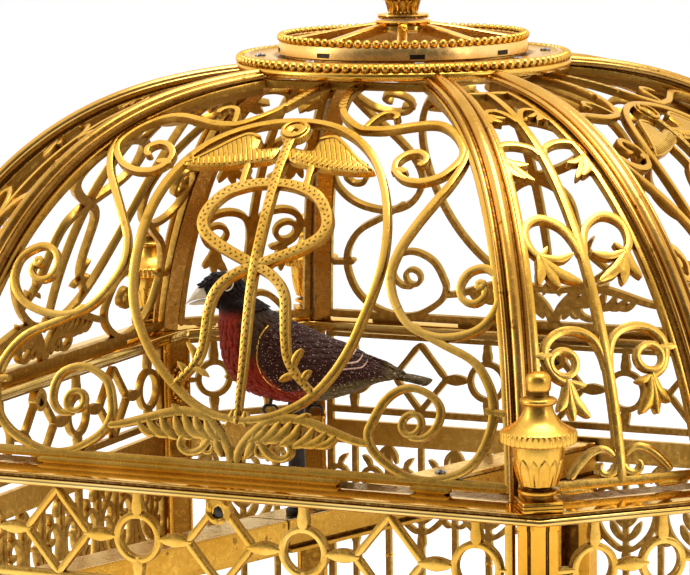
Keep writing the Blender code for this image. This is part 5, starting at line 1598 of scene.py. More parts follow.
@dataclass
class Urns:
    """Small urns on the cornice's corners."""

    repeater: Repeater
    inset: float = 6.0
    foot: float = CORNICE + LEDGE + 0.3
    flutes: int = 40

    def profile(self) -> list[Triple]:
        """Return radius, height and hollow values, from the foot to the top."""
        foot = [(0, 2.1, 0.4), (3.2, 2.1, 0.9), (3.3, 2.5, 0.9), (3.3, 3.3, 0.7), (3.9, 3.5, 0.5),
                (4.5, 3.75, 0.1), (4.65, 4.1, 0.0), (4.6, 4.5, 0.0), (4.0, 4.72, 0.3), (3.0, 4.75, 1.0),
                (2.9, 4.95, 1.0)]
        cup = [(3.3, 5.4, 0.8), (3.9, 5.8, 0.5), (4.3, 6.4, 0.3), (4.8, 8.0, 0.2), (5.3, 10.0, 0.1),
               (5.6, 11.8, 0.0), (5.75, 13.4, 0.0), (5.7, 14.5, 0.1)]
        rim = [(6.4, 14.75, 0.9), (7.8, 14.9, 0.5), (8.35, 15.15, 0.1), (8.6, 15.6, 0.0), (8.6, 17.2, 0.0),
               (8.45, 17.65, 0.0), (8.0, 17.85, 0.0)]
        bell = [(7.0, 18.35, 0.0), (5.7, 19.05, 0.0), (4.8, 19.8, 0.0), (4.2, 20.6, 0.0), (3.7, 21.5, 0.0),
                (3.35, 22.4, 0.1), (3.15, 23.4, 0.5)]
        collar = [(3.9, 23.7, 0.4), (4.1, 24.1, 0.0), (4.1, 24.6, 0.0), (3.7, 24.95, 0.1), (2.6, 25.1, 0.8),
                  (2.4, 25.4, 1.0), (2.4, 26.4, 1.0)]
        ball = [(2.6, 26.6, 0.5), (2.8, 27.1, 0.0), (2.86, 28.4, 0.0), (2.8, 29.4, 0.0), (2.4, 30.2, 0.0),
                (1.4, 30.62, 0.0), (0, 30.7, 0.0)]
        return foot + cup + rim + bell + collar + ball

    def plinth(self, maker: MeshMaker) -> None:
        """Add the square block under the urn, with two grooves round it."""
        rows = []
        groove, face = 4.42, 4.6
        for level, half in ((0, 4.5), (0.1, face), (0.6, face), (0.68, groove), (0.82, groove), (0.9, face),
                            (1.4, face), (1.48, groove), (1.62, groove), (1.7, face), (2.15, face),
                            (2.3, 4.45)):
            cut = half - 0.35
            rows.append([(x, y, level) for x, y in ((half, -cut), (half, cut), (cut, half), (-cut, half),
                                                    (-half, cut), (-half, -cut), (-cut, -half),
                                                    (cut, -half))])
        maker.bar(rows, np.array([0.5, 0, 0, 1, 1, 0, 0, 1, 1, 0, 0, 0.2])[:, None])

    def build(self) -> None:
        """Build one urn and place it on all eight corners."""
        profile = self.profile()
        levels = np.array([p[1] for p in profile])

        def flutes(angle: Array, index: Array) -> Array:
            """Upright flutes round the wide disc."""
            level = levels[index]
            share = np.clip((level - 14.8) / 0.6, 0, 1) * np.clip((17.8 - level) / 0.5, 0, 1)
            return -0.42 * share * (0.5 + 0.5 * np.cos(angle * self.flutes)) ** 1.5

        maker = MeshMaker(Finish.URN)
        lathe(maker, profile, self.flutes * 5, ripple=flutes)
        self.plinth(maker)
        pieces = [add_object("urn_body", maker.mesh("urn", 60, WELD))]
        for radius, level, first in ((4.1, 5.7, 0.0), (3.95, 5.6, math.pi / 7)):
            spots, away = around(radius, level, 7, first)
            pieces.append(self.repeater.run("petals", petal_shape(), spots, away, UP, Finish.URN))
        urn = join("urn", *pieces)
        for index, (x, y, z) in enumerate(octagon(self.inset, self.foot)):
            mesh = turned_copy(urn.data, f"urn_{index}", math.atan2(y, x), (x, y, z))
            settle(add_object(f"fluted_urn_{index + 1}", mesh), "cage", "gilt_brass", f"urn_{index + 1}")
        bpy.data.objects.remove(urn)


def petal_shape() -> bpy.types.Mesh:
    """Mesh of a lotus petal that rises along X and leans out along Z."""
    maker = MeshMaker(Finish.URN)
    t, v = leaf_shares(11, 9)
    half = 2.35 * np.sqrt(np.clip(1.001 - t ** 3.2, 0, 1)) * (0.86 + 0.14 * t)
    z = 0.27 + 1.45 * t + 0.25 * np.sin(math.pi * t) - 0.55 * v ** 2
    z = z - 0.22 * np.exp(-((np.abs(v) - 0.74) / 0.10) ** 2) - 0.05 * np.exp(-(v / 0.10) ** 2) * (t < 0.3)
    front = stacked(6.3 * t, half * v, z)
    hollow = np.exp(-((np.abs(v) - 0.74) / 0.14) ** 2) * 0.8 + (np.abs(v) > 0.98) + (t > 0.97) * 0.9
    hollow = np.clip(hollow + np.exp(-(v / 0.10) ** 2) * (t < 0.3) * 0.25, 0, 1)
    maker.shell(front, front - UP * 0.7, hollow, 0.9)
    return maker.mesh("petal", 50)


def ball_shape(sides: int = 12) -> bpy.types.Mesh:
    """Mesh of a ball of 1 mm radius."""
    maker = MeshMaker(Finish.GILT)
    lathe(maker, [(max(0.0, math.cos(a)), math.sin(a)) for a in np.linspace(-math.pi / 2, math.pi / 2, 7)],
          sides)
    return maker.mesh("ball", 60, WELD)


@dataclass
class Walls:
    """The eight grilles under the cornice and the fluted pilasters at the corners."""

    repeater: Repeater
    pitch: float = 21.5
    middle: float = -13.3
    rail: float = -31.0
    foot_rail: float = -193.9
    wide_end: float = 73.3
    narrow_end: float = 18.6
    post_inset: float = 14.5
    post_half: float = 4.5
    post_depth: float = 3.0

    def rail_section(self) -> list[Triple]:
        """Return the section of a moulded rail, 7 mm tall."""
        return mirrored_section([(-3.5, -1.0, 0.6), (-3.5, 0.95, 0.15), (-3.25, 1.2, 0.0), (-2.7, 1.25, 0.0),
                                 (-2.5, 1.05, 0.7), (-2.4, 0.7, 1.0), (-2.0, 0.65, 0.8), (-1.75, 0.95, 0.2),
                                 (-1.2, 1.45, 0.0), (-0.5, 1.75, 0.0)])

    def frieze(self, rings: Sequence[float], ring: float, lozenges: Sequence[float], end: float,
               links: Sequence[float]) -> list[Stroke]:
        """Return the frieze's strips.

        Args:
            rings: where the rings stand.
            ring: their radius.
            lozenges: where the lozenges stand.
            end: half the wall's width.
            links: middles of the olive-shaped links between them.

        Returns:
            The strips.
        """
        strokes = [Stroke(((-end, -1.25), (end, -1.25)), (1.9,), straight=True, lift=0.05),
                   Stroke(((-end, -24.2), (end, -24.2)), (2.0,), straight=True, lift=0.05)]
        for u in rings:
            strokes.append(Stroke(ring_points((u, self.middle), ring, ring), (1.7,), closed=True))
            for start, end in ((self.middle + ring - 0.8, -1.6), (self.middle - ring + 0.8, -23.8)):
                points = tuple((u, start + (end - start) * k / 6) for k in range(7))
                strokes.append(Stroke(points, (2.0, 2.4, 3.0, 2.8, 2.2, 2.2, 2.6), lift=0.04))
        for u in links:
            ahead = 0.7 * (1 if any(abs(u + reach - place) < 1 for place in rings for reach in (10.75, 8.5))
                           else -1)
            points = tuple((u + ahead + x, self.middle) for x in (-4.2, -2.8, -1.4, 0.0, 1.4, 2.8, 4.2))
            strokes.append(Stroke(points, (1.3, 2.2, 3.1, 3.4, 3.1, 2.2, 1.3), lift=0.05))
        tall, broad = 10.2, 8.4
        for u in lozenges:
            corners = [(u, self.middle + tall), (u + broad, self.middle), (u, self.middle - tall),
                       (u - broad, self.middle)]
            for a, b in zip(corners, corners[1:] + corners[:1]):
                strokes.append(Stroke((a, b), (1.9, 1.6, 1.9), straight=True, lift=0.02))
        return strokes

    def crest(self, u: float, sign: int) -> list[Stroke]:
        """Return a leafy crest on a bar, near the upper rail (sign 1) or the lower one (sign -1).

        Args:
            u: the bar.
            sign: which end of the bar.

        Returns:
            The strips.
        """
        base = -60.5 if sign > 0 else -165.5

        def at(x: float, rise: float) -> Pair:
            """Return a place from the distance aside and the distance towards the rail."""
            return (u + x, base + sign * rise)

        strokes = []
        for side in (-1, 1):
            scroll = [(0.6, 0.0), (3.6, 1.6), (7.4, 5.4), (9.3, 10.6), (8.9, 15.6), (6.3, 18.6), (3.4, 17.9),
                      (2.6, 15.2), (4.4, 13.6), (6.0, 14.8)]
            strokes.append(Stroke(tuple(at(side * x, y) for x, y in scroll), (1.5, 1.9, 1.8, 1.6, 1.3)))
            for root, tip, width in (((0.4, 3.0), (4.6, 9.0), 2.2), ((0.4, 7.0), (3.6, 13.4), 2.0),
                                     ((6.8, 5.0), (9.9, 2.6), 1.7), ((9.0, 13.8), (10.4, 18.6), 1.7),
                                     ((5.2, 18.6), (2.6, 22.6), 1.8)):
                strokes.append(leaf_lobe(at(side * root[0], root[1]), at(side * tip[0], tip[1]), width,
                                         -side * sign * 0.6))
        strokes.append(leaf_lobe(at(0.0, 1.0), at(0.0, -5.4), 2.6))
        strokes.append(Stroke((at(-2.4, 0.4), at(0.0, 0.9), at(2.4, 0.4)), (1.6,), lift=0.1))
        return strokes

    def drop(self, u: float, sign: int) -> list[Stroke]:
        """Return three drooping leaves that hang from a rail beside a bar."""
        base = -34.6 if sign > 0 else -190.2
        leaves = []
        for x, length, width in ((-1.5, 5.4, 1.6), (1.5, 5.4, 1.6), (0.0, 9.0, 2.4)):
            leaves.append(leaf_lobe((u + x * 0.4, base), (u + 1.9 * x, base - sign * length), width,
                                    0.3 * x * sign))
        return leaves

    def grille(self, bars: Sequence[float], middle: int) -> list[Stroke]:
        """Return the upright bars, with crests on the middle one and on every second one from it.

        Args:
            bars: where the bars stand.
            middle: which bar is in the middle.

        Returns:
            The strips.
        """
        strokes = [Stroke(((u, -190.8), (u, -34.2)), (1.7,), straight=True, lift=0.02) for u in bars]
        for index, u in enumerate(bars):
            for sign in (-1, 1):
                strokes += self.crest(u, sign) if (index - middle) % 2 == 0 else self.drop(u, sign)
        return strokes

    def sheet_object(self, name: str, apothem: float, strokes: Sequence[Stroke],
                     end: float) -> bpy.types.Object:
        """Build one pierced wall with its two moulded rails."""
        maker = pierced_maker()
        lay_strips(maker, flat_sheet(apothem, -200.0, 2.0), strokes, 1.1)
        for level in (self.rail, self.foot_rail):
            path = np.array([(u, -apothem, level) for u in np.linspace(-end, end, 15)])
            sweep(maker, path, UP, np.array([0.0, -1.0, 0.0]), self.rail_section())
        return add_object(name, maker.mesh(name))

    def knops(self, name: str, apothem: float, bars: Sequence[float]) -> bpy.types.Object:
        """Build the turned knops on the bars."""
        spots, sizes = [], []
        for u in bars:
            for level, size in ((-110.2, 1.3), (-113.0, 1.9), (-115.8, 1.3), (-68.0, 1.3), (-158.0, 1.3)):
                spots.append((u, -apothem, level))
                sizes.append((size * 0.8, size, size))
        return self.repeater.run(name, ball_shape(), spots, (0, -1, 0), UP, Finish.GILT, sizes)

    def post_section(self) -> list[Triple]:
        """Return a pilaster's section: two flutes outside and a sunk panel inside."""
        h, d = self.post_half, self.post_depth
        half = [(-3.2, -d + 0.35, 0.7), (-3.45, -d, 0.3), (-4.2, -d, 0.0), (-h, -d + 0.3, 0.15),
                (-h, 0.0, 0.25), (-h, d - 0.35, 0.1), (-h + 0.35, d, 0.0), (-2.45, d, 0.0),
                (-2.3, d - 0.3, 0.8), (-2.15, d - 0.55, 1.0), (-1.95, d - 0.55, 1.0), (-1.8, d - 0.3, 0.9),
                (-1.65, d, 0.0)]
        return mirrored_section(half)

    def posts(self) -> bpy.types.Object:
        """Build the two pilasters of a narrow wall, with the beaded bosses on their inner faces."""
        across = math.sqrt(2) * (WIDE_APOTHEM - self.post_inset) - (NARROW_APOTHEM - self.post_inset)
        section = np.array(self.post_section())
        levels = [(-197.4, 1.07), (-193.2, 1.07), (-192.9, 1.02), (-191.8, 1.02), (-191.5, 1.05),
                  (-190.4, 1.05), (-190.0, 1.0), (-150.0, 1.0), (-110.0, 1.0), (-70.0, 1.0), (-36.6, 1.0),
                  (-36.3, 1.05), (-35.2, 1.05), (-34.9, 1.0), (-27.4, 1.0), (-27.1, 1.04), (-26.2, 1.04),
                  (-25.9, 1.0), (-3.6, 1.0), (-3.3, 1.04), (-1.8, 1.05), (-0.3, 1.05)]
        maker = MeshMaker(Finish.POST)
        spots, facing, sizes = [], [], []
        for side in (-1, 1):
            spin = np.array(Matrix.Rotation(side * math.pi / 8, 3, 'Z'))
            spot = np.array([side * across, self.post_inset - NARROW_APOTHEM, 0.0])
            rows = [stacked(section[:, 0] * scale, -section[:, 1] * scale, level) @ spin.T + spot
                    for level, scale in levels]
            maker.bar(rows, section[:, 2])
            beads = [(0.0, self.middle, 4.2, 1.9, 1.3)]
            for angle in full_turn(18):
                beads.append((2.95 * math.sin(angle), self.middle + 5.4 * math.cos(angle), 0.6, 0.6, 0.75))
            for x, z, *size in beads:
                spots.append(spin @ (x, self.post_depth, z) + spot)
                facing.append(spin @ (0.0, 1.0, 0.0))
                sizes.append(size)
        pillars = add_object("posts", maker.mesh("posts", 30))
        return join("posts", pillars,
                    self.repeater.run("bosses", ball_shape(10), spots, facing, UP, Finish.GILT, sizes))

    def boss(self, maker_sheet: Sheet) -> bpy.types.Object:
        """Build the round boss with its dark screw in the middle of a wide frieze."""
        maker = MeshMaker(Finish.GILT, Finish.DARK_STEEL)
        lay_plate(maker, maker_sheet, ring_points((0, -5.2), 3.2, 3.2, 16), 1.6, 2.6, 0.25,
                  hole=ring_points((0, -5.2), 1.75, 1.75, 12))
        lay_plate(maker, maker_sheet, ring_points((0, -5.2), 1.7, 1.7, 12), 1.1, 1.6, 0.2, slot=1)
        return add_object("boss", maker.mesh("boss"))

    def build(self) -> None:
        """Build both kinds of wall and place them on the eight sides."""
        p = self.pitch
        bars = [i * p / 2 for i in range(-6, 7)]
        apothem = WIDE_APOTHEM - WALL_INSET
        links = [(i + 0.5) * p for i in range(-3, 3)]
        strokes = self.frieze((-3 * p, -p, p, 3 * p), 5.4, (-2 * p, 0.0, 2 * p), self.wide_end, links)
        strokes += self.grille(bars, 6)
        strokes += [Stroke(((u, -197.0), (u, -0.5)), (2.0,), straight=True) for u in (-72.4, 72.4)]
        strokes += both([Stroke(((3 * p + 5.4, self.middle), (72.0, self.middle)), (1.5,), straight=True)])
        wall = join("wide_wall", self.sheet_object("wide_wall", apothem, strokes, self.wide_end),
                    self.knops("wide_knops", apothem, bars), self.boss(flat_sheet(apothem, -200.0, 2.0)))
        place_round(wall.data, QUARTERS, "pierced_wall_{}", "gilt_brass", "wall_{}")
        bpy.data.objects.remove(wall)
        apothem = NARROW_APOTHEM - WALL_INSET
        bars = (-p / 2, 0.0, p / 2)
        strokes = self.frieze((-8.5, 8.5), 4.9, (), self.narrow_end, (0.0,)) + self.grille(bars, 1)
        strokes += both([Stroke(((13.2, self.middle), (18.4, self.middle)), (1.5,), straight=True)])
        wall = join("narrow_wall", self.sheet_object("narrow_wall", apothem, strokes, self.narrow_end),
                    self.knops("narrow_knops", apothem, bars), self.posts())
        place_round(wall.data, CORNERS, "pierced_wall_{}", "gilt_brass", "corner_wall_{}")
        bpy.data.objects.remove(wall)


def octagon_spots(inset: float, level: float, spacing: float) -> tuple[Array, Array, Array]:
    """Return even points round the octagon with their outward and forward directions.

    Args:
        inset: distance in from the cornice's edge.
        level: height.
        spacing: distance between points, as near as the sides allow.

    Returns:
        Places, outward directions and forward directions.
    """
    corners = octagon(inset, level)
    spots, away, ahead = [], [], []
    for start, end in zip(corners, np.roll(corners, -1, axis=0)):
        length = np.linalg.norm(end - start)
        count = max(1, int(round(length / spacing)))
        forward = (end - start) / length
        for i in range(count):
            spots.append(start + (end - start) * (i + 0.5) / count)
            ahead.append(forward)
            away.append(np.array([forward[1], -forward[0], 0.0]))
    return np.array(spots), np.array(away), np.array(ahead)


def octagon_disc(maker: MeshMaker, inset: float, rings: Sequence[Triple], hole: float,
                 along: int = 12) -> None:
    """Build a plate from nested rings that run from the octagon to a round hole.

    Args:
        maker: where the faces go.
        inset: inset of the octagon.
        rings: share of the way to the hole, level and hollow value of each ring, as a closed loop.
        hole: radius of the hole.
        along: sections along each side.
    """
    rim = octagon_rim(octagon(inset, 0.0), along)
    inner = unit(rim) * hole
    rows = np.stack([rim * (1 - t) + inner * t + UP * level for t, level, _ in rings], axis=1)
    maker.grid(rows, True, True, np.array(rings)[:, 2], rows[..., :2].copy())


def tongue_shape() -> bpy.types.Mesh:
    """Mesh of a small leaf of a carved border, 8 mm tall along X, which swells along Z."""
    maker = MeshMaker(Finish.GILT)
    t, v = leaf_shares(6, 7)
    half = 1.85 * np.sqrt(np.clip(1 - (2 * t - 0.72) ** 4 / 2.7, 0.02, 1)) * (1 - 0.5 * t ** 4)
    z = 0.75 * (1 - v ** 2) * (0.4 + 0.6 * np.sin(math.pi * t)) - 0.15 * np.exp(-(v / 0.2) ** 2) - 0.1
    hollow = np.clip(0.9 * np.abs(v) ** 4 + 0.6 * np.exp(-(v / 0.2) ** 2), 0, 1)
    maker.grid(stacked(8.0 * t, half * v, z), hollow=hollow)
    return maker.mesh("tongue", 60)


def volute(centre: Pair, first: float, turns: float, outer: float, inner: float) -> tuple[Pair, ...]:
    """Return a spiral's points, from its outer end to its eye.

    Args:
        centre: the eye.
        first: angle of the outer end, in degrees.
        turns: number of turns; negative turns run clockwise.
        outer: radius at the start.
        inner: radius at the end.

    Returns:
        The points.
    """
    return tuple(polar(centre, outer + (inner - outer) * t ** 0.85,
                       math.radians(first) + 2 * math.pi * turns * t) for t in np.linspace(0, 1, 23))


@dataclass
class Base:
    """The octagonal base: feet, plate, moulded case with applied scrolls, and the cage's floor."""

    repeater: Repeater
    foot_circle: float = 138.0
    die_inset: float = -9.0
    die_middle: float = 57.0

    def plate(self) -> None:
        """Build the base plate with its gadrooned feet and the collar of the key hole."""
        maker = MeshMaker(Finish.GILT, Finish.POLISHED)
        rings = [(1.0, 16.0, 0.6), (0.5, 16.0, 0.3), (0.06, 16.0, 0.2), (0.003, 16.1, 0.2), (0.0, 16.6, 0.0),
                 (0.0, 18.3, 0.0), (0.004, 18.8, 0.1), (0.02, 19.0, 0.4), (0.5, 19.0, 0.3), (1.0, 19.0, 0.6)]
        octagon_disc(maker, -20.0, rings, 4.2)
        lathe(maker, [(4.25, 16.05, 0.5), (7.4, 16.05, 0.6), (7.3, 15.4, 0.0), (6.6, 15.0, 0.0),
                      (5.9, 15.2, 0.5), (5.2, 14.9, 0.0), (4.6, 15.0, 0.0), (4.25, 15.4, 0.3)], 48, slot=1,
              closed=True)
        profile = [(10.2, 16.1, 0.9), (10.6, 15.4, 0.7), (9.6, 14.9, 0.9), (9.8, 14.3, 0.2),
                   (11.0, 13.6, 0.0), (13.0, 12.0, 0.0), (14.2, 10.2, 0.0), (14.5, 8.2, 0.0),
                   (14.3, 6.0, 0.0), (13.6, 4.0, 0.0), (12.4, 2.4, 0.2), (11.2, 1.5, 0.9), (11.0, 1.1, 0.9),
                   (10.6, 0.5, 0.1), (9.8, 0.0, 0.1), (0.0, 0.0, 0.4)]
        levels = np.array([p[1] for p in profile])

        def gadroons(angle: Array, index: Array) -> Array:
            """Lobes round the foot's bulge."""
            share = np.clip((levels[index] - 2.0) / 1.5, 0, 1) * np.clip((13.8 - levels[index]) / 1.5, 0, 1)
            return -1.1 * share * (1 - np.abs(np.cos(angle * 8))) ** 2

        for angle in math.pi / 4 + full_turn(4):
            lathe(maker, profile, centre=polar((0, 0), self.foot_circle, angle), ripple=gadroons)
        settle(add_object("plate_on_bun_feet", maker.mesh("plate", 40, WELD)), "cage", "gilt_brass",
               "base_plate")

    def case_profile(self) -> list[Triple]:
        """Return the case's section as inset, level and hollow values."""
        lower = [(-5.0, 19.3, 0.5), (-20.6, 19.3, 0.5), (-21.0, 19.7, 0.1), (-21.0, 26.2, 0.0),
                 (-20.7, 26.8, 0.0), (-20.1, 27.0, 0.4), (-19.2, 27.2, 1.0), (-19.0, 27.8, 0.9),
                 (-19.5, 28.2, 0.2), (-19.8, 29.0, 0.0), (-19.8, 29.8, 0.0), (-19.4, 30.6, 0.2),
                 (-18.8, 31.0, 1.0), (-18.2, 31.3, 0.5)]
        cyma = [(-17.0, 31.9, 0.5), (-15.6, 33.0, 0.5), (-14.2, 34.6, 0.5), (-13.0, 36.6, 0.5),
                (-12.0, 38.4, 0.5), (-11.0, 39.6, 0.6), (-10.4, 40.2, 1.0), (-10.3, 40.7, 1.0),
                (-10.8, 41.3, 0.1), (-10.8, 42.3, 0.0), (-10.1, 43.1, 0.3), (-9.2, 43.5, 1.0),
                (-9.0, 44.0, 0.7), (-9.0, 45.0, 0.2)]
        upper = [(-9.0, 69.0, 0.2), (-9.0, 70.0, 0.7), (-9.3, 70.3, 0.9), (-9.6, 70.6, 1.0),
                 (-9.6, 72.9, 1.0), (-10.1, 73.2, 0.9), (-10.8, 73.5, 0.1), (-11.1, 74.1, 0.0),
                 (-11.3, 74.8, 0.5), (-12.4, 75.4, 0.1), (-13.6, 76.8, 0.0), (-14.4, 78.4, 0.0),
                 (-14.7, 79.6, 0.4), (-14.7, 80.0, 0.9), (-15.3, 80.3, 0.1), (-15.5, 80.8, 0.0),
                 (-15.5, 82.7, 0.0), (-15.1, 83.4, 0.0), (-14.3, 83.85, 0.1), (-13.0, 84.0, 0.3),
                 (-5.0, 84.0, 0.5)]
        return lower + cyma + upper

    def scroll(self, half_width: float, waves: int) -> list[Stroke]:
        """Return the applied scrolls right of the middle of one side.

        Args:
            half_width: half the side's width.
            waves: how many spirals.

        Returns:
            The strips, with their mirror images.
        """
        first, last = 12.0 if waves > 1 else 9.0, half_width - 7.0
        length = (last - first) / waves
        stem = tuple((u, self.die_middle + 6.6 * math.sin(math.pi * (u - first) / length))
                     for u in np.linspace(first, last, 8 * waves + 1))
        strokes = [Stroke(stem, (2.4, 2.0, 1.9, 1.8, 1.5), lift=0.05)]
        for k in range(waves):
            sign = 1 if k % 2 == 0 else -1
            centre = (first + (k + 0.52) * length, self.die_middle - sign * 1.2)
            outer = min(7.6, length * 0.40)
            points = volute(centre, sign * 152.0, -sign * 1.45, outer, 1.3)
            strokes.append(Stroke(points, (1.5, 2.1, 1.8, 1.4, 1.2), lift=0.1))
            strokes.append(Stroke(ring_points(centre, 1.1, 1.1, 10), (1.3,), closed=True, lift=0.3))
            for degrees in (-150, -112, -74, -36, 0):
                angle = math.radians(degrees) * sign
                tip = polar(centre, 1.24 * outer, angle - 0.3 * sign)
                strokes.append(leaf_lobe(polar(centre, 0.80 * outer, angle), tip, 2.0, 0.35 * sign))
            joint = first + (k + 1) * length
            for tip in ((joint + 2.6, self.die_middle + sign * 4.6),
                        (joint + 3.8, self.die_middle - sign * 0.8),
                        (joint + 1.0, self.die_middle - sign * 5.4)):
                strokes.append(leaf_lobe((joint - 1.6, self.die_middle + sign * 0.4), tip, 1.9, 0.3 * sign))
        return both(strokes)

    def side_ornament(self, maker: MeshMaker, apothem: float, half_width: float, waves: int) -> None:
        """Lay the border, the rosette and the scrolls on one side that faces -Y.

        Args:
            maker: mesh that the strips are added to.
            apothem: distance of the side from the axis.
            half_width: half the width of the side.
            waves: number of waves of the scroll.
        """
        sheet = flat_sheet(apothem, 0.0, 120.0)
        edge, low, high = half_width - 3.6, 46.8, 67.4
        corners = [(-edge, low), (edge, low), (edge, high), (-edge, high)]
        for a, b in zip(corners, corners[1:] + corners[:1]):
            lay_strip(maker, sheet, Stroke((a, b), (1.3,), straight=True), 0.8, 0.5, 6.0)
        for stroke in self.scroll(half_width, waves):
            lay_strip(maker, sheet, stroke, 0.75, 0.55, 0.9)
        reach = 8.4 if waves > 1 else 6.6
        middle = (0, self.die_middle)
        for ring in (0, 1):
            for angle in ring * math.pi / 8 + full_turn(8):
                petal = leaf_lobe(polar(middle, 3.1, angle), polar(middle, reach - 1.6 * ring, angle),
                                  2.9 - 0.6 * ring)
                lay_strip(maker, sheet, petal, 0.8 + 0.12 * ring, 0.5, 0.9)
        lay_strip(maker, sheet, Stroke(ring_points(middle, 3.9, 3.9), (1.5,), closed=True), 1.3, 0.7)

    def case(self) -> None:
        """Build the case and put its hole for the lever's axle through one side."""
        maker = MeshMaker(Finish.GILT)
        octagon_moulding(maker, self.case_profile(), 14)
        body = add_object("case_body", maker.mesh("case", 50))
        drill_maker = MeshMaker(Finish.GILT)
        lathe(drill_maker, [(0, 118.0), (2.9, 118.0), (2.9, 150.0), (0, 150.0)], 32)
        drill = add_object("drill", drill_maker.mesh("drill", 40, WELD))
        drill.data.transform(Matrix.Translation((0, 0, self.die_middle * MM))
                             @ Matrix.Rotation(math.pi / 2, 4, 'Y'))
        cut = body.modifiers.new("lever_hole", 'BOOLEAN')
        cut.object = drill
        cut.operation = 'DIFFERENCE'
        cut.solver = 'EXACT'
        bake_modifiers(body)
        bpy.data.objects.remove(drill)
        pieces = [body]
        wide = WIDE_APOTHEM - self.die_inset
        narrow = NARROW_APOTHEM - self.die_inset
        wide_half, narrow_half = math.sqrt(2) * narrow - wide, math.sqrt(2) * wide - narrow
        for apothem, half, waves, turn in ((wide, wide_half, 3, 0.0), (narrow, narrow_half, 1, math.pi / 4)):
            side_maker = pierced_maker()
            self.side_ornament(side_maker, apothem, half, waves)
            source = side_maker.mesh("ornament")
            for angle in turn + full_turn(4):
                pieces.append(add_object("ornament", turned_copy(source, "ornament", angle)))
        spots, away, ahead = octagon_spots(-10.3, 71.75, 2.5)
        pieces.append(self.repeater.run("case_beads", dome_shape(1.12, 1.0, 8, 3), spots, away, ahead,
                                        Finish.GILT))
        spots, away, ahead = octagon_spots(-17.9, 31.4, 3.9)
        facing, rising = away * 0.74 + UP * 0.67, UP * 0.74 - away * 0.67
        pieces.append(self.repeater.run("case_leaves", tongue_shape(), spots, facing, rising, Finish.GILT,
                                        1.28))
        settle(join("moulded_case", *pieces), "cage", "gilt_brass", "base_case")

    def floor(self) -> None:
        """Build the cage's floor with its stepped rim and sunk field."""
        rings = [(1.0, 84.3, 0.5), (0.3, 84.3, 0.4), (0.01, 84.35, 0.3), (0.0, 84.8, 0.0), (0.0, 86.2, 0.0),
                 (0.004, 86.9, 0.0), (0.012, 87.25, 0.1), (0.03, 87.3, 0.0), (0.20, 87.3, 0.0),
                 (0.204, 87.0, 0.9), (0.214, 87.0, 0.9), (0.218, 87.3, 0.0), (0.235, 87.3, 0.0),
                 (0.24, 87.1, 0.6), (0.55, 87.1, 0.05), (0.554, 86.9, 0.9), (0.564, 86.9, 0.9),
                 (0.568, 87.1, 0.0), (0.80, 87.1, 0.05), (0.81, 87.3, 0.0), (0.84, 87.3, 0.0),
                 (0.85, 87.0, 0.8), (1.0, 87.0, 0.3)]
        maker = MeshMaker(Finish.BRUSHED)
        octagon_disc(maker, -11.0, rings, 0.4, 16)
        lathe(maker, [(0.0, 84.3, 0.5), (0.6, 84.3, 0.5), (0.6, 87.05, 0.5), (0.0, 87.2, 0.2)], 16)
        settle(add_object("stepped_floor", maker.mesh("floor_plate", 40, WELD)), "cage", "gilt_brass",
               "cage_floor")

    def build(self) -> None:
        """Build all three."""
        self.plate()
        self.case()
        self.floor()


def tube(maker: MeshMaker, points: Sequence[Sequence[float]], radius: Sequence[float] | float, sides: int = 8,
         step: float = 0.6, slot: int = 0) -> None:
    """Run a round wire through points.

    Args:
        maker: where the faces go.
        points: places that the wire passes.
        radius: its radius, or radii spread evenly along it.
        sides: number of sides.
        step: distance between sections.
        slot: which of the maker's finishes.
    """
    line = smooth_line(points, step)
    ahead = unit(np.gradient(line, axis=0))
    radii = np.interp(np.linspace(0, 1, len(line)), np.linspace(0, 1, np.size(radius)), np.atleast_1d(radius))
    radii[[0, -1]] *= 0.5
    side = np.cross(ahead[0], UP)
    if np.linalg.norm(side) < 0.1:
        side = np.cross(ahead[0], (0.0, 1.0, 0.0))
    rows = []
    angles = full_turn(sides)[:, None]
    for spot, forward, size in zip(line, ahead, radii):
        side = unit(side - forward * (side @ forward))
        rows.append(spot + size * (np.cos(angles) * side + np.sin(angles) * np.cross(forward, side)))
    maker.bar(rows, slot=slot)


def aimed(mesh: bpy.types.Mesh, spot: Sequence[float], facing: Sequence[float],
          heading: Sequence[float]) -> bpy.types.Mesh:
    """Turn a mesh so that its Z faces one way and its X another, and move it by millimetres."""
    z = Vector(facing).normalized()
    x = Vector(heading)
    x = (x - z * x.dot(z)).normalized()
    turn = Matrix((x, z.cross(x), z)).transposed().to_4x4()
    mesh.transform(Matrix.Translation(Vector(spot) * MM) @ turn)
    return mesh


def screw_object(spot: Sequence[float], heading: Triple, radius: float) -> bpy.types.Object:
    """Place an upright screw, with its slot across a heading."""
    screw = screw_shape()
    screw.transform(Matrix.Scale(radius, 4))
    return add_object("screw", aimed(screw, spot, UP, heading))


def feather_shape() -> bpy.types.Mesh:
    """Mesh of a closed, cupped feather of 1 mm length that points along X."""
    maker = MeshMaker(Finish.PLUMAGE)
    t, v = leaf_shares(5, 5)
    half = 0.34 * np.sin(math.pi * np.clip(0.12 + 0.80 * t, 0, 1)) ** 0.6
    z = 0.10 * np.sin(math.pi * t) - 0.09 * v ** 2 + 0.03 * np.exp(-(v / 0.3) ** 2)
    top = stacked(t - 0.10 * v ** 2 * t, half * v, z)
    maker.shell(top, top - UP * 0.06)
    return maker.mesh("feather", 70)


FEATHER_LIFT = 0.05


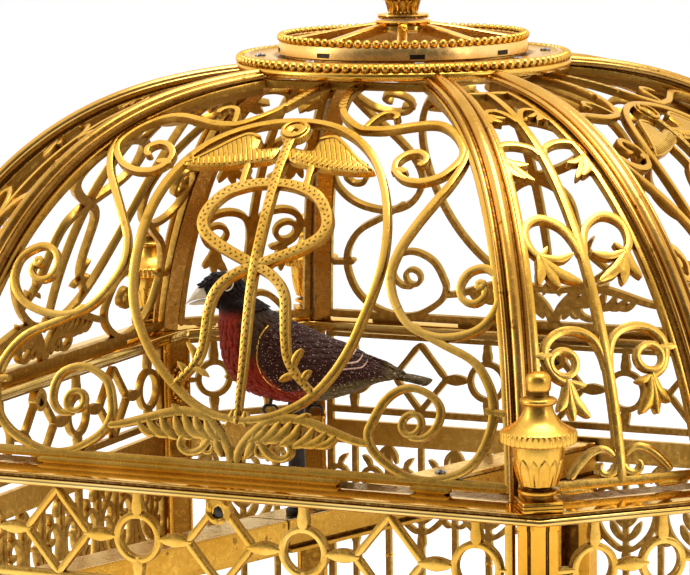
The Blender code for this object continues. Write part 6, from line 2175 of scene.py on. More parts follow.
@dataclass
class Bird:
    """The singing bird: body, turning head, lower beak and flicking tail, with x towards the tail."""

    repeater: Repeater
    body_back: tuple[Pair, ...] = ((-7.3, 25.85), (-5.6, 24.6), (-2.5, 22.8), (2.0, 20.6), (7.0, 18.2),
                                   (12.4, 15.9), (17.5, 13.0), (22.0, 10.2), (24.7, 9.1), (25.3, 8.6))
    body_belly: tuple[Pair, ...] = ((-20.5, 25.85), (-20.2, 20.5), (-19.2, 12.5), (-14.5, 5.2), (-4.5, 1.5),
                                    (5.0, 1.4), (13.0, 3.0), (20.0, 5.6), (24.5, 6.8), (25.2, 7.2))
    body_half: tuple[float, ...] = (6.6, 8.2, 10.3, 11.6, 11.6, 9.8, 7.2, 4.4, 2.6, 1.4)
    head_back: tuple[Pair, ...] = ((-7.3, 26.15), (-9.6, 27.6), (-12.2, 29.3), (-13.1, 31.2), (-14.0, 33.0),
                                   (-15.6, 34.6), (-17.4, 35.4), (-18.6, 35.6))
    head_belly: tuple[Pair, ...] = ((-20.5, 26.15), (-22.3, 27.6), (-23.6, 29.3), (-24.4, 31.2),
                                    (-24.4, 33.0), (-22.6, 34.7), (-20.6, 35.5), (-19.2, 35.65))
    head_half: tuple[float, ...] = (6.6, 6.4, 5.9, 5.5, 4.8, 3.3, 1.5, 0.4)
    eye: Pair = (-18.0, 33.1)

    def matrix(self) -> Matrix:
        """Return where the bird's own frame stands in the scene."""
        return Matrix.Translation(Vector(BIRD_SPOT) * MM) @ Matrix.Rotation(FACING, 4, 'Z')

    def form(self, back: Sequence[Pair], belly: Sequence[Pair], half: Sequence[float], step: float,
             around_count: int) -> Array:
        """Return a smooth grid of points over a part of the bird.

        Args:
            back: its upper line.
            belly: its lower line.
            half: half its width at each of these points.
            step: distance between rings.
            around_count: points on each ring.

        Returns:
            Points by ring and angle.
        """
        lines = smooth_line([(*b, *l, w) for b, l, w in zip(back, belly, half)], step)
        upper, lower = stacked(lines[:, 0], 0.0, lines[:, 1]), stacked(lines[:, 2], 0.0, lines[:, 3])
        angles = full_turn(around_count)
        middle, reach = (upper + lower) / 2, (upper - lower) / 2
        rings = middle[:, None] + reach[:, None] * np.cos(angles)[:, None]
        rings[..., 1] += lines[:, None, 4] * np.sin(angles)
        return rings

    def tract(self, name: str, rings: Array, size: Pair, spacing: Pair,
              keep: Callable[[Array], Array]) -> bpy.types.Object:
        """Lay overlapping feathers over a grid of points.

        Args:
            name: the tract's name.
            rings: the grid.
            size: length and width of a feather.
            spacing: distance between rows and between feathers of a row.
            keep: tells which places get a feather.

        Returns:
            The feathers.
        """
        ahead = np.gradient(rings, axis=0)
        side = np.roll(rings, -1, axis=1) - np.roll(rings, 1, axis=1)
        normal = unit(np.cross(side, ahead))
        outward = rings - rings.mean(axis=1, keepdims=True)
        normal *= np.sign((normal * outward).sum(axis=-1, keepdims=True) + 1e-9)
        spots, facing, heading = [], [], []
        walked = distances(rings.mean(axis=1))
        for row, level in enumerate(np.arange(0.4, walked[-1] - 0.2, spacing[0])):
            i = int(np.argmin(np.abs(walked - level)))
            count = max(4, int(distances(rings[i])[-1] / spacing[1]))
            for k in range(count):
                j = int(((k + 0.5 * (row % 2)) / count) % 1.0 * rings.shape[1])
                spots.append(rings[i, j] + normal[i, j] * FEATHER_LIFT)
                facing.append(normal[i, j])
                heading.append(unit(ahead[i, j]))
        chosen = keep(np.array(spots))
        spots, facing, heading = (np.array(values)[chosen] for values in (spots, facing, heading))
        return self.repeater.run(name, feather_shape(), spots, facing - 0.10 * heading, heading,
                                 Finish.PLUMAGE, [(size[0], size[1] * 1.5, size[0] * 0.65)])

    def side_height(self, rings: Array, x: Array, z: Array) -> Array:
        """Return how far the body's skin stands out at points of its side view."""
        flat = rings[:, : rings.shape[1] // 2].reshape(-1, 3)
        found = []
        for a, b in zip(np.ravel(x), np.ravel(z)):
            gap = (flat[:, 0] - a) ** 2 + (flat[:, 2] - b) ** 2
            near = np.argpartition(gap, 4)[:4]
            weight = 1 / (gap[near] + 1e-4)
            found.append(float((np.abs(flat[near, 1]) * weight).sum() / weight.sum()))
        return np.array(found).reshape(np.shape(x))

    def wing(self, rings: Array) -> bpy.types.Object:
        """Build both folded wings: a raised shell with coverts and long flight feathers.

        Args:
            rings: rings of the body that the wings lie on.

        Returns:
            Both wings as one object.
        """
        front = smooth_line([(-6.2, 23.2), (-8.8, 20.5), (-9.9, 17.0), (-9.9, 13.0), (-8.6, 9.6), (-6.2, 7.0),
                             (-2.6, 5.2)], 0.9)
        rear = smooth_line([(24.6, 9.7), (24.4, 8.9), (23.4, 8.0), (21.0, 7.2)], 0.3)
        rear = rear[np.linspace(0, len(rear) - 1, len(front)).astype(int)]
        p = np.linspace(0, 1, 34)[:, None, None]
        bow = stacked(0.0, np.linspace(0.9, -1.9, len(front)))
        flat = front[None] * (1 - p) + rear[None] * p + bow[None] * np.sin(math.pi * p)
        skin = self.side_height(rings, flat[..., 0], flat[..., 1])
        q = np.linspace(-1, 1, len(front))[None, :]
        rise = 0.8 * np.clip(p[..., 0] * 9, 0, 1) ** 0.5 * (1 - 0.75 * np.abs(q) ** 5) * (1 - 0.6 * p[..., 0])
        maker = MeshMaker(Finish.PLUMAGE, Finish.GILT)
        spots, facing, heading, sizes = [], [], [], []
        for side in (-1, 1):
            outer = stacked(flat[..., 0], side * (skin + rise), flat[..., 1])
            maker.shell(outer, stacked(flat[..., 0], side * (skin - 0.9), flat[..., 1]))
            edge = outer[0, 1:-1].copy()
            edge[:, 1] = side * (skin[0, 1:-1] + 0.25)
            tube(maker, edge, 0.24, 8, 0.8, 1)
            rows, columns = outer.shape[:2]
            for i in range(0, rows - 3, 2):
                for j in range(1 + (i // 2) % 2, columns - 1, 2):
                    forward = outer[i + 2, j] - outer[i, j]
                    normal = unit(np.cross(forward, outer[i, j + 1] - outer[i, j - 1]))
                    normal *= side * np.sign(normal[1])
                    spots.append(outer[i, j] + normal * FEATHER_LIFT)
                    facing.append(normal - 0.09 * unit(forward))
                    heading.append(unit(forward))
                    longer = 1 + 1.9 * np.clip((i - 8) / 16, 0, 1)
                    sizes.append((2.7 * longer, 3.4 if i < 14 else 2.8, 1.6))
        shells = add_object("wing_shells", maker.mesh("wing_shells", 50))
        return join("wings", shells, self.repeater.run("wing_feathers", feather_shape(), spots, facing,
                                                       heading, Finish.PLUMAGE, sizes))

    def claws(self) -> bpy.types.Object:
        """Build the short legs with their curled claws."""
        maker = MeshMaker(Finish.DARK_STEEL)
        for x, y, low in ((-7.15, -4.0, 0.4), (4.6, -1.6, -0.3)):
            tube(maker, [(x + 0.5, y, low + 2.6), (x + 0.2, y, low + 1.0), (x, y, low)], 0.5, 10)
            for turn in (-0.55, 0.0, 0.55, math.pi):
                line = [(*polar((x, y), reach, math.pi - turn), low + level)
                        for reach, level in ((0, 0), (1.2, 0.1), (1.9, -0.8), (1.7, -1.6), (1.0, -1.8))]
                tube(maker, line, (0.34, 0.34, 0.28, 0.12), 8, 0.4)
        return add_object("claws", maker.mesh("claws", 60))

    def build_body(self) -> None:
        """Build the body with its plumage, wings and claws."""
        rings = self.form(self.body_back, self.body_belly, self.body_half, 0.7, 56)
        maker = MeshMaker(Finish.PLUMAGE)
        maker.bar(rings)
        skin = add_object("body_skin", maker.mesh("body_skin", 60))

        def clear_of_joint(spots: Array) -> Array:
            """Keep feathers away from the neck's joint and the rump's tip."""
            return (spots[:, 2] < 25.2) & (spots[:, 0] < 21.6)

        feathers = self.tract("body_feathers", rings, (2.6, 1.7), (1.25, 1.5), clear_of_joint)
        piece = join("feathered_body", skin, feathers, self.wing(rings), self.claws())
        piece.data.transform(self.matrix())
        settle(piece, "cage", "plumage_dark", "bird_body")

    def build_head(self) -> None:
        """Build the head with its eyes and the upper beak."""
        rings = self.form(self.head_back, self.head_belly, self.head_half, 0.5, 48)
        maker = MeshMaker(Finish.PLUMAGE, Finish.BEAK)
        maker.bar(rings)
        beak = self.form(((-20.6, 34.0), (-22.4, 33.3), (-24.2, 32.7), (-25.9, 31.6), (-27.4, 29.8),
                          (-28.6, 28.0), (-29.35, 26.75)),
                         ((-20.6, 29.0), (-22.4, 28.85), (-24.2, 28.6), (-25.9, 28.3), (-27.4, 27.9),
                          (-28.6, 27.2), (-29.3, 26.5)), (3.0, 2.7, 2.3, 1.75, 1.15, 0.6, 0.15), 0.5, 28)
        maker.bar(beak, slot=1)
        pieces = [add_object("head_skin", maker.mesh("head_skin", 60))]

        def around_eyes(spots: Array) -> Array:
            """Keep feathers off the eyes, the beak and the joint."""
            eye = np.hypot(spots[:, 0] - self.eye[0], spots[:, 2] - self.eye[1]) > 2.1
            beak_root = (spots[:, 0] > -23.0) | (np.abs(spots[:, 1]) > 2.8)
            return (eye | (np.abs(spots[:, 1]) < 2.4)) & (spots[:, 2] > 26.5) & beak_root

        pieces.append(self.tract("head_feathers", rings[::-1], (1.7, 1.15), (0.85, 1.05), around_eyes))
        for side in (-1, 1):
            eye_maker = MeshMaker(Finish.EYE, Finish.BEAK)
            arcs = np.linspace(-0.5, math.pi / 2, 9)
            lathe(eye_maker, [(1.5 * max(0.0, math.cos(a)), 1.3 * math.sin(a)) for a in arcs], 28)
            lathe(eye_maker, ring_points((1.85, 0.2), 0.22, 0.26, 8), 36, slot=1, closed=True)
            eye = eye_maker.mesh("eye", 60, WELD)
            place = (self.eye[0], side * 4.6, self.eye[1])
            pieces.append(add_object("eye", aimed(eye, place, (-0.25, side * 0.93, 0.25), (1, 0, 0))))
        spots, facing = [], []
        for x, z, wide in ((-21.4, 34.7, 2.6), (-22.6, 33.9, 2.4), (-23.8, 33.1, 1.9)):
            for share in (-1.0, -0.5, 0.0, 0.5, 1.0):
                spots.append((x + 0.5 * abs(share), wide * share, z - 0.5 * share ** 2))
                facing.append((-0.35, 0.5 * share, 1.0))
        pieces.append(self.repeater.run("forehead", feather_shape(), spots, facing, (-1.0, 0.0, -0.45),
                                        Finish.PLUMAGE, [(2.5, 2.2, 1.4)]))
        piece = join("feathered_head", *pieces)
        piece.data.transform(self.matrix())
        settle(piece, "head", "plumage_dark", "bird_head")

    def build_beak(self) -> None:
        """Build the lower beak."""
        rings = self.form(((-23.8, 28.45), (-25.4, 28.25), (-27.2, 27.7), (-28.3, 27.15)),
                          ((-23.8, 26.9), (-25.4, 26.85), (-27.2, 26.75), (-28.25, 26.85)),
                          (1.55, 1.2, 0.7, 0.15), 0.4, 20)
        maker = MeshMaker(Finish.BEAK)
        maker.bar(rings)
        for side in (1, -1):
            tube(maker, [(-23.9, side * 1.5, 27.9), (-22.9, side * 1.2, 28.3)], 0.4, 8, 0.3)
        piece = add_object("lower_beak_horn", maker.mesh("lower_beak_horn", 60))
        piece.data.transform(self.matrix())
        settle(piece, "lower_beak", "ivory_beak", "bird_lower_beak")

    def build_tail(self) -> None:
        """Build the tail as a fan of long feathers in three layers."""
        spots, facing, heading, sizes = [], [], [], []
        for count, drop, length in ((5, 0.0, 10.2), (6, -0.45, 9.9), (5, -0.85, 9.4)):
            for k in range(count):
                share = (k - (count - 1) / 2) / ((count - 1) / 2)
                spots.append((26.1, 1.4 * share, 8.15 + drop - 0.12 * share ** 2))
                heading.append((math.cos(0.10 * share), math.sin(0.16 * share), -0.205))
                facing.append((0.2, 0.12 * share, 1.0))
                sizes.append((length - 0.3 - 0.5 * share ** 2, 3.3, 3.0))
        piece = self.repeater.run("tail_fan", feather_shape(), spots, facing, heading, Finish.PLUMAGE, sizes)
        piece.data.transform(self.matrix())
        settle(piece, "tail", "plumage_olive", "bird_tail")

    def build(self) -> None:
        """Build the body, the head, the lower beak and the tail."""
        self.build_body()
        self.build_head()
        self.build_beak()
        self.build_tail()


@dataclass
class Beam:
    """The cross beam with its cover, the channel at the back wall, the bird's post and the push rods."""

    near: Pair = (-67.2, -107.6)
    far: Pair = (7.0, 107.6)
    half: float = 5.85
    low: float = CORNICE - 39.0
    height: float = 9.0
    joint: float = 0.437
    split: float = 0.515

    def rows(self, shares: Sequence[float], sections: Sequence[Sequence[tuple[float, float]]]) -> Array:
        """Place sections across the beam, cut parallel to the walls.

        Args:
            shares: places along the beam, from 0 to 1.
            sections: a section for each place, as offsets across and levels.

        Returns:
            The corners of all sections.
        """
        near, far = np.array(self.near), np.array(self.far)
        along = (far - near) / np.linalg.norm(far - near)
        across = np.array([-along[1], along[0]])
        rows = []
        for share, section in zip(shares, sections):
            centre = near + (far - near) * share
            ring = []
            for side, level in section:
                spot = centre + across * side
                spot = spot + along * ((centre[1] - spot[1]) / along[1])
                ring.append((spot[0], spot[1], self.low + level))
            rows.append(ring)
        return np.array(rows)

    def build_beam(self) -> None:
        """Build the beam, plain up to the post and with a slotted flange beyond it."""
        h, t = self.half, self.height
        plain = [(-h, 0.3), (-h, 1.0), (-h, 1.7), (-h, 2.3), (-h, t - 0.5), (-h + 0.35, t)]
        flanged = [(-h - 0.5, 0.2), (-h - 0.5, 1.1), (-h + 1.2, 1.3), (-h + 1.2, 2.2), (-h, 2.4), (-h, t)]
        pinched = [(side * 0.86, level) for side, level in plain]

        def whole(half: Sequence[Pair]) -> list[Pair]:
            """Return both sides of a section."""
            return [(-x, z) for x, z in reversed(half)] + list(half)

        joint = self.joint
        share_list = [0.0, 0.003] + list(np.linspace(0.05, joint - 0.01, 10))
        share_list += ([joint, joint + 0.0005, joint + 0.0035, joint + 0.004]
                       + list(np.linspace(0.48, 0.95, 10)))
        share_list += [0.997, 1.0]
        sections, hollow = [], []
        for share in share_list:
            gap = joint + 0.0002 < share < joint + 0.0038
            half = pinched if gap else plain if share <= joint else flanged
            sections.append(whole(half))
            # The flange's recessed step gets hollow 1, painted shade in the slot; the gap's all-dark values
            # are the dark joint.
            shade = [0.25, 0.15, 0.1, 0.0, 0.0, 0.05] if share <= joint else [0.2, 0.1, 1.0, 1.0, 0.3, 0.05]
            hollow.append([1.0] * 12 if gap else shade[::-1] + shade)
        rows = self.rows(share_list, sections)
        maker = MeshMaker(Finish.BEAM, Finish.BEAM_TOP)
        maker.bar(rows, hollow)
        # The top face is drawn in the brighter gilt, a painted highlight where the light falls on it.
        face = [(-h + 0.5, t - 0.1), (-h + 0.65, t + 0.08), (h - 0.65, t + 0.08), (h - 0.5, t - 0.1)]
        for start, end in ((0.004, joint), (joint + 0.004, self.split)):
            maker.bar(self.rows(np.linspace(start, end, 6), [face] * 6), slot=1)
        for start, end in ((-0.006, 0.004), (0.996, 1.006)):
            tenon = [(-3.5, 1.2), (-3.3, 1.0), (3.3, 1.0), (3.5, 1.2), (3.5, 7.8), (3.3, 8.0), (-3.3, 8.0),
                     (-3.5, 7.8)]
            maker.bar(self.rows([start, end], [tenon, tenon]))
        settle(add_object("slotted_beam", maker.mesh("beam", 30)), "cage", "gilt_brass", "cross_beam")

    def build_cover(self) -> None:
        """Build the cover plate on the beam's far part, with its screws."""
        top, bottom = 10.6, 9.3
        h = self.half
        section = [(-h, bottom), (-h, top - 0.3), (-h + 0.3, top), (h - 0.3, top), (h, top - 0.3),
                   (h, bottom)]
        inner = [(x * 0.985, z) for x, z in section]
        maker = MeshMaker(Finish.POLISHED)
        shares = [self.split, self.split + 0.002] + list(np.linspace(0.55, 0.98, 8)) + [0.998, 1.0]
        sections = [inner] + [section] * (len(shares) - 2) + [inner]
        maker.bar(self.rows(shares, sections), (0.4, 0.0, 0.0, 0.0, 0.0, 0.4))
        pieces = [add_object("cover_plate", maker.mesh("cover_plate", 30))]
        for share in (0.56, 0.74, 0.93):
            spot = [a + (b - a) * share for a, b in zip(self.near, self.far)]
            pieces.append(screw_object((*spot, self.low + top), (1, share, 0), 1.5))
        settle(join("beam_cover_plate", *pieces), "cage", "polished_brass", "beam_cover")

    def build_channel(self) -> None:
        """Build the upright channel that leads the rods down at the back wall."""
        back, depth, half, slot = 109.15, 7.0, 6.0, 2.6
        x, low, high = 7.0, 87.6, 245.7
        front = back - depth
        # Painted shade: the slot's inner faces carry hollow 1 and are darkened as the shade inside the slot.
        section = np.array(mirrored_section([(-half, back, 0.3), (-half, front + 0.4, 0.1),
                                             (-half + 0.4, front, 0.0), (-slot - 0.3, front, 0.1),
                                             (-slot, front + 0.3, 0.6), (-slot, back - 2.0, 1.0)]))
        levels = [low, low + 3.0] + list(np.linspace(low + 12, high - 12, 12)) + [high - 3.0, high]
        maker = MeshMaker(Finish.POST)
        maker.bar([stacked(x + section[:, 0], section[:, 1], z) for z in levels], section[:, 2])
        settle(add_object("slotted_channel", maker.mesh("channel", 30)), "cage", "gilt_brass", "rod_channel")

    def build_post(self) -> None:
        """Build the bird's hollow post and the two push rods in it."""
        low, high = 255.3, 285.4
        # Painted shade: the bore's points carry high hollow values and are painted dark.
        profile = [(1.6, low, 1.0), (3.1, low, 0.4), (3.15, low + 0.9, 0.0), (2.8, low + 1.3, 0.3),
                   (2.4, low + 1.6, 0.6), (2.25, low + 2.2, 0.1), (2.25, low + 12, 0.0),
                   (2.25, high - 2.6, 0.0), (2.25, high - 1.2, 0.0), (2.1, high - 0.2, 0.0), (1.9, high, 0.1),
                   (1.6, high, 0.8)]
        maker = MeshMaker(Finish.DARK_STEEL)
        lathe(maker, profile, 40, POST, closed=True)
        settle(add_object("blackened_post", maker.mesh("post", 40)), "cage", "dark_steel", "bird_post")
        for name, body, side in (("beak_rod", "beak_push_rod", -0.8), ("tail_rod", "tail_push_rod", 0.8)):
            rod = [(0.0, 257.5, 0.2), (0.4, 257.5, 0.1), (0.5, 257.7, 0.0), (0.5, 265.0, 0.0),
                   (0.5, 273.0, 0.0), (0.5, 282.9, 0.0), (0.35, 283.25, 0.0), (0.0, 283.3, 0.0)]
            maker = MeshMaker(Finish.STEEL)
            lathe(maker, rod, 14, polar(POST, side, FACING))
            settle(add_object("polished_" + name, maker.mesh(name, 40, WELD)), body, "steel", name)

    def build(self) -> None:
        """Build all of them."""
        self.build_beam()
        self.build_cover()
        self.build_channel()
        self.build_post()


def block(maker: MeshMaker, low: Sequence[float], high: Sequence[float], edge: float = 0.4,
          slot: int = 0) -> None:
    """Add a block with eased edges between two opposite corners."""
    rows = []
    for z, inset in ((low[2], edge), (low[2] + edge, 0.0), (high[2] - edge, 0.0), (high[2], edge)):
        x0, y0, x1, y1 = low[0] + inset, low[1] + inset, high[0] - inset, high[1] - inset
        rows.append([(x1, y0 + edge, z), (x1, y1 - edge, z), (x1 - edge, y1, z), (x0 + edge, y1, z),
                     (x0, y1 - edge, z), (x0, y0 + edge, z), (x0 + edge, y0, z), (x1 - edge, y0, z)])
    maker.bar(rows, np.array([0.3, 0.0, 0.0, 0.1])[:, None], slot)


def gear(maker: MeshMaker, centre: Pair, module: float, teeth: int, low: float, high: float, bore: float,
         phase: float = 0.0) -> None:
    """Add a toothed ring with eased edges.

    Args:
        maker: where the faces go.
        centre: its axis.
        module: tooth size.
        teeth: number of teeth.
        low: level of its lower face.
        high: level of its upper face.
        bore: radius of the hole in it.
        phase: angle of the first tooth.
    """
    shares = ((-0.40, -1.15), (-0.26, -1.15), (-0.19, 0.0), (-0.10, 0.8), (0.10, 0.8), (0.19, 0.0),
              (0.26, -1.15))
    angles = np.array([phase + (k + share) * 2 * math.pi / teeth for k in range(teeth)
                       for share, _ in shares])
    radii = np.array([module * (teeth / 2 + reach) for _ in range(teeth) for _, reach in shares])
    rows, hollow = [], []
    for z, cut, inner in ((low, 0.15, 0), (low + 0.15, 0.0, 0), (high - 0.15, 0.0, 0), (high, 0.15, 0),
                          (high, 0, 1), (low, 0, 1)):
        reach = bore if inner else radii - cut
        rows.append(stacked(centre[0] + reach * np.cos(angles), centre[1] + reach * np.sin(angles), z))
        hollow.append(np.full(len(radii), 0.3) if inner else np.where(radii < module * teeth / 2, 0.8, 0.1))
    maker.grid(rows, True, True, hollow)


@dataclass
class Movement:
    """The spring barrel, cams, fly, winding key and start lever in the base."""

    barrel: Pair = (0.0, 0.0)
    cam_shaft: Pair = (36.0, 0.0)
    fly: Pair = (60.0, 0.0)
    arbor_top: float = 51.0

    def spokes(self, maker: MeshMaker, centre: Pair, reach: float, hub: float, low: float,
               high: float) -> None:
        """Add the five spokes and the hub of a wheel.

        Args:
            maker: mesh that they are added to.
            centre: middle of the wheel.
            reach: inner radius of the wheel's rim.
            hub: radius of the hub.
            low: level of the underside.
            high: level of the upper side.
        """
        for angle in full_turn(5):
            rows = []
            for share in np.linspace(0, 1, 6):
                x, y = polar(centre, hub * 0.8 + share * (reach + 0.3 - hub * 0.8), angle)
                dx, dy = polar((0, 0), 1.3 - 0.5 * math.sin(math.pi * share), angle + math.pi / 2)
                rows.append([(x + dx, y + dy, low + 0.2), (x + dx, y + dy, high - 0.2),
                             (x - dx, y - dy, high - 0.2), (x - dx, y - dy, low + 0.2)])
            maker.bar(rows)
        profile = [(0, low - 0.4, 0.3), (hub - 0.2, low - 0.4, 0.3), (hub, low - 0.2, 0.1),
                   (hub, high + 0.3, 0.0), (hub - 0.4, high + 0.5, 0.0), (hub - 1.2, high + 0.4, 0.6),
                   (0, high + 0.4, 0.2)]
        lathe(maker, profile, 40, centre)

    def arbor(self, maker: MeshMaker, centre: Pair, radius: float, low: float) -> None:
        """Add a steel arbor with its shoulders and pivots, up to the movement's plate."""
        high = self.arbor_top
        profile = [(0, low, 0.0), (radius * 0.6, low, 0.1), (radius * 0.65, low + 2.0, 0.0),
                   (radius, low + 2.2, 0.2), (radius, low + 6.0, 0.0), (radius * 0.9, low + 6.3, 0.6),
                   (radius * 0.9, high - 4.0, 0.0), (radius * 0.65, high - 3.8, 0.3),
                   (radius * 0.6, high - 0.3, 0.0), (0, high, 0.0)]
        lathe(maker, profile, 28, centre, slot=1)

    def build_frame(self) -> None:
        """Build the upper plate on its turned pillars, with bushes and screws."""
        maker = MeshMaker(Finish.BRUSHED, Finish.POLISHED, Finish.DARK_STEEL)
        block(maker, (-40, -36, 52), (78, 36, 54.5), 0.5)
        pieces = []
        for x in (-35, 73):
            for y in (-31, 31):
                pillar = [(3.6, 19.3, 0.4), (3.8, 19.8, 0.0), (3.6, 20.8, 0.0), (2.6, 21.4, 0.8),
                          (2.3, 23.0, 0.1), (2.3, 34.0, 0.0), (2.9, 35.0, 0.1), (2.9, 37.2, 0.0),
                          (2.3, 38.2, 0.1), (2.3, 49.0, 0.0), (2.6, 50.6, 0.8), (3.6, 51.2, 0.0),
                          (3.6, 52.2, 0.5)]
                lathe(maker, pillar, 32, (x, y), slot=1)
                pieces.append(screw_object((x, y, 54.5), (1, 0.4, 0), 2.6))
        for (x, y), size in ((self.barrel, 5.0), (self.cam_shaft, 3.8), (self.fly, 3.0)):
            bush = [(size * 0.5, 54.6, 1.0), (size * 0.6, 55.1, 0.6), (size * 0.8, 55.4, 0.0),
                    (size, 55.1, 0.0), (size + 0.3, 54.4, 0.5)]
            lathe(maker, bush, 36, (x, y), slot=1)
        pieces.append(add_object("frame_plate", maker.mesh("frame_plate", 40)))
        settle(join("movement_plate", *pieces), "cage", "polished_brass", "movement_frame")

    def build_barrel(self) -> None:
        """Build the barrel with its great wheel, cover and arbor."""
        maker = MeshMaker(Finish.POLISHED, Finish.STEEL)
        gear(maker, self.barrel, 1.8, 30, 24.5, 27.0, 20.0)
        drum = [(0, 26.4, 0.4), (20.4, 26.5, 0.6), (21.7, 27.2, 0.2), (22, 28.0, 0.0), (22, 38.4, 0.0),
                (21.7, 38.8, 0.8), (21.7, 39.1, 0.8), (22, 39.4, 0.0), (21.8, 40.6, 0.0), (20.8, 41.0, 0.0),
                (19.2, 41.0, 0.9), (18.6, 40.8, 0.9), (17.8, 41.0, 0.0), (8.0, 41.0, 0.0), (7.4, 40.6, 0.9),
                (6.6, 41.0, 0.0), (5.2, 41.6, 0.0), (4.4, 41.8, 0.3), (0, 41.8, 0.6)]
        lathe(maker, drum, centre=self.barrel)
        self.arbor(maker, self.barrel, 3.0, 22.0)
        settle(add_object("spring_drum", maker.mesh("barrel", 40, WELD)), "barrel", "polished_brass",
               "spring_barrel")

    def build_cams(self) -> None:
        """Build the cam shaft with its pinion, three cams and wheel."""
        maker = MeshMaker(Finish.POLISHED, Finish.STEEL)
        centre = self.cam_shaft
        gear(maker, centre, 1.8, 10, 24.0, 27.5, 2.0, math.pi + math.pi / 10)
        gear(maker, centre, 1.5, 24, 43.5, 45.5, 13.8)
        self.spokes(maker, centre, 13.8, 4.2, 43.5, 45.5)
        for i, (radius, shift, angle) in enumerate(((9.6, 1.2, 0), (9.0, 1.8, 130), (9.4, 1.4, 250))):
            turn = math.radians(angle)
            low = 29.0 + 4.2 * i
            cam = [(0, low, 0.4), (radius - 0.3, low, 0.3), (radius, low + 0.3, 0.0),
                   (radius, low + 2.3, 0.0), (radius - 0.3, low + 2.6, 0.0), (radius - 1.6, low + 2.6, 0.6),
                   (0, low + 2.6, 0.2)]
            lathe(maker, cam, 120, polar(centre, shift, turn),
                  ripple=lambda a, _, t=turn: -0.35 * (1 - np.cos(3 * (a - t))) ** 2 / 4)
            collar = [(3.6, low + 2.5, 0.8), (3.6, low + 3.4, 0.0), (3.3, low + 3.7, 0.1),
                      (2.0, low + 3.7, 0.6)]
            lathe(maker, collar, 32, centre)
        self.arbor(maker, centre, 2.2, 20.0)
        settle(add_object("cam_stack", maker.mesh("cams", 40, WELD)), "cams", "polished_brass", "cam_shaft")

    def build_fly(self) -> None:
        """Build the air fly with its pinion and two bowed blades."""
        maker = MeshMaker(Finish.POLISHED, Finish.STEEL)
        x, y = self.fly
        gear(maker, self.fly, 1.5, 8, 42.8, 46.2, 1.2, math.pi + math.pi / 8)
        for side in (-1, 1):
            rows = []
            for share in np.linspace(0, 1, 9):
                reach, half = x + side * (1.2 + 7.8 * share), 4.5 - 1.2 * share ** 3
                bow = 0.2 * math.sin(math.pi * share)
                rows.append([(reach, y + bow - 0.35, 34.5 - half), (reach, y + bow - 0.35, 34.5 + half),
                             (reach, y + bow + 0.35, 34.5 + half), (reach, y + bow + 0.35, 34.5 - half)])
            maker.bar(rows)
        lathe(maker, [(2.0, 31.0, 0.5), (2.2, 31.3, 0.0), (2.2, 37.7, 0.0), (2.0, 38.0, 0.3)], 24, self.fly)
        self.arbor(maker, self.fly, 1.4, 20.5)
        settle(add_object("air_fly", maker.mesh("fly", 40, WELD)), "fly", "polished_brass", "fly_governor")

    def build_key(self) -> None:
        """Build the winding key with its two-bowed grip under the base."""
        maker = MeshMaker(Finish.STEEL)
        shaft = [(0, 9.6, 0.2), (2.6, 9.8, 0.1), (3.2, 10.6, 0.0), (3.2, 12.2, 0.0), (2.7, 12.8, 0.8),
                 (2.7, 13.4, 0.8), (3.2, 14.0, 0.0), (3.2, 21.0, 0.0), (2.9, 21.5, 0.2), (0, 21.5, 0.6)]
        lathe(maker, shaft, 36, self.barrel)
        for side in (-1, 1):
            bow = [(side * (5.6 + 4.2 * math.cos(a)), 0.0, 7.6 + 3.3 * math.sin(a))
                   for a in np.linspace(math.pi, 3 * math.pi, 15)]
            tube(maker, bow, 1.15, 12, 0.5)
        tube(maker, [(0, 0, 5.4), (0, 0, 8.0), (0, 0, 10.6)], 2.0, 16, 0.6)
        settle(add_object("bowed_key", maker.mesh("key", 50)), "key", "steel", "winding_key")

    def build_lever(self) -> None:
        """Build the start lever with its axle and ball."""
        maker = MeshMaker(Finish.POLISHED, Finish.STEEL)
        tube(maker, [(126.0, 0, 57), (130, 0, 57), (134, 0, 57), (138.0, 0, 57)], 2.2, 24, 0.8, 1)
        rows = []
        for share in np.linspace(0, 1, 15):
            z = 42.0 + 18.2 * share
            half = 2.6 * (0.62 + 0.38 * share ** 2) * (1.0 if share < 0.93 else 0.75)
            rows.append([(134.7, half, z), (135.0, half + 0.15, z), (137.0, half + 0.15, z), (137.3, half, z),
                         (137.3, -half, z), (137.0, -half - 0.15, z), (135.0, -half - 0.15, z),
                         (134.7, -half, z)])
        maker.bar(rows)
        arcs = np.linspace(-math.pi / 2, math.pi / 2, 19)
        ball = [(max(0.0, 4.0 * math.cos(a)) - (0.18 if abs(a) < 0.06 else 0.0), 44 + 4.0 * math.sin(a),
                 0.7 if abs(a) < 0.06 else 0.0) for a in arcs]
        lathe(maker, ball, 40, (138.5, 0.0))
        settle(add_object("ball_lever", maker.mesh("lever", 40, WELD)), "lever", "polished_brass",
               "start_lever")

    def build(self) -> None:
        """Build all of them."""
        self.build_frame()
        self.build_barrel()
        self.build_cams()
        self.build_fly()
        self.build_key()
        self.build_lever()


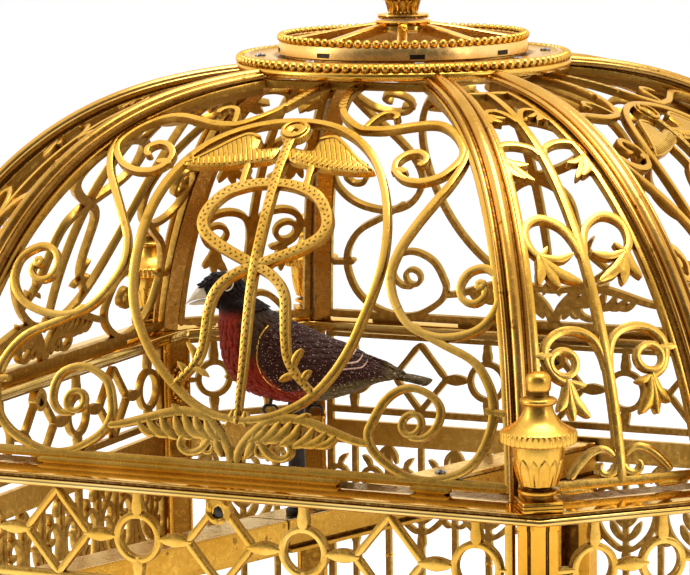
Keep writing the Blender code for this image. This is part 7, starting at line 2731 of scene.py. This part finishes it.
@dataclass
class Song:
    """The bellows with its folded leather, and the sliding whistle."""

    low: float = 23.4
    high: float = 31.9
    folds: int = 3

    def build_board(self) -> None:
        """Build the fixed board with its hinge posts and valve hole's rim."""
        maker = MeshMaker(Finish.WALNUT, Finish.POLISHED)
        block(maker, (-108, -24, 19.3), (-50, 24, 23.3), 0.6)
        for y in (-19.2, 19.2):
            block(maker, (-53.6, y - 2, 21.3), (-50, y + 2, 35), 0.4, 1)
            tube(maker, [(-54.0, y - 2.6, 33.3), (-54.0, y, 33.3), (-54.0, y + 2.6, 33.3)], 0.9, 14, 0.6, 1)
        settle(add_object("bellows_bed", maker.mesh("board", 40)), "cage", "walnut", "bellows_board")

    def build_lid(self) -> None:
        """Build the lid with its brass strap and valve."""
        maker = MeshMaker(Finish.WALNUT, Finish.POLISHED)
        block(maker, (-108, -24, 32.0), (-54.4, 24, 34.6), 0.5)
        for y in (-19.2, 19.2):
            block(maker, (-66, y - 1.6, 34.5), (-54.6, y + 1.6, 35.2), 0.2, 1)
        valve = [(6.0, 34.5, 0.8), (6.2, 34.9, 0.0), (5.6, 35.3, 0.0), (4.4, 35.3, 0.9), (4.0, 35.2, 0.9),
                 (3.6, 35.5, 0.0), (0, 35.6, 0.0)]
        lathe(maker, valve, 40, (-84.0, 0.0), slot=1)
        settle(add_object("bellows_flap", maker.mesh("lid", 40)), "bellows", "walnut", "bellows_lid")

    def build_leather(self) -> None:
        """Build the folded leather, which stretches from the board to the lid."""
        rows, hollow = [], []
        for share in np.linspace(0, 1, 8 * self.folds + 1):
            inset = 0.5 + 1.3 * (1 - math.cos(2 * math.pi * self.folds * share))
            x0, x1, y1 = -107 + inset, -55.6 - 0.4 * inset, 23 - inset
            loop = []
            for corner_x, corner_y, first in ((x1, y1, 0), (x0, y1, 90), (x0, -y1, 180), (x1, -y1, 270)):
                for k in range(7):
                    angle = math.radians(first + 15 * k)
                    inner_x = corner_x - math.copysign(2.6, corner_x + 81)
                    inner_y = corner_y - math.copysign(2.6, corner_y)
                    loop.append((inner_x + 2.6 * math.cos(angle), inner_y + 2.6 * math.sin(angle),
                                 self.low + (self.high - self.low) * share))
            rows.append(loop)
            hollow.append([min(1.0, (inset - 0.5) / 2.6)] * len(loop))
        maker = MeshMaker(Finish.KID)
        maker.bar(rows, hollow)
        leather = add_object("folded_leather", maker.mesh("leather", 60))
        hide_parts("bellows_leather")
        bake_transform(leather)

    def build_whistle(self) -> None:
        """Build the whistle's tube with its mouth and feet, and the piston that slides in it."""
        maker = MeshMaker(Finish.POLISHED, Finish.STEEL)
        section = ring_points((0, 0), 6.4, 6.4, 40)
        rows, hollow = [], []
        for x, scale, shade in ((-34, 0.93, 0.3), (-33.6, 1.0, 0.0), (-31.0, 1.0, 0.0), (-30.6, 0.96, 0.8),
                                (-30.2, 1.0, 0.0), (0, 1.0, 0.0), (30.2, 1.0, 0.0), (30.6, 0.96, 0.8),
                                (31.0, 1.0, 0.0), (33.6, 1.0, 0.0), (34, 0.94, 0.1), (34, 0.72, 0.3),
                                (-29, 0.72, 1.0)):
            rows.append([(x, 72 + scale * a, 29 + scale * b) for a, b in section])
            hollow.append([shade] * len(section))
        maker.bar(rows, hollow)
        for x in (-24, 24):
            block(maker, (x - 3, 68, 19.3), (x + 3, 76, 23.6), 0.4)
            tube(maker, [(x, 65.4, 29), (x, 67.2, 24.6), (x, 72, 22.4), (x, 76.8, 24.6), (x, 78.6, 29)], 0.9,
                 12, 0.8)
        block(maker, (-29, 69.5, 34.6), (-23, 74.5, 35.6), 0.3, 1)
        settle(add_object("song_tube", maker.mesh("whistle", 40)), "cage", "polished_brass", "whistle_tube")
        maker = MeshMaker(Finish.STEEL)
        for first, last, radius in ((6.0, 12.0, 4.3), (10.0, 52.0, 1.2), (50.0, 53.0, 3.4)):
            spots = [(x, 72.0, 29.0) for x in np.linspace(first, last, 5)]
            tube(maker, spots, (radius * 0.9, radius, radius, radius, radius * 0.9), 24, (last - first) / 8)
        settle(add_object("slide_piston", maker.mesh("piston", 40)), "piston", "steel", "whistle_piston")

    def build(self) -> None:
        """Build all of them."""
        self.build_board()
        self.build_lid()
        self.build_leather()
        self.build_whistle()


@dataclass
class Studio:
    """Camera, floor and light."""

    distance: float = 873.105
    height: float = 162.495
    yaw: float = -0.0181
    pitch: float = 0.1486
    roll: float = -0.0125
    focal_pixels: float = 3388.5
    image_width: float = 690.0

    def camera(self) -> None:
        """Place the camera where the photograph was taken from."""
        ahead = Vector((math.sin(self.yaw) * math.cos(self.pitch), math.cos(self.yaw) * math.cos(self.pitch),
                        -math.sin(self.pitch)))
        right = Vector((math.cos(self.yaw), -math.sin(self.yaw), 0))
        up = right.cross(ahead)
        right, up = (right * math.cos(self.roll) + up * math.sin(self.roll),
                     up * math.cos(self.roll) - right * math.sin(self.roll))
        axes = Matrix((right, up, -ahead)).transposed()
        spin = Matrix.Rotation(FACING, 3, 'Z')
        data = bpy.data.cameras.new("camera")
        data.sensor_width = 36.0
        data.sensor_fit = 'HORIZONTAL'
        data.lens = self.focal_pixels * 36.0 / self.image_width
        data.clip_start = 0.05
        data.clip_end = 60.0
        camera = bpy.data.objects.new("camera", data)
        place = spin @ Vector((0, -self.distance, self.height)) + Vector((0, 0, CORNICE))
        camera.matrix_world = Matrix.Translation(place * MM) @ (spin @ axes).to_4x4()
        bpy.context.scene.collection.objects.link(camera)
        bpy.context.scene.camera = camera

    def floor(self) -> None:
        """Lay a wide pale floor, painted dark towards the camera as shade of the studio's unlit camera side.
        """
        mesh = bpy.data.meshes.new("floor")
        reach = 14.0
        mesh.from_pydata([(-reach, -reach, 0), (reach, -reach, 0), (reach, reach, 0), (-reach, reach, 0)], [],
                         [(0, 1, 2, 3)])
        material, graph, shader = new_material("pale_floor")
        place = graph.place()
        pale = graph.blend(graph.noise(place, 3.0, 2.0), (0.94, 0.94, 0.94), (0.97, 0.97, 0.97))
        # Painted shade: from 1 to 2.6 m towards the camera the floor turns dark, for the metal to reflect as
        # the dim camera side.
        near = graph.between(graph.along(place, TOWARDS_CAMERA), 1.0, 2.6)
        graph.fill(shader, {"Base Color": graph.blend(near, pale, (0.20, 0.19, 0.18)), "Roughness": 0.9})
        mesh.materials.append(material)
        add_object("floor", mesh)

    def light(self, name: str, place: Triple, size: Pair, watts: float) -> None:
        """Add a soft box that points at the cage's middle."""
        data = bpy.data.lights.new(name, 'AREA')
        data.shape = 'RECTANGLE'
        data.size, data.size_y = size
        data.energy = watts
        lamp = bpy.data.objects.new(name, data)
        lamp.location = place
        lamp.rotation_euler = (Vector((0.0, 0.0, 0.3)) - Vector(place)).to_track_quat('-Z', 'Y').to_euler()
        bpy.context.scene.collection.objects.link(lamp)

    def world(self) -> None:
        """Surround the object with white that is dimmer on the camera's side."""
        world = bpy.data.worlds.new("soft_surround")
        bpy.context.scene.world = world
        world.use_nodes = True
        graph = Graph(world.node_tree)
        back = world.node_tree.nodes["Background"]
        direction = graph.add("ShaderNodeTexCoord").outputs["Generated"]
        dim = graph.between(graph.along(direction, TOWARDS_CAMERA), 0.10, 0.80)
        graph.fill(back, {"Color": graph.blend(dim, (1.0, 1.0, 1.0), (0.13, 0.12, 0.11)), "Strength": 1.3})

    def build(self) -> None:
        """Set up everything and the plain view."""
        self.camera()
        self.floor()
        self.world()
        self.light("left_box", (-1.5, -0.9, 1.0), (0.35, 1.1), 7.0)
        self.light("right_box", (1.6, -0.3, 0.9), (0.35, 1.0), 3.2)
        self.light("top_box", (0.2, 0.1, 1.7), (0.9, 0.9), 21.0)
        bpy.context.scene.view_settings.view_transform = 'Standard'


def dress_nodes(frame: dict) -> None:
    """Give the CAD nodes that stay in view their finishes.
    """
    finishes = {"gilt_brass": Finish.GILT, "rib_brass": Finish.RIB, "polished_brass": Finish.POLISHED,
                "dark_steel": Finish.DARK_STEEL, "steel": Finish.STEEL, "ivory_beak": Finish.BEAK,
                "plumage_dark": Finish.DARK_STEEL, "plumage_olive": Finish.DARK_STEEL,
                "kid_leather": Finish.KID, "walnut": Finish.WALNUT}
    for node in frame["nodes"].values():
        for slot in node.material_slots:
            key = slot.material.name.split(".")[0] if slot.material else "gilt_brass"
            if key in finishes:
                slot.material = finish_material(finishes[key])


def main() -> None:
    """Dress the automaton."""
    logging.basicConfig(level=logging.INFO, format="%(message)s")
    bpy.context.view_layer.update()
    dress_nodes(FRAME)
    repeater = Repeater()
    shape = DomeShape()
    Studio().build()
    WidePanel(shape).build()
    NarrowPanel(shape).build()
    Ribs(shape).build()
    Crown(repeater).build()
    Cornice().build()
    Urns(repeater).build()
    Walls(repeater).build()
    Beam().build()
    Bird(repeater).build()
    Base(repeater).build()
    Movement().build()
    Song().build()


if __name__ == "__main__":
    main()
